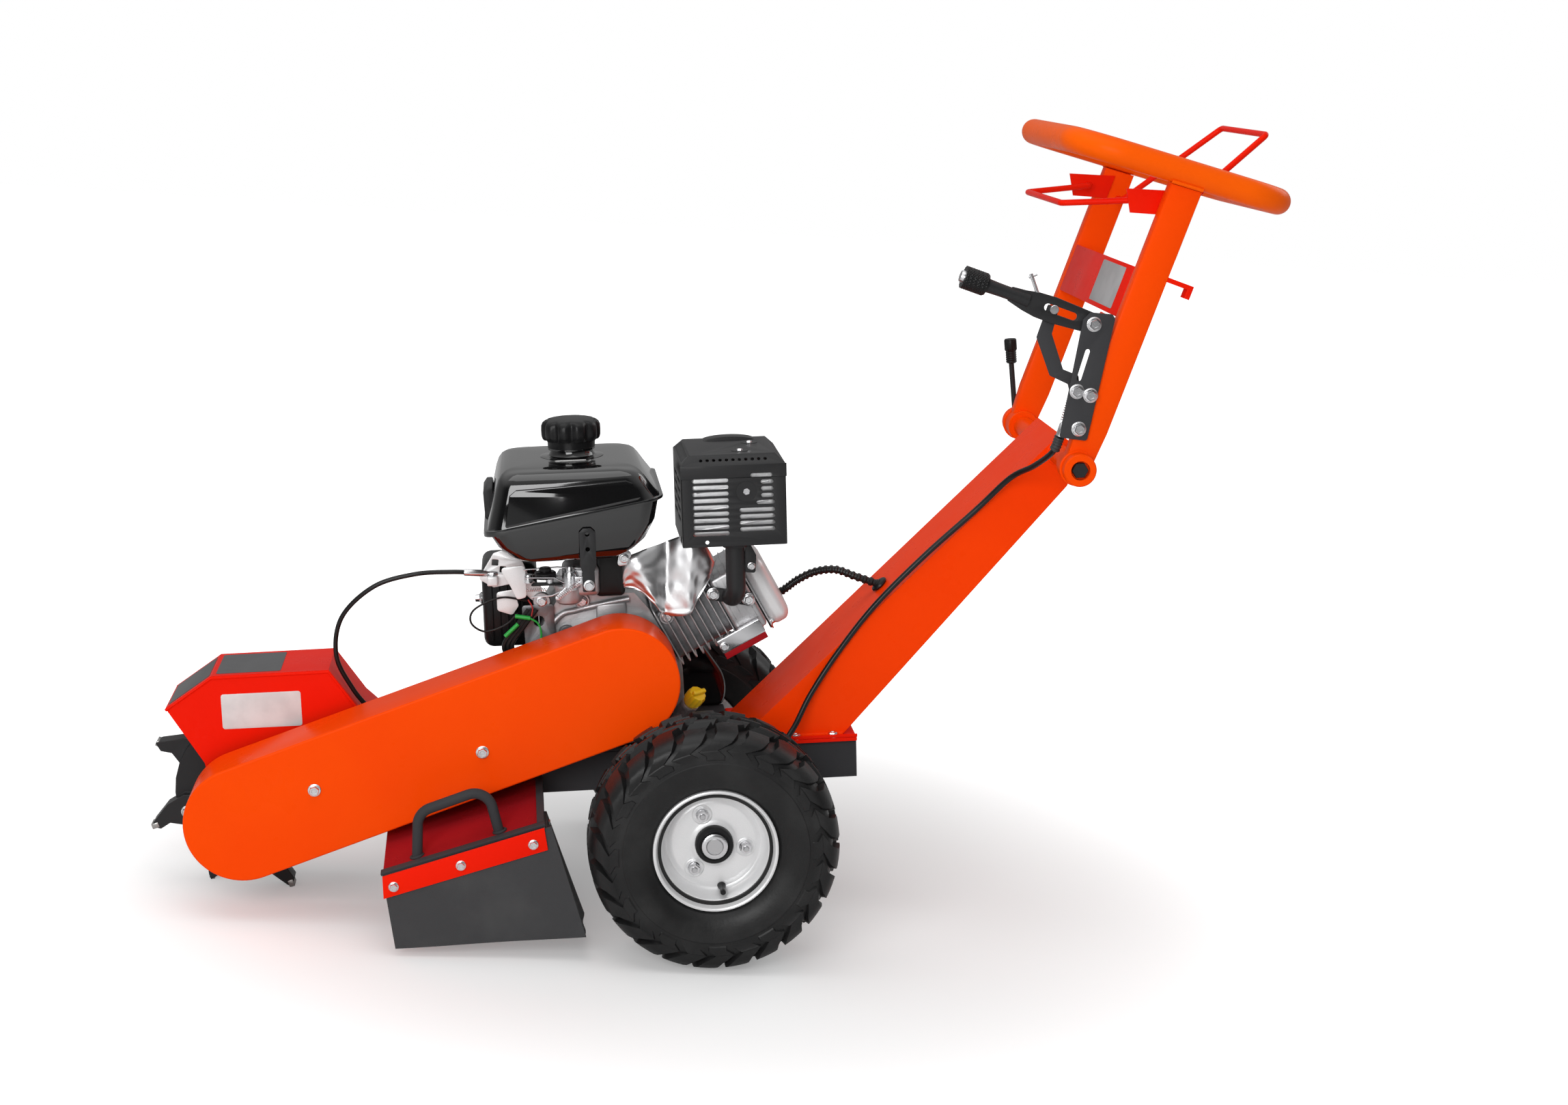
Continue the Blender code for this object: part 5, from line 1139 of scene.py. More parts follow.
# the barrel between the fins takes the darker casting copy: painted shade
barrel = soft_box("cylinder_barrel", (0.0845, -0.06, -0.032), (0.186, 0.06, 0.05), 0.008, CAST_PAINTED_SHADE,
    "chassis", 3, (BARREL_AXES, CRANK))
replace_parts(barrel, "cylinder")
FIN_VIEW = np.array([ACROSS, (0, 1, 0), ALONG])
fin_shape = rounded_outline([(-0.041, -0.0745), (0.062, -0.0745), (0.062, 0.0745), (-0.041, 0.0745)], 0.014,
    6)
for number in range(9):
    start = 0.088 + 0.0115 * number
    plate(f"cylinder_fin_{number}", fin_shape, start, start + 0.0024, CAST, "chassis", (), 0.0009, FIN_VIEW,
        CRANK)
head_low, head_high = (0.1832, -0.0745, -0.046), (0.2298, 0.07, 0.055)
soft_box("cylinder_head", head_low, head_high, 0.005, CAST, "chassis", 3, (BARREL_AXES, CRANK))
for number, along in enumerate((0.1905, 0.2005, 0.2105, 0.2205)):
    outline = rounded_outline([(-0.048, -0.0745), (0.057, -0.0745), (0.057, 0.0715), (-0.048, 0.0715)],
        0.008, 4)
    plate(f"head_fin_{number}", outline, along, along + 0.0022, CAST, "chassis", (), 0.0008, FIN_VIEW, CRANK)
gasket = rounded_outline([(-0.063, -0.051), (0.049, -0.051), (0.049, 0.086), (-0.063, 0.086)], 0.016, 6)
plate("valve_cover_gasket", gasket, 0.2296, 0.2318, GASKET_AND_SLOT_SHADE, "chassis", (), 0.0004, FIN_VIEW, CRANK)
cover = soft_box("valve_cover_pressing", (0.2318, -0.05, -0.062), (0.268, 0.085, 0.048), (0.014, 0.02, 0.02),
    SILVER, "chassis", 8, (BARREL_AXES, CRANK))
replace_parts(cover, "valve_cover")
flange = rounded_outline([(-0.065, -0.053), (0.051, -0.053), (0.051, 0.088), (-0.065, 0.088)], 0.018, 6)
plate("valve_cover_flange", flange, 0.2318, 0.2342, PLATED, "chassis", (), 0.0006, FIN_VIEW, CRANK)
for number, (across, y) in enumerate(((-0.052, -0.042), (0.039, -0.042), (-0.052, 0.076), (0.039, 0.076))):
    bolt(f"valve_cover_bolt_{number}", on_barrel(0.2342, y, across), ALONG, "chassis", 0.0088, 0.0062)
# the bright deflector under the barrel, held by one bolt
DEFLECTOR_VIEW = np.array([ALONG, ACROSS, (0, 1, 0)])
deflector = [(0.15, -0.05), (0.222, -0.05), (0.222, -0.028), (0.15, -0.028)]
plate("barrel_deflector", rounded_outline(deflector, 0.002, 3), -0.089, -0.0765, PLATED, "chassis", (),
    0.0012, DEFLECTOR_VIEW, CRANK)
# the skirt is the darker red copy: painted shade
under = [(0.151, -0.06), (0.221, -0.06), (0.221, -0.05), (0.151, -0.05)]
plate("barrel_deflector_skirt", under, -0.088, -0.0775, RED_PAINTED_SHADE, "chassis", (), 0.001, DEFLECTOR_VIEW, CRANK)
bolt("barrel_deflector_bolt", on_barrel(0.1565, -0.089, -0.04), NEAR, "chassis", 0.0092, 0.0058)
print("engine block made")

# %% [markdown]
# ## Fuel tank
#
# The tank is two pressed shells welded at a slanting flange and dipped in gloss enamel.  Round the tank
# runs one parameter and up it runs the other: each level is a rounded rectangle, and the two shells pull
# it in by different amounts, with the flange as three rows that stand out between them.

# %% Tank
SEAM_LEFT, SEAM_RIGHT = np.array([-0.309, 0.613]), np.array([-0.05, 0.659])


def seam_height(x):
    share = (x - SEAM_LEFT[0]) / (SEAM_RIGHT[0] - SEAM_LEFT[0])
    return SEAM_LEFT[1] + share * (SEAM_RIGHT[1] - SEAM_LEFT[1])


def tank_level(x_low, x_high, y_low, y_high, corner, height, steps=8):
    """A rounded rectangle whose height is a function of x."""
    flat = rounded_outline([(x_low, y_low), (x_high, y_low), (x_high, y_high), (x_low, y_high)], corner,
        steps)
    return np.column_stack([flat, height(flat[:, 0])])


def upper_level(share, inset, corner):
    top = 0.7055
    return tank_level(-0.304 + inset[0], -0.053 - inset[1], -0.154 + inset[2], 0.111 - inset[2], corner,
        lambda x: seam_height(x) + share * (top - seam_height(x)))


def lower_level(share, left, right, side, corner):
    """share 0 is the belly and 1 the seam; the belly rises to the right."""
    def height(x):
        bottom = 0.5705 + 0.03 * np.clip((x + 0.135) / 0.08, 0, 1) ** 1.5
        return bottom + share * (seam_height(x) - bottom)
    return tank_level(-0.301 + left, -0.055 - right, -0.151 + side, 0.108 - side, corner, height)


tank_rows = [lower_level(0.0, 0.062, 0.072, 0.03, 0.026), lower_level(0.0, 0.052, 0.058, 0.02, 0.026),
    lower_level(0.02, 0.044, 0.046, 0.011, 0.026), lower_level(0.06, 0.038, 0.034, 0.005, 0.026),
    lower_level(0.16, 0.03, 0.02, 0.002, 0.026), lower_level(0.5, 0.012, 0.006, 0.0005, 0.026),
    lower_level(0.9, 0.002, 0.001, 0.0, 0.026), lower_level(0.97, 0.001, 0.0005, 0.0, 0.026),
    upper_level(-0.03, (-0.005, -0.005, -0.0008), 0.031), upper_level(0.012, (-0.0054, -0.0054, -0.001),
    0.031), upper_level(0.055, (-0.005, -0.005, -0.0008), 0.031),
    upper_level(0.065, (0.0, 0.0, 0.001), 0.027), upper_level(0.1, (0.001, 0.0012, 0.0015), 0.027),
    upper_level(0.4, (0.008, 0.011, 0.003), 0.027), upper_level(0.72, (0.015, 0.0215, 0.005), 0.026),
    upper_level(0.84, (0.019, 0.0265, 0.008), 0.026), upper_level(0.92, (0.024, 0.032, 0.0135), 0.026),
    upper_level(0.968, (0.03, 0.0385, 0.0215), 0.026), upper_level(0.992, (0.038, 0.047, 0.032), 0.026),
    upper_level(1.0, (0.048, 0.058, 0.044), 0.024), upper_level(1.006, (0.08, 0.09, 0.08), 0.02)]
tank = grid("tank_shells", np.stack(tank_rows), GLOSS_BLACK, "chassis", False, True, True, 50)
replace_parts(tank, "fuel_tank")
# a shallow pressed panel follows the flange on each long side of the upper shell; the near one is made here
panel_outline = np.array([(-0.278, 0.625), (-0.27, 0.672), (-0.26, 0.68), (-0.102, 0.688), (-0.092, 0.684),
    (-0.08, 0.662), (-0.085, 0.658)])
lean_in = np.arctan2(0.0035, 0.06)
PANEL_VIEW = np.array([(1, 0, 0), (0, sin(lean_in), cos(lean_in)), (0, cos(lean_in), -sin(lean_in))])
panel_shift = np.array([0, -0.1538 - SEAM_LEFT[1] * sin(lean_in), SEAM_LEFT[1] * (1 - cos(lean_in))])
plate("tank_side_panel", rounded_outline(panel_outline, 0.0026, 4), -0.0016, 0.004, GLOSS_BLACK, "chassis",
    (), 0.0022, PANEL_VIEW, panel_shift)
neck = [(0.03, 0.0), (0.044, 0.0004), (0.047, 0.0022), (0.044, 0.0034), (0.039, 0.003), (0.035, 0.0042),
    (0.033, 0.007), (0.032, 0.011), (0.035, 0.0125), (0.035, 0.015), (0.032, 0.0165), (0.03, 0.02),
    (0.0262, 0.02), (0.0262, 0.0)]
turned("tank_neck", neck, (-0.176, -0.02, 0.704), UP, GLOSS_BLACK, "chassis", 56, closed=True)
front_trim = [(-0.308, 0.618), (-0.3095, 0.656), (-0.304, 0.664), (-0.295, 0.664), (-0.295, 0.618)]
sheet("tank_front_trim", rounded_outline(front_trim, 0.0022, 3), -0.03, 0.06, SATIN_BLACK, "chassis", (),
    0.0012)
sticker("tank_neck_label", [(-0.202, -0.0735), (-0.156, -0.0735), (-0.156, -0.0655), (-0.202, -0.0655)],
    (0.7062, 0.7066), LABEL_WHITE, "chassis", FROM_ABOVE)
strap = [(-0.1725, 0.615), (-0.1665, 0.621), (-0.155, 0.621), (-0.149, 0.615), (-0.149, 0.565),
    (-0.152, 0.557), (-0.152, 0.527), (-0.17, 0.527), (-0.17, 0.557), (-0.1725, 0.565)]
strap_holes = [circle((-0.1608, z), 0.0032, 16) for z in (0.612, 0.59)]
sheet("tank_strap", rounded_outline(strap, 0.002, 3), -0.1562, -0.154, SATIN_BLACK, "chassis", strap_holes,
    0.0007)
bolt("tank_strap_bolt", (-0.1608, -0.1562, 0.5365), NEAR, "chassis", 0.011, 0.0075)
stay = [(-0.17, 0.527), (-0.152, 0.527), (-0.152, 0.545), (-0.17, 0.545)]
sheet("tank_stay", stay, -0.1538, -0.101, PLATED, "chassis", (), 0.0015)


def lobed_cap(name, centre, lobes, material, body):
    """A turned form with finger hollows: radius = profile radius * (1 - depth * how far between lobes)."""
    profile = np.array([(0.0, 0.0372), (0.018, 0.0374), (0.03, 0.0366), (0.037, 0.0348), (0.0415, 0.0316),
        (0.0436, 0.027), (0.044, 0.02), (0.0438, 0.012), (0.0425, 0.0075), (0.0405, 0.005), (0.0355, 0.0046),
        (0.0352, 0.001), (0.0346, -0.009), (0.031, -0.0095), (0.0309, 0.0005), (0.0, 0.0008)])
    depth = np.array([0, 0.0, 0.02, 0.06, 0.1, 0.125, 0.13, 0.13, 0.12, 0.1, 0.0, 0, 0, 0, 0, 0])
    turn = np.linspace(0, 2 * pi, lobes * 16, endpoint=False)
    hollow = (0.5 - 0.5 * np.cos(turn * lobes)) ** 2.2
    radius = profile[:, :1] * (1 - depth[:, None] * hollow[None])
    points = np.stack([radius * np.cos(turn), radius * np.sin(turn),
        np.repeat(profile[:, 1:], len(turn), 1)], -1)
    return grid(name, points + np.asarray(centre), material, body, False, True, True, 38)


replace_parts(lobed_cap("tank_cap", (-0.176, -0.02, 0.7252), 10, MOULDED_BLACK, "fuel_cap"), "fuel_cap")
print("tank made")

# %% [markdown]
# ## Muffler, its guard and the exhaust
#
# The guard is a slotted steel box with chamfered top edges, so the bright muffler shows behind its slots.
# Each face is laid out flat, as the blank is punched, and folded to its place by its view: one direction
# along the fold, one across it, and the normal.

# %% Muffler guard
GUARD_LOW = np.array([-0.022, -0.14, 0.582])
GUARD_HIGH = np.array([0.131, 0.04, 0.716])
CHAMFER = 0.014
SKIN = 0.0016


def slot_ring(x_low, x_high, z, radius=0.003):
    return pill((x_low + radius, z), (x_high - radius, z), radius, radius, 6)


def face(name, corner, first, second, outline, holes=(), thickness=SKIN, material=SATIN_BLACK):
    """A punched face whose outer side lies on the corner's plane; its normal is first x second."""
    first, second = unit(np.asarray(first, float)), unit(np.asarray(second, float))
    view = np.array([first, second, np.cross(first, second)])
    return plate(name, outline, -thickness, 0.0, material, "chassis", holes, 0.0005, view,
        np.asarray(corner, float))


width, height = GUARD_HIGH[0] - GUARD_LOW[0], GUARD_HIGH[2] - GUARD_LOW[2] - CHAMFER
depth = GUARD_HIGH[1] - GUARD_LOW[1]
slots = [slot_ring(0.0153, 0.0688, 0.0196 + 0.0098 * k) for k in range(9)]
slots += [slot_ring(0.0841, 0.136, 0.0245 + 0.0095 * k) for k in range(4)]
slots += [slot_ring(0.109, 0.136, 0.064), slot_ring(0.116, 0.1345, 0.074), slot_ring(0.116, 0.1345, 0.084),
    slot_ring(0.116, 0.1345, 0.094), slot_ring(0.101, 0.133, 0.104)]
screw_x, screw_z = 0.0948, 0.0805
slots += [circle((screw_x, screw_z), 0.0145, 32), circle((0.0358, 0.007), 0.0028, 14)]
front_outline = rounded_outline([(0, 0), (width, 0), (width, height), (0, height)], 0.002, 3)
near_face = face("muffler_guard_face", GUARD_LOW, (1, 0, 0), (0, 0, 1), front_outline, slots)
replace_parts(near_face, "muffler_guard")
band = [(-0.0012, height - 0.019), (width + 0.0012, height - 0.019), (width + 0.0012, height + 0.0006),
    (-0.0012, height + 0.0006)]
face("muffler_guard_band", GUARD_LOW + (0, -0.001, 0), (1, 0, 0), (0, 0, 1), band,
    (slot_ring(0.101, 0.133, 0.104),), 0.0012)
dish = [(0.015, -0.0004), (0.0138, 0.0006), (0.0118, 0.0034), (0.0098, 0.0046), (0, 0.0048), (0, 0.006),
    (0.0104, 0.0058), (0.0128, 0.0046), (0.015, 0.0012)]
turned("muffler_guard_dish", dish, GUARD_LOW + (screw_x, 0, screw_z), (0, 1, 0), SATIN_BLACK, "chassis", 40)
bolt("muffler_guard_screw", GUARD_LOW + (screw_x, 0.0046, screw_z), NEAR, "chassis", 0.0096, 0.0062)
far_corner = np.array([GUARD_HIGH[0], GUARD_HIGH[1], GUARD_LOW[2]])
far_slots = [slot_ring(0.02 + 0.062 * side, 0.072 + 0.062 * side, 0.03 + 0.0125 * k) for k in range(7)
    for side in (0, 1)]
face("muffler_guard_far", far_corner, (-1, 0, 0), (0, 0, 1), front_outline, far_slots)
side_outline = rounded_outline([(0, 0), (depth, 0), (depth, height), (0, height)], 0.002, 3)
side_slots = [slot_ring(0.025 + 0.07 * k, 0.08 + 0.07 * k, 0.035 + 0.014 * n) for n in range(5)
    for k in (0, 1)]
face("muffler_guard_left", (GUARD_LOW[0], GUARD_HIGH[1], GUARD_LOW[2]), (0, -1, 0), (0, 0, 1), side_outline,
    side_slots)
face("muffler_guard_right", (GUARD_HIGH[0], GUARD_LOW[1], GUARD_LOW[2]), (0, 1, 0), (0, 0, 1), side_outline,
    side_slots)
slant = CHAMFER * np.sqrt(2)
shoulder = GUARD_LOW[2] + height


def chamfer(name, corner, along, length, inward_way, holes):
    """A trapezium that leans 45 degrees in from the edge, with its ends mitred."""
    up_way = unit(np.asarray(inward_way, float) + (0, 0, 1))
    outline = [(0, 0), (length, 0), (length - CHAMFER, slant), (CHAMFER, slant)]
    face(name, corner, along, up_way, outline, holes)


front_holes = [circle((0.03 + 0.0094 * k, slant * 0.5), 0.0024, 14) for k in range(11)]
chamfer("muffler_guard_front_slope", (GUARD_LOW[0], GUARD_LOW[1], shoulder), (1, 0, 0), width, (0, 1, 0),
    front_holes)
chamfer("muffler_guard_back_slope", (GUARD_HIGH[0], GUARD_HIGH[1], shoulder), (-1, 0, 0), width, (0, -1, 0),
    front_holes)
slits = [pill((0.024 + 0.0064 * k, 0.0045), (0.024 + 0.0064 * k, slant - 0.0045), 0.0012, 0.0012, 4)
    for k in range(21)]
chamfer("muffler_guard_left_slope", (GUARD_LOW[0], GUARD_HIGH[1], shoulder), (0, -1, 0), depth, (1, 0, 0),
    slits)
chamfer("muffler_guard_right_slope", (GUARD_HIGH[0], GUARD_LOW[1], shoulder), (0, 1, 0), depth, (-1, 0, 0),
    slits)
top_corner = GUARD_LOW + (CHAMFER, CHAMFER, 0)
top_corner[2] = GUARD_HIGH[2]
top_width, top_depth = width - 2 * CHAMFER, depth - 2 * CHAMFER
screw_spots = ((0.076, 0.03), (0.096, 0.098))
top_outline = rounded_outline([(0, 0), (top_width, 0), (top_width, top_depth), (0, top_depth)], 0.0015, 3)
face("muffler_guard_top", top_corner, (1, 0, 0), (0, 1, 0), top_outline,
    [circle(spot, 0.0118, 28) for spot in screw_spots])
top_dish = [(0.0122, 0.0004), (0.011, -0.0006), (0.0092, -0.003), (0, -0.0034), (0, -0.0046),
    (0.01, -0.0042), (0.0122, -0.0012)]
for number, spot in enumerate(screw_spots):
    seat = top_corner + (*spot, 0)
    turned(f"muffler_top_dish_{number}", top_dish, seat, UP, SATIN_BLACK, "chassis", 32)
    bolt(f"muffler_top_screw_{number}", seat - (0, 0, 0.0032), UP, "chassis", 0.008, 0.0056)
rise = np.linspace(0, pi, 25)
hump = np.column_stack([0.06 - 0.04 * np.cos(rise), 0.714 + 0.0075 * np.sin(rise)])
sheet("muffler_guard_hump", hump, -0.002, 0.024, SATIN_BLACK, "chassis", (), 0.001)
muffler_low, muffler_high = GUARD_LOW + (0.008, 0.006, 0.008), GUARD_HIGH - (0.008, 0.01, 0.012)
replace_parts(soft_box("muffler_can", muffler_low, muffler_high, 0.014, ALUMINISED, "chassis", 6), "muffler")
for number, z in enumerate((0.612, 0.64, 0.668)):
    path = [(0.0, muffler_low[1] - 0.0002, z - 0.006), (0.05, muffler_low[1] - 0.0006, z),
        (0.106, muffler_low[1] - 0.0002, z + 0.008)]
    tube(f"muffler_bead_{number}", curve_through(path, 12), 0.0016, ALUMINISED, "chassis", 8)

pipe_path = rounded_path([(0.057, -0.103, 0.594), (0.057, -0.103, 0.4945), (0.0505, -0.0815, 0.4945)],
    0.0205, 12)
pipe = tube("exhaust_bend", pipe_path, 0.0145, SATIN_BLACK, "chassis", 28, side_hint=(0.95, 0.3, 0))
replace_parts(pipe, "exhaust_pipe")
ears = ((0.024, 0.499), (0.0765, 0.4885))
lobe = np.vstack([pill(ears[0], (0.0505, 0.4945), 0.0105, 0.0205, 12)[:13],
    pill((0.0505, 0.4945), ears[1], 0.0205, 0.0105, 12)[13:]])
sheet("exhaust_flange", lobe, -0.0838, -0.0754, SATIN_BLACK, "chassis", (), 0.0016)
for number, (x, z) in enumerate(ears):
    turned(f"exhaust_washer_{number}", [(0, 0), (0.0098, 0), (0.0098, -0.0014), (0.0088, -0.002),
        (0, -0.002)], (x, -0.0838, z), (0, 1, 0), PLATED, "chassis", 28)
    bolt(f"exhaust_nut_{number}", (x, -0.0856, z), NEAR, "chassis", 0.011, 0.008)
turned("exhaust_collar", [(0.0148, 0), (0.018, 0), (0.0184, 0.0012), (0.0184, 0.006), (0.0176, 0.0068),
    (0.0148, 0.0068)], (0.057, -0.103, 0.574), UP, SATIN_BLACK, "chassis", 36, closed=True)
strap_plate = rounded_outline([(0.07, 0.535), (0.086, 0.533), (0.088, 0.56), (0.079, 0.578), (0.072, 0.578)],
    0.003, 3)
sheet("exhaust_stay", strap_plate, -0.106, -0.1035, SATIN_BLACK, "chassis", (), 0.0008)
bolt("exhaust_stay_bolt", (0.08, -0.106, 0.544), NEAR, "chassis", 0.008, 0.0055)
print("muffler and exhaust made")

# %% [markdown]
# ## Heat shield
#
# A thin bright sheet, dented to clear the bolts behind it, keeps the muffler's heat off the carburettor.
# It is one height over a four-sided patch: three folds that run down the sheet, a few pressed hollows,
# and an edge that rolls back.

# %% Heat shield
shield_top = curve_through([(-0.1135, 0.524), (-0.106, 0.558), (-0.082, 0.57), (-0.045, 0.58),
    (-0.016, 0.59), (0.01, 0.58), (0.03, 0.548)], 61)
shield_bottom = curve_through([(-0.112, 0.515), (-0.086, 0.51), (-0.066, 0.492), (-0.048, 0.473),
    (-0.014, 0.473), (0.0, 0.492), (0.022, 0.526)], 61)
u, v = np.meshgrid(np.linspace(0, 1, 61), np.linspace(0, 1, 41), indexing="ij")
flat = (1 - v)[..., None] * shield_top[:, None] + v[..., None] * shield_bottom[:, None]


def fold(at, width, lean_share):
    """A ridge across u, which leans as v grows."""
    return np.exp(-((u - at - lean_share * v) / width) ** 2)


relief = (0.008 * fold(0.26, 0.13, 0.1) - 0.0055 * fold(0.52, 0.05, -0.04) + 0.0085 * fold(0.74, 0.11, -0.06)
    + 0.0045 * np.exp(-((u - 0.46) / 0.16) ** 2 - ((v - 0.82) / 0.2) ** 2)
    + 0.0005 * np.sin(23 * u + 9 * v) * np.sin(7 * u - 15 * v)
    + 0.0004 * np.sin(37 * u - 21 * v) * v - 0.011 * (np.abs(u - 0.5) * 2) ** 8 - 0.008 * (1 - v) ** 6)
roll = 0.0016 * np.exp(-((v - 0.97) / 0.03) ** 2)
front = np.stack([flat[..., 0], -0.0905 - relief - roll, flat[..., 1]], -1)
back = front + np.array([0, 0.0012, 0])
made = grid("heat_shield_pressing", np.concatenate([front, back[:, ::-1]], 1), CHROME, "chassis", False,
    True, True, 60)
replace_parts(made, "heat_shield")
tab = rounded_outline([(-0.118, 0.548), (-0.096, 0.552), (-0.096, 0.572), (-0.113, 0.572)], 0.005, 4)
sheet("heat_shield_tab", tab, -0.0915, -0.0895, PLATED, "chassis", (), 0.0006)
bolt("heat_shield_bolt", (-0.1065, -0.0915, 0.561), NEAR, "chassis", 0.0096, 0.0062)
soft_box("intake_shroud", (-0.15, -0.086, 0.502), (-0.106, -0.03, 0.576), 0.008, MOULDED_BLACK, "chassis", 4)
print("heat shield made")

# %% [markdown]
# ## Carburettor, linkage and air cleaner
#
# Under the tank sit the small working parts: a cast carburettor with its bowl, the governor's rods and
# springs, the black choke lever, a plated bracket for the throttle cable, and the air cleaner's moulded
# box.  Springs are tubes along a helix; rods are tubes along a short bent path.


# %% Small engine parts
def helix(start, end, radius, turns, per_turn=14):
    """point(t) = start + t * (end - start) + radius * (cos, sin) of the turn, square to the axis."""
    start, end = np.asarray(start, float), np.asarray(end, float)
    axis = unit(end - start)
    across = unit(np.cross(axis, (0.13, 0.97, 0.2)))
    over = np.cross(axis, across)
    t = np.linspace(0, 1, turns * per_turn + 1)[:, None]
    turn = 2 * pi * turns * t
    return start + t * (end - start) + radius * (across * np.cos(turn) + over * np.sin(turn))


def rod(name, points, radius, material, body="chassis", bend=0.0, sides=10):
    points = np.asarray(points, float)
    path = rounded_path(points, bend, 5) if bend and len(points) > 2 else points
    return tube(name, path, radius, material, body, sides, side_hint=(0.31, 0.2, 0.93))


carb = soft_box("carburettor_body", (-0.198, -0.098, 0.5065), (-0.144, -0.034, 0.552), (0.008, 0.01, 0.008),
    CAST, "chassis", 4)
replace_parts(carb, "carburettor")
bowl = [(0, 0.0), (0.015, 0.0), (0.019, 0.003), (0.02, 0.008), (0.02, 0.024), (0.0222, 0.025),
    (0.0222, 0.029), (0, 0.029)]
turned("carburettor_bowl", bowl, (-0.19, -0.085, 0.496), UP, CAST, "chassis", 36)
for number, (x, y, z, r, h, finish) in enumerate(((-0.223, -0.093, 0.537, 0.016, 0.01, MOULDED_BLACK),
        (-0.223, -0.093, 0.547, 0.009, 0.006, MOULDED_BLACK), (-0.187, -0.101, 0.52, 0.012, 0.026, PLATED),
        (-0.187, -0.101, 0.545, 0.007, 0.01, PLATED), (-0.248, -0.088, 0.53, 0.007, 0.012, PLATED))):
    knob = [(0, 0), (r, 0), (r, h * 0.8), (r * 0.85, h), (0, h)]
    turned(f"carburettor_fitting_{number}", knob, (x, y, z), UP, finish, "chassis", 28)
plate("choke_lever", rounded_outline([(-0.246, -0.112), (-0.2, -0.112), (-0.196, -0.098), (-0.24, -0.094)],
    0.004, 3), 0.529, 0.5315, MOULDED_BLACK, "chassis", (), 0.0006, FROM_ABOVE)
turned("choke_pin", [(0, 0), (0.0055, 0), (0.0055, 0.006), (0.004, 0.007), (0, 0.007)],
    (-0.217, -0.104, 0.5315), UP, PLATED, "chassis", 20)
rod("governor_rod", [(-0.245, -0.108, 0.512), (-0.215, -0.108, 0.513), (-0.176, -0.109, 0.53),
    (-0.174, -0.109, 0.538)], 0.0013, PLATED, bend=0.004)
rod("throttle_rod", [(-0.253, -0.11, 0.542), (-0.21, -0.11, 0.54), (-0.18, -0.106, 0.522)], 0.0011, PLATED,
    bend=0.004)
rod("choke_rod", [(-0.255, -0.09, 0.55), (-0.205, -0.096, 0.553), (-0.15, -0.096, 0.548)], 0.0014, PLATED,
    bend=0.005)
tube("governor_spring", helix((-0.206, -0.112, 0.511), (-0.174, -0.112, 0.533), 0.003, 13), 0.0006, PLATED,
    "chassis", 6, side_hint=(0.1, 0.3, 0.95))
tube("return_spring", helix((-0.252, -0.106, 0.523), (-0.222, -0.106, 0.522), 0.0024, 11), 0.0005, PLATED,
    "chassis", 6, side_hint=(0.1, 0.3, 0.95))
arm = rounded_outline([(-0.213, 0.508), (-0.205, 0.506), (-0.168, 0.531), (-0.17, 0.54), (-0.179, 0.54)],
    0.003, 3)
sheet("governor_arm", arm, -0.1105, -0.109, PLATED, "chassis", [circle((-0.1745, 0.5345), 0.0018, 10)],
    0.0004)
bracket_outline = [(-0.322, 0.532), (-0.298, 0.57), (-0.285, 0.574), (-0.256, 0.556), (-0.246, 0.53),
    (-0.229, 0.515), (-0.229, 0.496), (-0.244, 0.496), (-0.27, 0.523), (-0.3, 0.518)]
windows = [rounded_outline([(x - 0.0048, z - 0.0042), (x + 0.0048, z - 0.0052), (x + 0.0058, z + 0.0038),
    (x - 0.0036, z + 0.005)], 0.001, 2) for x, z in ((-0.2965, 0.556), (-0.2855, 0.545))]
made = sheet("throttle_bracket_plate", rounded_outline(bracket_outline, 0.005, 4), -0.0582, -0.0553, SILVER,
    "chassis", windows, 0.0008)
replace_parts(made, "throttle_bracket")
apron = [(-0.29, 0.554), (-0.252, 0.556), (-0.252, 0.508), (-0.266, 0.505), (-0.274, 0.524)]
sheet("linkage_apron", rounded_outline(apron, 0.005, 4), -0.09, -0.088, SILVER, "chassis", (), 0.0007)
lower_plate = [(-0.296, 0.512), (-0.27, 0.515), (-0.264, 0.49), (-0.274, 0.476), (-0.296, 0.484)]
sheet("cable_anchor_plate", rounded_outline(lower_plate, 0.005, 4), -0.064, -0.0615, SILVER, "chassis", (),
    0.0007)
bolt("cable_anchor_screw", (-0.301, -0.061, 0.536), UP, "chassis", 0.0095, 0.006)
soft_box("cable_anchor_clamp", (-0.309, -0.069, 0.522), (-0.293, -0.056, 0.537), 0.0025, SILVER, "chassis", 3)
side_bracket = [(-0.26, 0.49), (-0.212, 0.49), (-0.212, 0.43), (-0.22, 0.33), (-0.24, 0.33), (-0.256, 0.42)]
sheet("case_side_bracket", rounded_outline(side_bracket, 0.005, 4), -0.064, -0.061, CAST_PAINTED_SHADE, "chassis",
    [circle((-0.235, 0.465), 0.008, 24), circle((-0.23, 0.39), 0.006, 20)], 0.0008)
eased("air_cleaner", 0.002, MOULDED_BLACK, "chassis", 2)
for number in range(6):
    x = -0.306 + 0.0115 * number
    soft_box(f"air_cleaner_rib_{number}", (x, -0.0325, 0.43), (x + 0.0035, -0.029, 0.533), 0.0012,
        MOULDED_BLACK, "chassis", 2)
wing = [(0, 0), (0.009, 0), (0.0095, 0.003), (0.006, 0.006), (0.0055, 0.012), (0, 0.013)]
turned("air_cleaner_nut", wing, (-0.3178, 0.035, 0.482), (-1, 0, 0), PLATED, "chassis", 24)
print("linkage made")

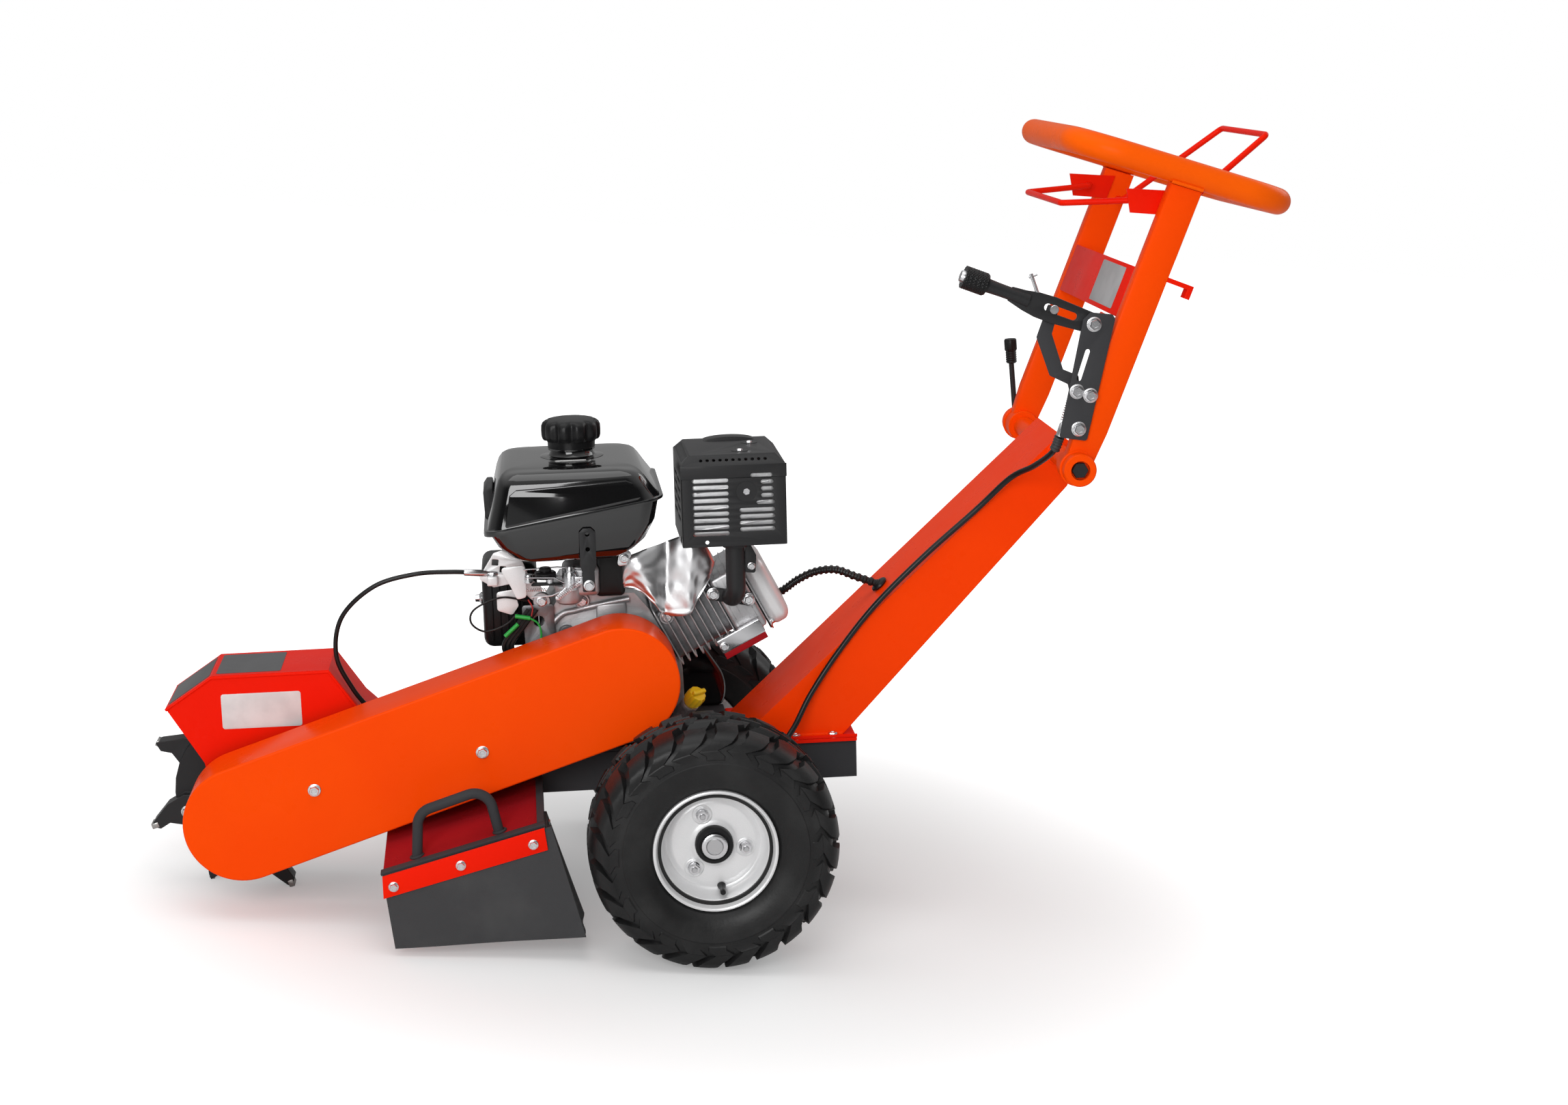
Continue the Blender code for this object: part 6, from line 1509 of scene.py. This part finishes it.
# %% Oil filler, fan housing and recoil starter
root, mouth = np.array([-0.04, -0.0505, 0.293]), np.array([-0.014, -0.082, 0.334])
dip_way = unit(mouth - root)
spout = [(0.01, 0.012), (0.0126, 0.012), (0.0126, 0.048), (0.0138, 0.05), (0.0138, 0.058), (0.01, 0.058)]
turned("oil_filler_neck", spout, root, dip_way, CAST, "chassis", 32, closed=True)
knurl_turn = np.linspace(0, 2 * pi, 96, endpoint=False)
knurl_profile = np.array([(0.0, 0.0236), (0.009, 0.0238), (0.0128, 0.023), (0.0144, 0.0205), (0.0145, 0.006),
    (0.0138, 0.0035), (0.012, 0.003), (0.0118, 0.0005), (0.0, 0.0005)])
knurl_depth = np.array([0, 0, 0.04, 0.1, 0.1, 0.06, 0, 0, 0])
radius = knurl_profile[:, :1] * (1 - knurl_depth[:, None] * (0.5 - 0.5 * np.cos(12 * knurl_turn)) ** 0.7)
across = unit(np.cross(dip_way, UP))
over = np.cross(dip_way, across)
points = (mouth + radius[..., None] * (across * np.cos(knurl_turn)[:, None]
    + over * np.sin(knurl_turn)[:, None]) + knurl_profile[:, None, 1:] * dip_way)
made = grid("dipstick_cap", points, YELLOW, "oil_dipstick", False, True, True, 35)
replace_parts(made, "oil_dipstick")
grip_axes = np.array([across, dip_way, np.cross(across, dip_way)])
soft_box("dipstick_cap_bar", (-0.012, 0.0215, -0.0035), (0.012, 0.03, 0.0035), 0.0022, YELLOW,
    "oil_dipstick", 3, (grip_axes, mouth))

eased("fan_housing", 0.01, GLOSS_BLACK, "chassis", 4)
FAN_Y = 0.1853
starter_profile = [(0.104, FAN_Y - 0.004), (0.104, FAN_Y + 0.0015), (0.0995, FAN_Y + 0.0025),
    (0.098, FAN_Y + 0.006), (0.0975, FAN_Y + 0.024), (0.0945, FAN_Y + 0.031), (0.0885, FAN_Y + 0.0355),
    (0.08, FAN_Y + 0.0368), (0.044, FAN_Y + 0.0375), (0.0405, FAN_Y + 0.036), (0.0385, FAN_Y + 0.029),
    (0.032, FAN_Y + 0.024), (0.0, FAN_Y + 0.0235)]
made = turned("recoil_cover", starter_profile, CRANK, (0, 1, 0), MOULDED_BLACK, "chassis", 72)
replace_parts(made, "recoil_starter")
# black film over each slot stands for the shade inside the opening: painted shade
for ring, (inner, outer, count, shift) in enumerate(((0.047, 0.061, 18, 0.0), (0.065, 0.082, 24, 0.5))):
    for k in range(count):
        turn = 2 * pi * (k + shift) / count
        way = np.array([cos(turn), sin(turn)])
        slot = pill(np.array(CRANK_AXIS) + way * inner, np.array(CRANK_AXIS) + way * outer, 0.0026, 0.0026, 5)
        sheet(f"recoil_slot_{ring}_{k}", slot, FAN_Y + 0.0362, FAN_Y + 0.0382, GASKET_AND_SLOT_SHADE, "chassis", (), 0.0003)
for number in range(4):
    place = CRANK + 0.1 * spoke(radians(45 + 90 * number)) + (0, FAN_Y + 0.0015, 0)
    bolt(f"recoil_bolt_{number}", place, (0, 1, 0), "chassis", 0.0085, 0.0055)
turned("recoil_hub_bolt", [(0, 0), (0.01, 0), (0.01, 0.002), (0.007, 0.003), (0.007, 0.007), (0, 0.007)],
    CRANK + (0, FAN_Y + 0.0235, 0), (0, 1, 0), PLATED, "chassis", 24)
PULL_REACH, PULL_TURN = 0.1093, radians(40)
pull = CRANK + PULL_REACH * spoke(PULL_TURN)
grip_profile = [(0, 0.1867), (0.0075, 0.1867), (0.0098, 0.189), (0.01, 0.194), (0.0088, 0.2),
    (0.0084, 0.205), (0.0088, 0.211), (0.01, 0.217), (0.0098, 0.221), (0.0078, 0.2232), (0, 0.2232)]
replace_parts(turned("starter_handle", grip_profile, pull, (0, 1, 0), MOULDED_BLACK, "starter_grip", 28),
    "starter_grip")
print("far side of the engine made")

# %% [markdown]
# ## Handle
#
# Two rectangular posts turn on the column's cross tube and carry a closed loop of heavy tube.  The loop is
# a circle carried round a rounded rectangle, so it has no seam.  The bails are 9 mm rod bent the same way.
# Posts are plates with generous corners, as rolled tube has, and the tabs and the hook are welded on.

# %% Posts and loop
FOLD = np.array(FOLD_AXIS)
POST_LEAN = radians(21.67)
UP_POST = np.array([sin(POST_LEAN), cos(POST_LEAN)])
BACK = np.array([cos(POST_LEAN), -sin(POST_LEAN)])


def on_post(along, back):
    return FOLD + UP_POST * along + BACK * back


HALF_DEPTH = 0.0235
post_outline = [on_post(0.0, -HALF_DEPTH + 0.004), on_post(0.0, HALF_DEPTH - 0.004),
    on_post(0.06, HALF_DEPTH), on_post(0.4285, HALF_DEPTH), on_post(0.4254, -HALF_DEPTH),
    on_post(0.06, -HALF_DEPTH)]
tab_outline = [(0.622, 1.0866), on_post(0.418, -0.006), on_post(0.38, -0.006),
    on_post(0.377, -HALF_DEPTH + 0.002), (0.6273, 1.0521)]
boss_profile = [(0.0082, 0.1783), (0.0225, 0.1783), (0.0238, 0.1797), (0.0238, 0.2335), (0.0222, 0.2355),
    (0.014, 0.2355), (0.0138, 0.225), (0.0082, 0.2245)]
for name, side in (("near", -1), ("far", 1)):
    low, high = sorted((side * 0.1875, side * 0.2125))
    post = sheet(name + "_post_tube", post_outline, low, high, ORANGE, "handle", (), 0.0034, 40)
    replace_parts(post, name + "_post")
    turned(name + "_post_boss", boss_profile, FOLD_CENTRE, (0, side, 0), ORANGE, "handle", 56, closed=True)
    low, high = sorted((side * 0.1843, side * 0.1876))
    sheet(name + "_bail_tab", tab_outline, low, high, RED, "handle", (), 0.0007)
    round_weld(name + "_boss_weld", FOLD_AXIS, side * 0.2128, 0.0243, 0.0018, "handle", ORANGE)
    ends = on_post(0.427, -HALF_DEPTH), on_post(0.43, HALF_DEPTH)
    loop_bead = [(x, side * 0.2128, z + 0.001) for x, z in ends]
    weld(name + "_loop_weld", loop_bead, 0.0026, "handle", LOOP_ORANGE)
hook = [on_post(0.3, HALF_DEPTH - 0.002), on_post(0.3, HALF_DEPTH + 0.04), on_post(0.28, HALF_DEPTH + 0.04),
    on_post(0.28, HALF_DEPTH + 0.032), on_post(0.293, HALF_DEPTH + 0.032), on_post(0.293, HALF_DEPTH - 0.002)]
sheet("cable_hook", hook, -0.211, -0.189, RED, "handle", (), 0.001)
socket_bolt = [(0.0, -0.233), (0.0115, -0.233), (0.012, -0.2322), (0.012, -0.2248), (0.0, -0.2248)]
made = turned("fold_bolt_head", socket_bolt, FOLD_CENTRE, (0, 1, 0), SATIN_BLACK, "handle", 6)
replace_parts(made, "pivot_bolt")
turned("fold_bolt_shank", [(0, -0.225), (0.0078, -0.225), (0.0078, 0.234), (0, 0.234)], FOLD_CENTRE,
    (0, 1, 0), SHAFT, "handle", 28)

LOOP_SLOPE, LOOP_LENGTH, LOOP_HALF_WIDTH = radians(17.9), 0.3165, 0.2
loop_middle = on_post(0.4463, -0.0048)
loop_way = np.array([cos(LOOP_SLOPE), -sin(LOOP_SLOPE)])
loop_corners = []
for reach, y in ((-1, -1), (1, -1), (1, 1), (-1, 1)):
    x, z = loop_middle + loop_way * reach * LOOP_LENGTH / 2
    loop_corners.append((x, y * LOOP_HALF_WIDTH, z))
loop_path = rounded_path(loop_corners, 0.07, 16, closed=True)
loop_hint = (sin(LOOP_SLOPE), 0, cos(LOOP_SLOPE))
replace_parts(tube("handle_loop_tube", loop_path, 0.019, LOOP_ORANGE, "handle", 40, True, loop_hint),
    "handle_loop")

placard = [(-0.1868, 0.222), (0.1868, 0.222), (0.1868, 0.298), (-0.1868, 0.298)]
PLACARD_VIEW = np.array([(0, 1, 0), (UP_POST[0], 0, UP_POST[1]), (-BACK[0], 0, -BACK[1])])
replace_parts(plate("placard_sheet", rounded_outline(placard, 0.002, 3), 0.0205, 0.0235, RED, "handle", (),
    0.0007, PLACARD_VIEW, FOLD_CENTRE), "placard_plate")
label = rounded_outline([(-0.15, 0.229), (-0.01, 0.229), (-0.01, 0.292), (-0.15, 0.292)], 0.003, 3)
plate("placard_label", label, 0.0235, 0.0239, LABEL_GREY, "handle", (), 0.0001, PLACARD_VIEW, FOLD_CENTRE)
lower = rounded_outline([(-0.1868, 0.185), (-0.09, 0.185), (-0.09, 0.219), (-0.1868, 0.219)], 0.002, 3)
plate("placard_lower_plate", lower, 0.0185, 0.021, ORANGE, "handle", (), 0.0007, PLACARD_VIEW, FOLD_CENTRE)


def bail(name, axis, tip, root_y, leg_y, tip_y):
    """A rod bent across the machine: short pins in the tabs, two legs and a bar."""
    half = [(axis[0], -root_y, axis[1]), (axis[0], -leg_y, axis[1]), (tip[0], -tip_y, tip[1])]
    path = half + [(x, -y, z) for x, y, z in reversed(half)]
    points = rounded_path(path, 0.0095, 8)
    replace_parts(tube(name + "_rod", points, 0.0045, RED, name, 20, side_hint=(0.32, 0.09, 0.94)), name)


bail("front_bail", (0.65, 1.068), (0.542, 1.064), 0.1842, 0.166, 0.122)
bail("rear_bail", (0.7, 1.045), (0.846, 1.153), 0.1872, 0.158, 0.118)
collar = [(0, 0.2358), (0.0125, 0.2358), (0.014, 0.2372), (0.014, 0.25), (0.0126, 0.2515), (0, 0.2515)]
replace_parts(turned("clamp_lever_boss", collar, FOLD_CENTRE, (0, 1, 0), SATIN_BLACK, "clamp_lever", 32),
    "clamp_lever")
rod("clamp_lever_rod", [(FOLD_AXIS[0] - 0.0003, 0.2445, FOLD_AXIS[1] + 0.008), (0.5398, 0.2445, 0.784)],
    0.0043, SATIN_BLACK, "clamp_lever", sides=18)


def knurled(name, start, end, profile, lobes, depth, material, body, twist=0.0):
    """A turned grip that ripples: radius * (1 + depth * cos(lobes * turn + twist * length))."""
    start, end = np.asarray(start, float), np.asarray(end, float)
    axis, length = unit(end - start), float(np.linalg.norm(end - start))
    across = unit(np.cross(axis, (0.05, 1, 0.02)))
    over = np.cross(axis, across)
    profile = np.asarray(profile, float)
    turn = np.linspace(0, 2 * pi, lobes * 6, endpoint=False)
    body_share = np.clip((profile[:, 0] / profile[:, 0].max() - 0.86) / 0.1, 0, 1)
    ripple = 1 + depth * body_share[:, None] * np.cos(lobes * turn[None] + twist * profile[:, 1:])
    radius = profile[:, :1] * ripple
    points = (start + axis * length * profile[:, None, 1:] + radius[..., None]
        * (across * np.cos(turn)[:, None] + over * np.sin(turn)[:, None]))
    return grid(name, points, material, body, False, True, True, 30)


knob_rows = [(0.0, 0.0), (0.007, 0.0), (0.008, 0.03)]
knob_rows += [(0.009 - 0.001 * (k % 2), 0.06 + 0.045 * k) for k in range(10)]
knob_rows += [(0.0098, 0.55), (0.0098, 0.93), (0.0088, 0.98), (0.0, 1.0)]
knurled("clamp_lever_knob", (0.5402, 0.2445, 0.783), (0.538, 0.2445, 0.823), knob_rows, 16, 0.03,
    MOULDED_BLACK, "clamp_lever")
print("handle made")

# %% [markdown]
# ## Parking brake
#
# A slotted lever on a folded bracket pulls the brake cable through a bent link.  Lever and link are
# laser-cut plate; the grip has a diamond knurl, which is two crossing spirals; and the bracket is held to
# the post by four flange bolts and has a slot that the link's pin runs in.

# %% Brake lever
LEVER_AXIS, LEVER_TIP = np.array([0.569, 0.898]), np.array([0.382, 0.971])
LEVER_Y = -0.2065
lever_way = unit(LEVER_TIP - LEVER_AXIS)
lever_up = np.array([lever_way[1], -lever_way[0]])


def on_lever(along, up):
    return LEVER_AXIS + lever_way * along + lever_up * up


def at_lever(along, up=0.0):
    x, z = on_lever(along, up)
    return np.array([x, LEVER_Y, z])


hub_arc = [on_lever(0.0155 * cos(radians(a)), 0.0155 * sin(radians(a))) for a in range(-110, -251, -10)]
lever_outline = [on_lever(0.128, -0.0105), on_lever(0.104, -0.0165), on_lever(0.085, -0.0195),
    on_lever(0.06, -0.02), *hub_arc, on_lever(0.062, 0.0175), on_lever(0.088, 0.016),
    on_lever(0.106, 0.0125), on_lever(0.128, 0.0105)]
slot_hole = pill(on_lever(0.03, 0), on_lever(0.07, 0), 0.0055, 0.0055, 12)
made = sheet("brake_lever_plate", lever_outline, LEVER_Y - 0.004, LEVER_Y + 0.004, SATIN_BLACK,
    "brake_lever", [slot_hole, circle(LEVER_AXIS, 0.0045)], 0.0014, 40)
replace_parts(made, "brake_lever")
neck_share = np.linspace(0, 1, 14)
neck_path = np.array([at_lever(0.1 + 0.069 * s) for s in neck_share])
neck_radius = 0.0105 - 0.0012 * np.sin(neck_share * pi)
tube("brake_lever_neck", neck_path, neck_radius, SATIN_BLACK, "brake_lever", 26, side_hint=(0, 1, 0))
turned("brake_lever_collar", [(0.0095, 0), (0.015, 0.0005), (0.0158, 0.002), (0.0158, 0.005),
    (0.0095, 0.006)], at_lever(0.164), (at_lever(1) - at_lever(0)), MOULDED_BLACK, "brake_lever", 32,
    closed=True)


def diamond_grip(name, start, end, radius, material, body):
    """Two crossing spirals cut the skin: depth = |sin(n turn + k length)| * |sin(n turn - k length)|."""
    axis, length = unit(end - start), float(np.linalg.norm(end - start))
    across = unit(np.cross(axis, (0, 1, 0)))
    over = np.cross(axis, across)
    columns = 120
    turn = np.linspace(0, 2 * pi, columns, endpoint=False)
    rows = np.linspace(0, 1, 34)
    pattern = np.abs(np.sin(10 * turn[None] + 30 * rows[:, None])) * np.abs(np.sin(10 * turn[None] - 30
        * rows[:, None]))
    shell = radius - 0.0012 + 0.0012 * pattern
    rows_all = np.concatenate([[0, 0.0], rows, [1.0, 1.0]])
    shell = np.vstack([np.full((1, columns), radius * 0.66), np.full((1, columns), radius * 0.93), shell,
        np.full((1, columns), radius * 0.93), np.full((1, columns), radius * 0.6)])
    points = (start + axis * length * rows_all[:, None, None] + shell[..., None]
        * (across * np.cos(turn)[:, None] + over * np.sin(turn)[:, None]))
    return grid(name, points, material, body, False, True, True, 30)


diamond_grip("brake_lever_grip", at_lever(0.1667), at_lever(0.2), 0.017, MOULDED_BLACK, "brake_lever")
button = [(0, 0.1886), (0.009, 0.1886), (0.009, 0.2025), (0.008, 0.2045), (0.005, 0.2052), (0, 0.2052)]
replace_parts(turned("lever_button_cap", button, at_lever(0), at_lever(1) - at_lever(0), PLATED,
    "lever_button", 28), "lever_button")
rod("lever_latch_rod", [at_lever(0.088, 0.01) + (0, -0.001, 0), at_lever(0.11, 0.036) + (0, -0.001, 0)],
    0.0028, PLATED, "brake_lever")
rod("lever_latch_pin", [at_lever(0.106, 0.0345) + (0.006, 0, 0.002),
    at_lever(0.106, 0.0345) + (-0.006, 0, -0.002)], 0.002, PLATED, "brake_lever")
pin = [(0, -0.2142), (0.0058, -0.2142), (0.0064, -0.2136), (0.0064, -0.2108), (0.0045, -0.2106),
    (0.0045, -0.2024), (0, -0.2024)]
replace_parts(turned("roller_pin_turned", pin, (0.5126, 0, 0.9203), (0, 1, 0), PLATED, "brake_lever", 28),
    "roller_pin")

link_outline = [(0.506, 0.927), (0.4889, 0.8802), (0.5081, 0.8243), (0.5345, 0.811), (0.538, 0.796),
    (0.552, 0.799), (0.55, 0.823), (0.5274, 0.8327), (0.5111, 0.8844), (0.5215, 0.921)]
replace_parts(sheet("brake_link_plate", rounded_outline(link_outline, 0.0024, 3), -0.2022, -0.1982, DARK,
    "brake_link", [circle((0.5444, 0.8024), 0.0045)], 0.0008), "brake_link")
bracket_outline = [(0.5189, 0.7364), (0.559, 0.73), (0.6, 0.905), (0.596, 0.911), (0.564, 0.915),
    (0.5535, 0.905)]
bracket_slot = pill((0.56, 0.859), (0.5476, 0.8206), 0.0036, 0.0036, 8)
made = sheet("brake_bracket_plate", rounded_outline(bracket_outline, 0.004, 3), -0.2168, -0.2128, DARK,
    "handle", [bracket_slot], 0.0009)
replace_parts(made, "brake_bracket")
for number, (x, z) in enumerate(((0.569, 0.898), (0.5444, 0.8024), (0.564, 0.796), (0.547, 0.748))):
    turned(f"bracket_washer_{number}", [(0, 0), (0.0108, 0), (0.0108, -0.001), (0.0098, -0.0016),
        (0, -0.0016)], (x, -0.2168, z), (0, 1, 0), PLATED, "handle", 28)
    bolt(f"bracket_bolt_{number}", (x, -0.2183, z), NEAR, "handle", 0.0132, 0.008)
for name, centre, end in (("lever", (0.569, 0.898), -0.1985), ("link", (0.5444, 0.8024), -0.1955)):
    turned(name + "_pivot_shank", [(0, -0.217), (0.0041, -0.217), (0.0041, end), (0, end)],
        (centre[0], 0, centre[1]), (0, 1, 0), SHAFT, "handle", 20)
print("brake lever made")

# %% [markdown]
# ## Cables
#
# A control cable is a steel wire in a black sheath, with a plated ferrule at each end and a rubber boot
# where it meets its lever.  Both ends are held, so the sheath follows one smooth curve between them.  The
# brake cable crosses the folding joint, and its curve runs from the handle down beside the column.

# %% Cable runs
BESIDE = -0.0872
brake_route = [(0.5215, -0.2065, 0.736), (0.514, -0.193, 0.712), (0.496, -0.15, 0.685),
    (0.468, -0.108, 0.66), (0.42, BESIDE, 0.61), (0.34, BESIDE, 0.542), (0.265, BESIDE, 0.47),
    (0.208, BESIDE, 0.4), (0.165, -0.096, 0.34), (0.135, -0.114, 0.292), (0.1, -0.14, 0.262),
    (0.05, -0.173, 0.252), (0.014, -0.19, 0.25)]
throttle_route = [(-0.488, -0.05, 0.333), (-0.515, -0.052, 0.372), (-0.536, -0.056, 0.425),
    (-0.524, -0.064, 0.485), (-0.475, -0.07, 0.53), (-0.415, -0.07, 0.546), (-0.36, -0.065, 0.546),
    (-0.3225, -0.061, 0.542)]
harness_route = [(0.146, 0.03, 0.478), (0.164, 0.03, 0.49), (0.19, 0.025, 0.502), (0.22, 0.015, 0.506),
    (0.25, 0.005, 0.496), (0.285, 0.0, 0.4835)]


CABLE_HINT = (0.12, 0.95, 0.28)


BEND_START, BEND_END = park((0.45, -0.095, 0.64)), park((0.515, -0.195, 0.715))
brake_path = curve_through(brake_route, 200)
brake_sheath = tube("brake_cable_sheath", brake_path, 0.0043, SHEATH, None, side_hint=CABLE_HINT)
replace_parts(brake_sheath, "brake_cable")
tuple(BEND_START)
tuple(BEND_END)
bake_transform(brake_sheath)
# the boot covers the first rings of the sheath, and its radius ripples as a bellows
BOOT_RINGS = 14
boot_radius = 0.0068 + 0.0011 * np.sin(np.arange(BOOT_RINGS) * 2.1)
boot = tube("brake_cable_boot", brake_path[:BOOT_RINGS], boot_radius, FLAP, None, side_hint=CABLE_HINT)
tuple(BEND_START)
tuple(BEND_END)
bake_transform(boot)
turned("brake_cable_ferrule", [(0, 0), (0.0058, 0), (0.0062, 0.002), (0.0062, 0.018), (0.0048, 0.02),
    (0, 0.02)], (0.5215, -0.2065, 0.7365), (0.32, -0.02, 0.94), PLATED, "handle", 22)
rod("brake_wire", [(0.525, -0.2065, 0.755), (0.54, -0.204, 0.799)], 0.0012, SHAFT, "handle")
tube("brake_spring", helix((0.5275, -0.2065, 0.76), (0.5375, -0.205, 0.79), 0.0046, 9), 0.0008, SHAFT,
    "handle", 6, side_hint=(0.5, 0.3, 0.1))
turned("brake_cable_lower_ferrule", [(0, 0), (0.0055, 0), (0.006, 0.002), (0.006, 0.016), (0, 0.018)],
    (0.015, -0.1896, 0.25), (-0.9, -0.35, -0.2), PLATED, "chassis", 22)
throttle_sheath = tube("throttle_cable_sheath", curve_through(throttle_route, 120), 0.0035, SHEATH,
    "chassis", side_hint=CABLE_HINT)
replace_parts(throttle_sheath, "throttle_cable")
throttle_end = np.array(throttle_route[-1])
throttle_way = unit(throttle_end - np.array(throttle_route[-2]))
ferrule = [(0, -0.02), (0.0046, -0.02), (0.005, -0.018), (0.005, 0.012), (0.0036, 0.014), (0.0036, 0.028),
    (0.0022, 0.03), (0, 0.03)]
turned("throttle_cable_ferrule", ferrule, throttle_end, throttle_way, PLATED, "chassis", 22)
rod("throttle_wire", [throttle_end + throttle_way * 0.028, (-0.26, -0.07, 0.54), (-0.19, -0.106, 0.54)],
    0.0009, PLATED, bend=0.01)
turned("throttle_guard_ferrule", [(0, 0), (0.005, 0), (0.0054, 0.002), (0.0054, 0.012), (0.004, 0.014),
    (0, 0.014)], (-0.4868, -0.0499, 0.3312), (-0.53, 0, 0.85), PLATED, "chassis", 22)
# the harness is wound in tape, so its radius steps
HARNESS_RINGS = 160
harness = curve_through([(0.105, 0.04, 0.45), (0.126, 0.034, 0.464), *harness_route], HARNESS_RINGS)
wrap = 0.006 + 0.0007 * np.sign(np.sin(np.arange(HARNESS_RINGS) * 1.05))
made = tube("harness_wrap", harness, wrap, SHEATH, "chassis", 16, side_hint=(0.1, 0.99, 0.1))
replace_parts(made, "wiring_harness")

# the ignition leads at the front of the engine: a black loop and two green-sleeved connectors
loop_lead = curve_through([(-0.252, -0.068, 0.498), (-0.29, -0.07, 0.505), (-0.329, -0.074, 0.49),
    (-0.335, -0.076, 0.47), (-0.315, -0.076, 0.456), (-0.285, -0.074, 0.464), (-0.266, -0.072, 0.48)], 60)
tube("ignition_lead", loop_lead, 0.0016, SHEATH, "chassis", 10, side_hint=(0.1, 0.97, 0.2))
for number, shift in enumerate((0.0, 0.006, 0.012)):
    strand = curve_through([(-0.25 + shift, -0.07, 0.485), (-0.27 + shift, -0.074, 0.46),
        (-0.288 + shift, -0.074, 0.435), (-0.282 + shift, -0.072, 0.418),
        (-0.256 + shift * 0.4, -0.07, 0.425)], 30)
    tube(f"ignition_bundle_{number}", strand, 0.0034, SHEATH, "chassis", 10, side_hint=(0.1, 0.97, 0.2))
for number, points in enumerate((((-0.286, -0.079, 0.448), (-0.266, -0.08, 0.466)),
        ((-0.27, -0.079, 0.478), (-0.248, -0.08, 0.474)))):
    rod(f"lead_sleeve_{number}", points, 0.0032, GREEN, sides=14)
green_lead = curve_through([(-0.248, -0.08, 0.474), (-0.236, -0.079, 0.464), (-0.233, -0.078, 0.445),
    (-0.242, -0.078, 0.426), (-0.26, -0.078, 0.42)], 36)
tube("green_lead", green_lead, 0.0015, GREEN, "chassis", 8, side_hint=(0.1, 0.97, 0.2))
red_lead = curve_through([(-0.25, -0.07, 0.5), (-0.244, -0.072, 0.488), (-0.246, -0.076, 0.476)], 20)
tube("red_lead", red_lead, 0.0011, RED_WIRE, "chassis", 8, side_hint=(0.1, 0.97, 0.2))
print("cables made")
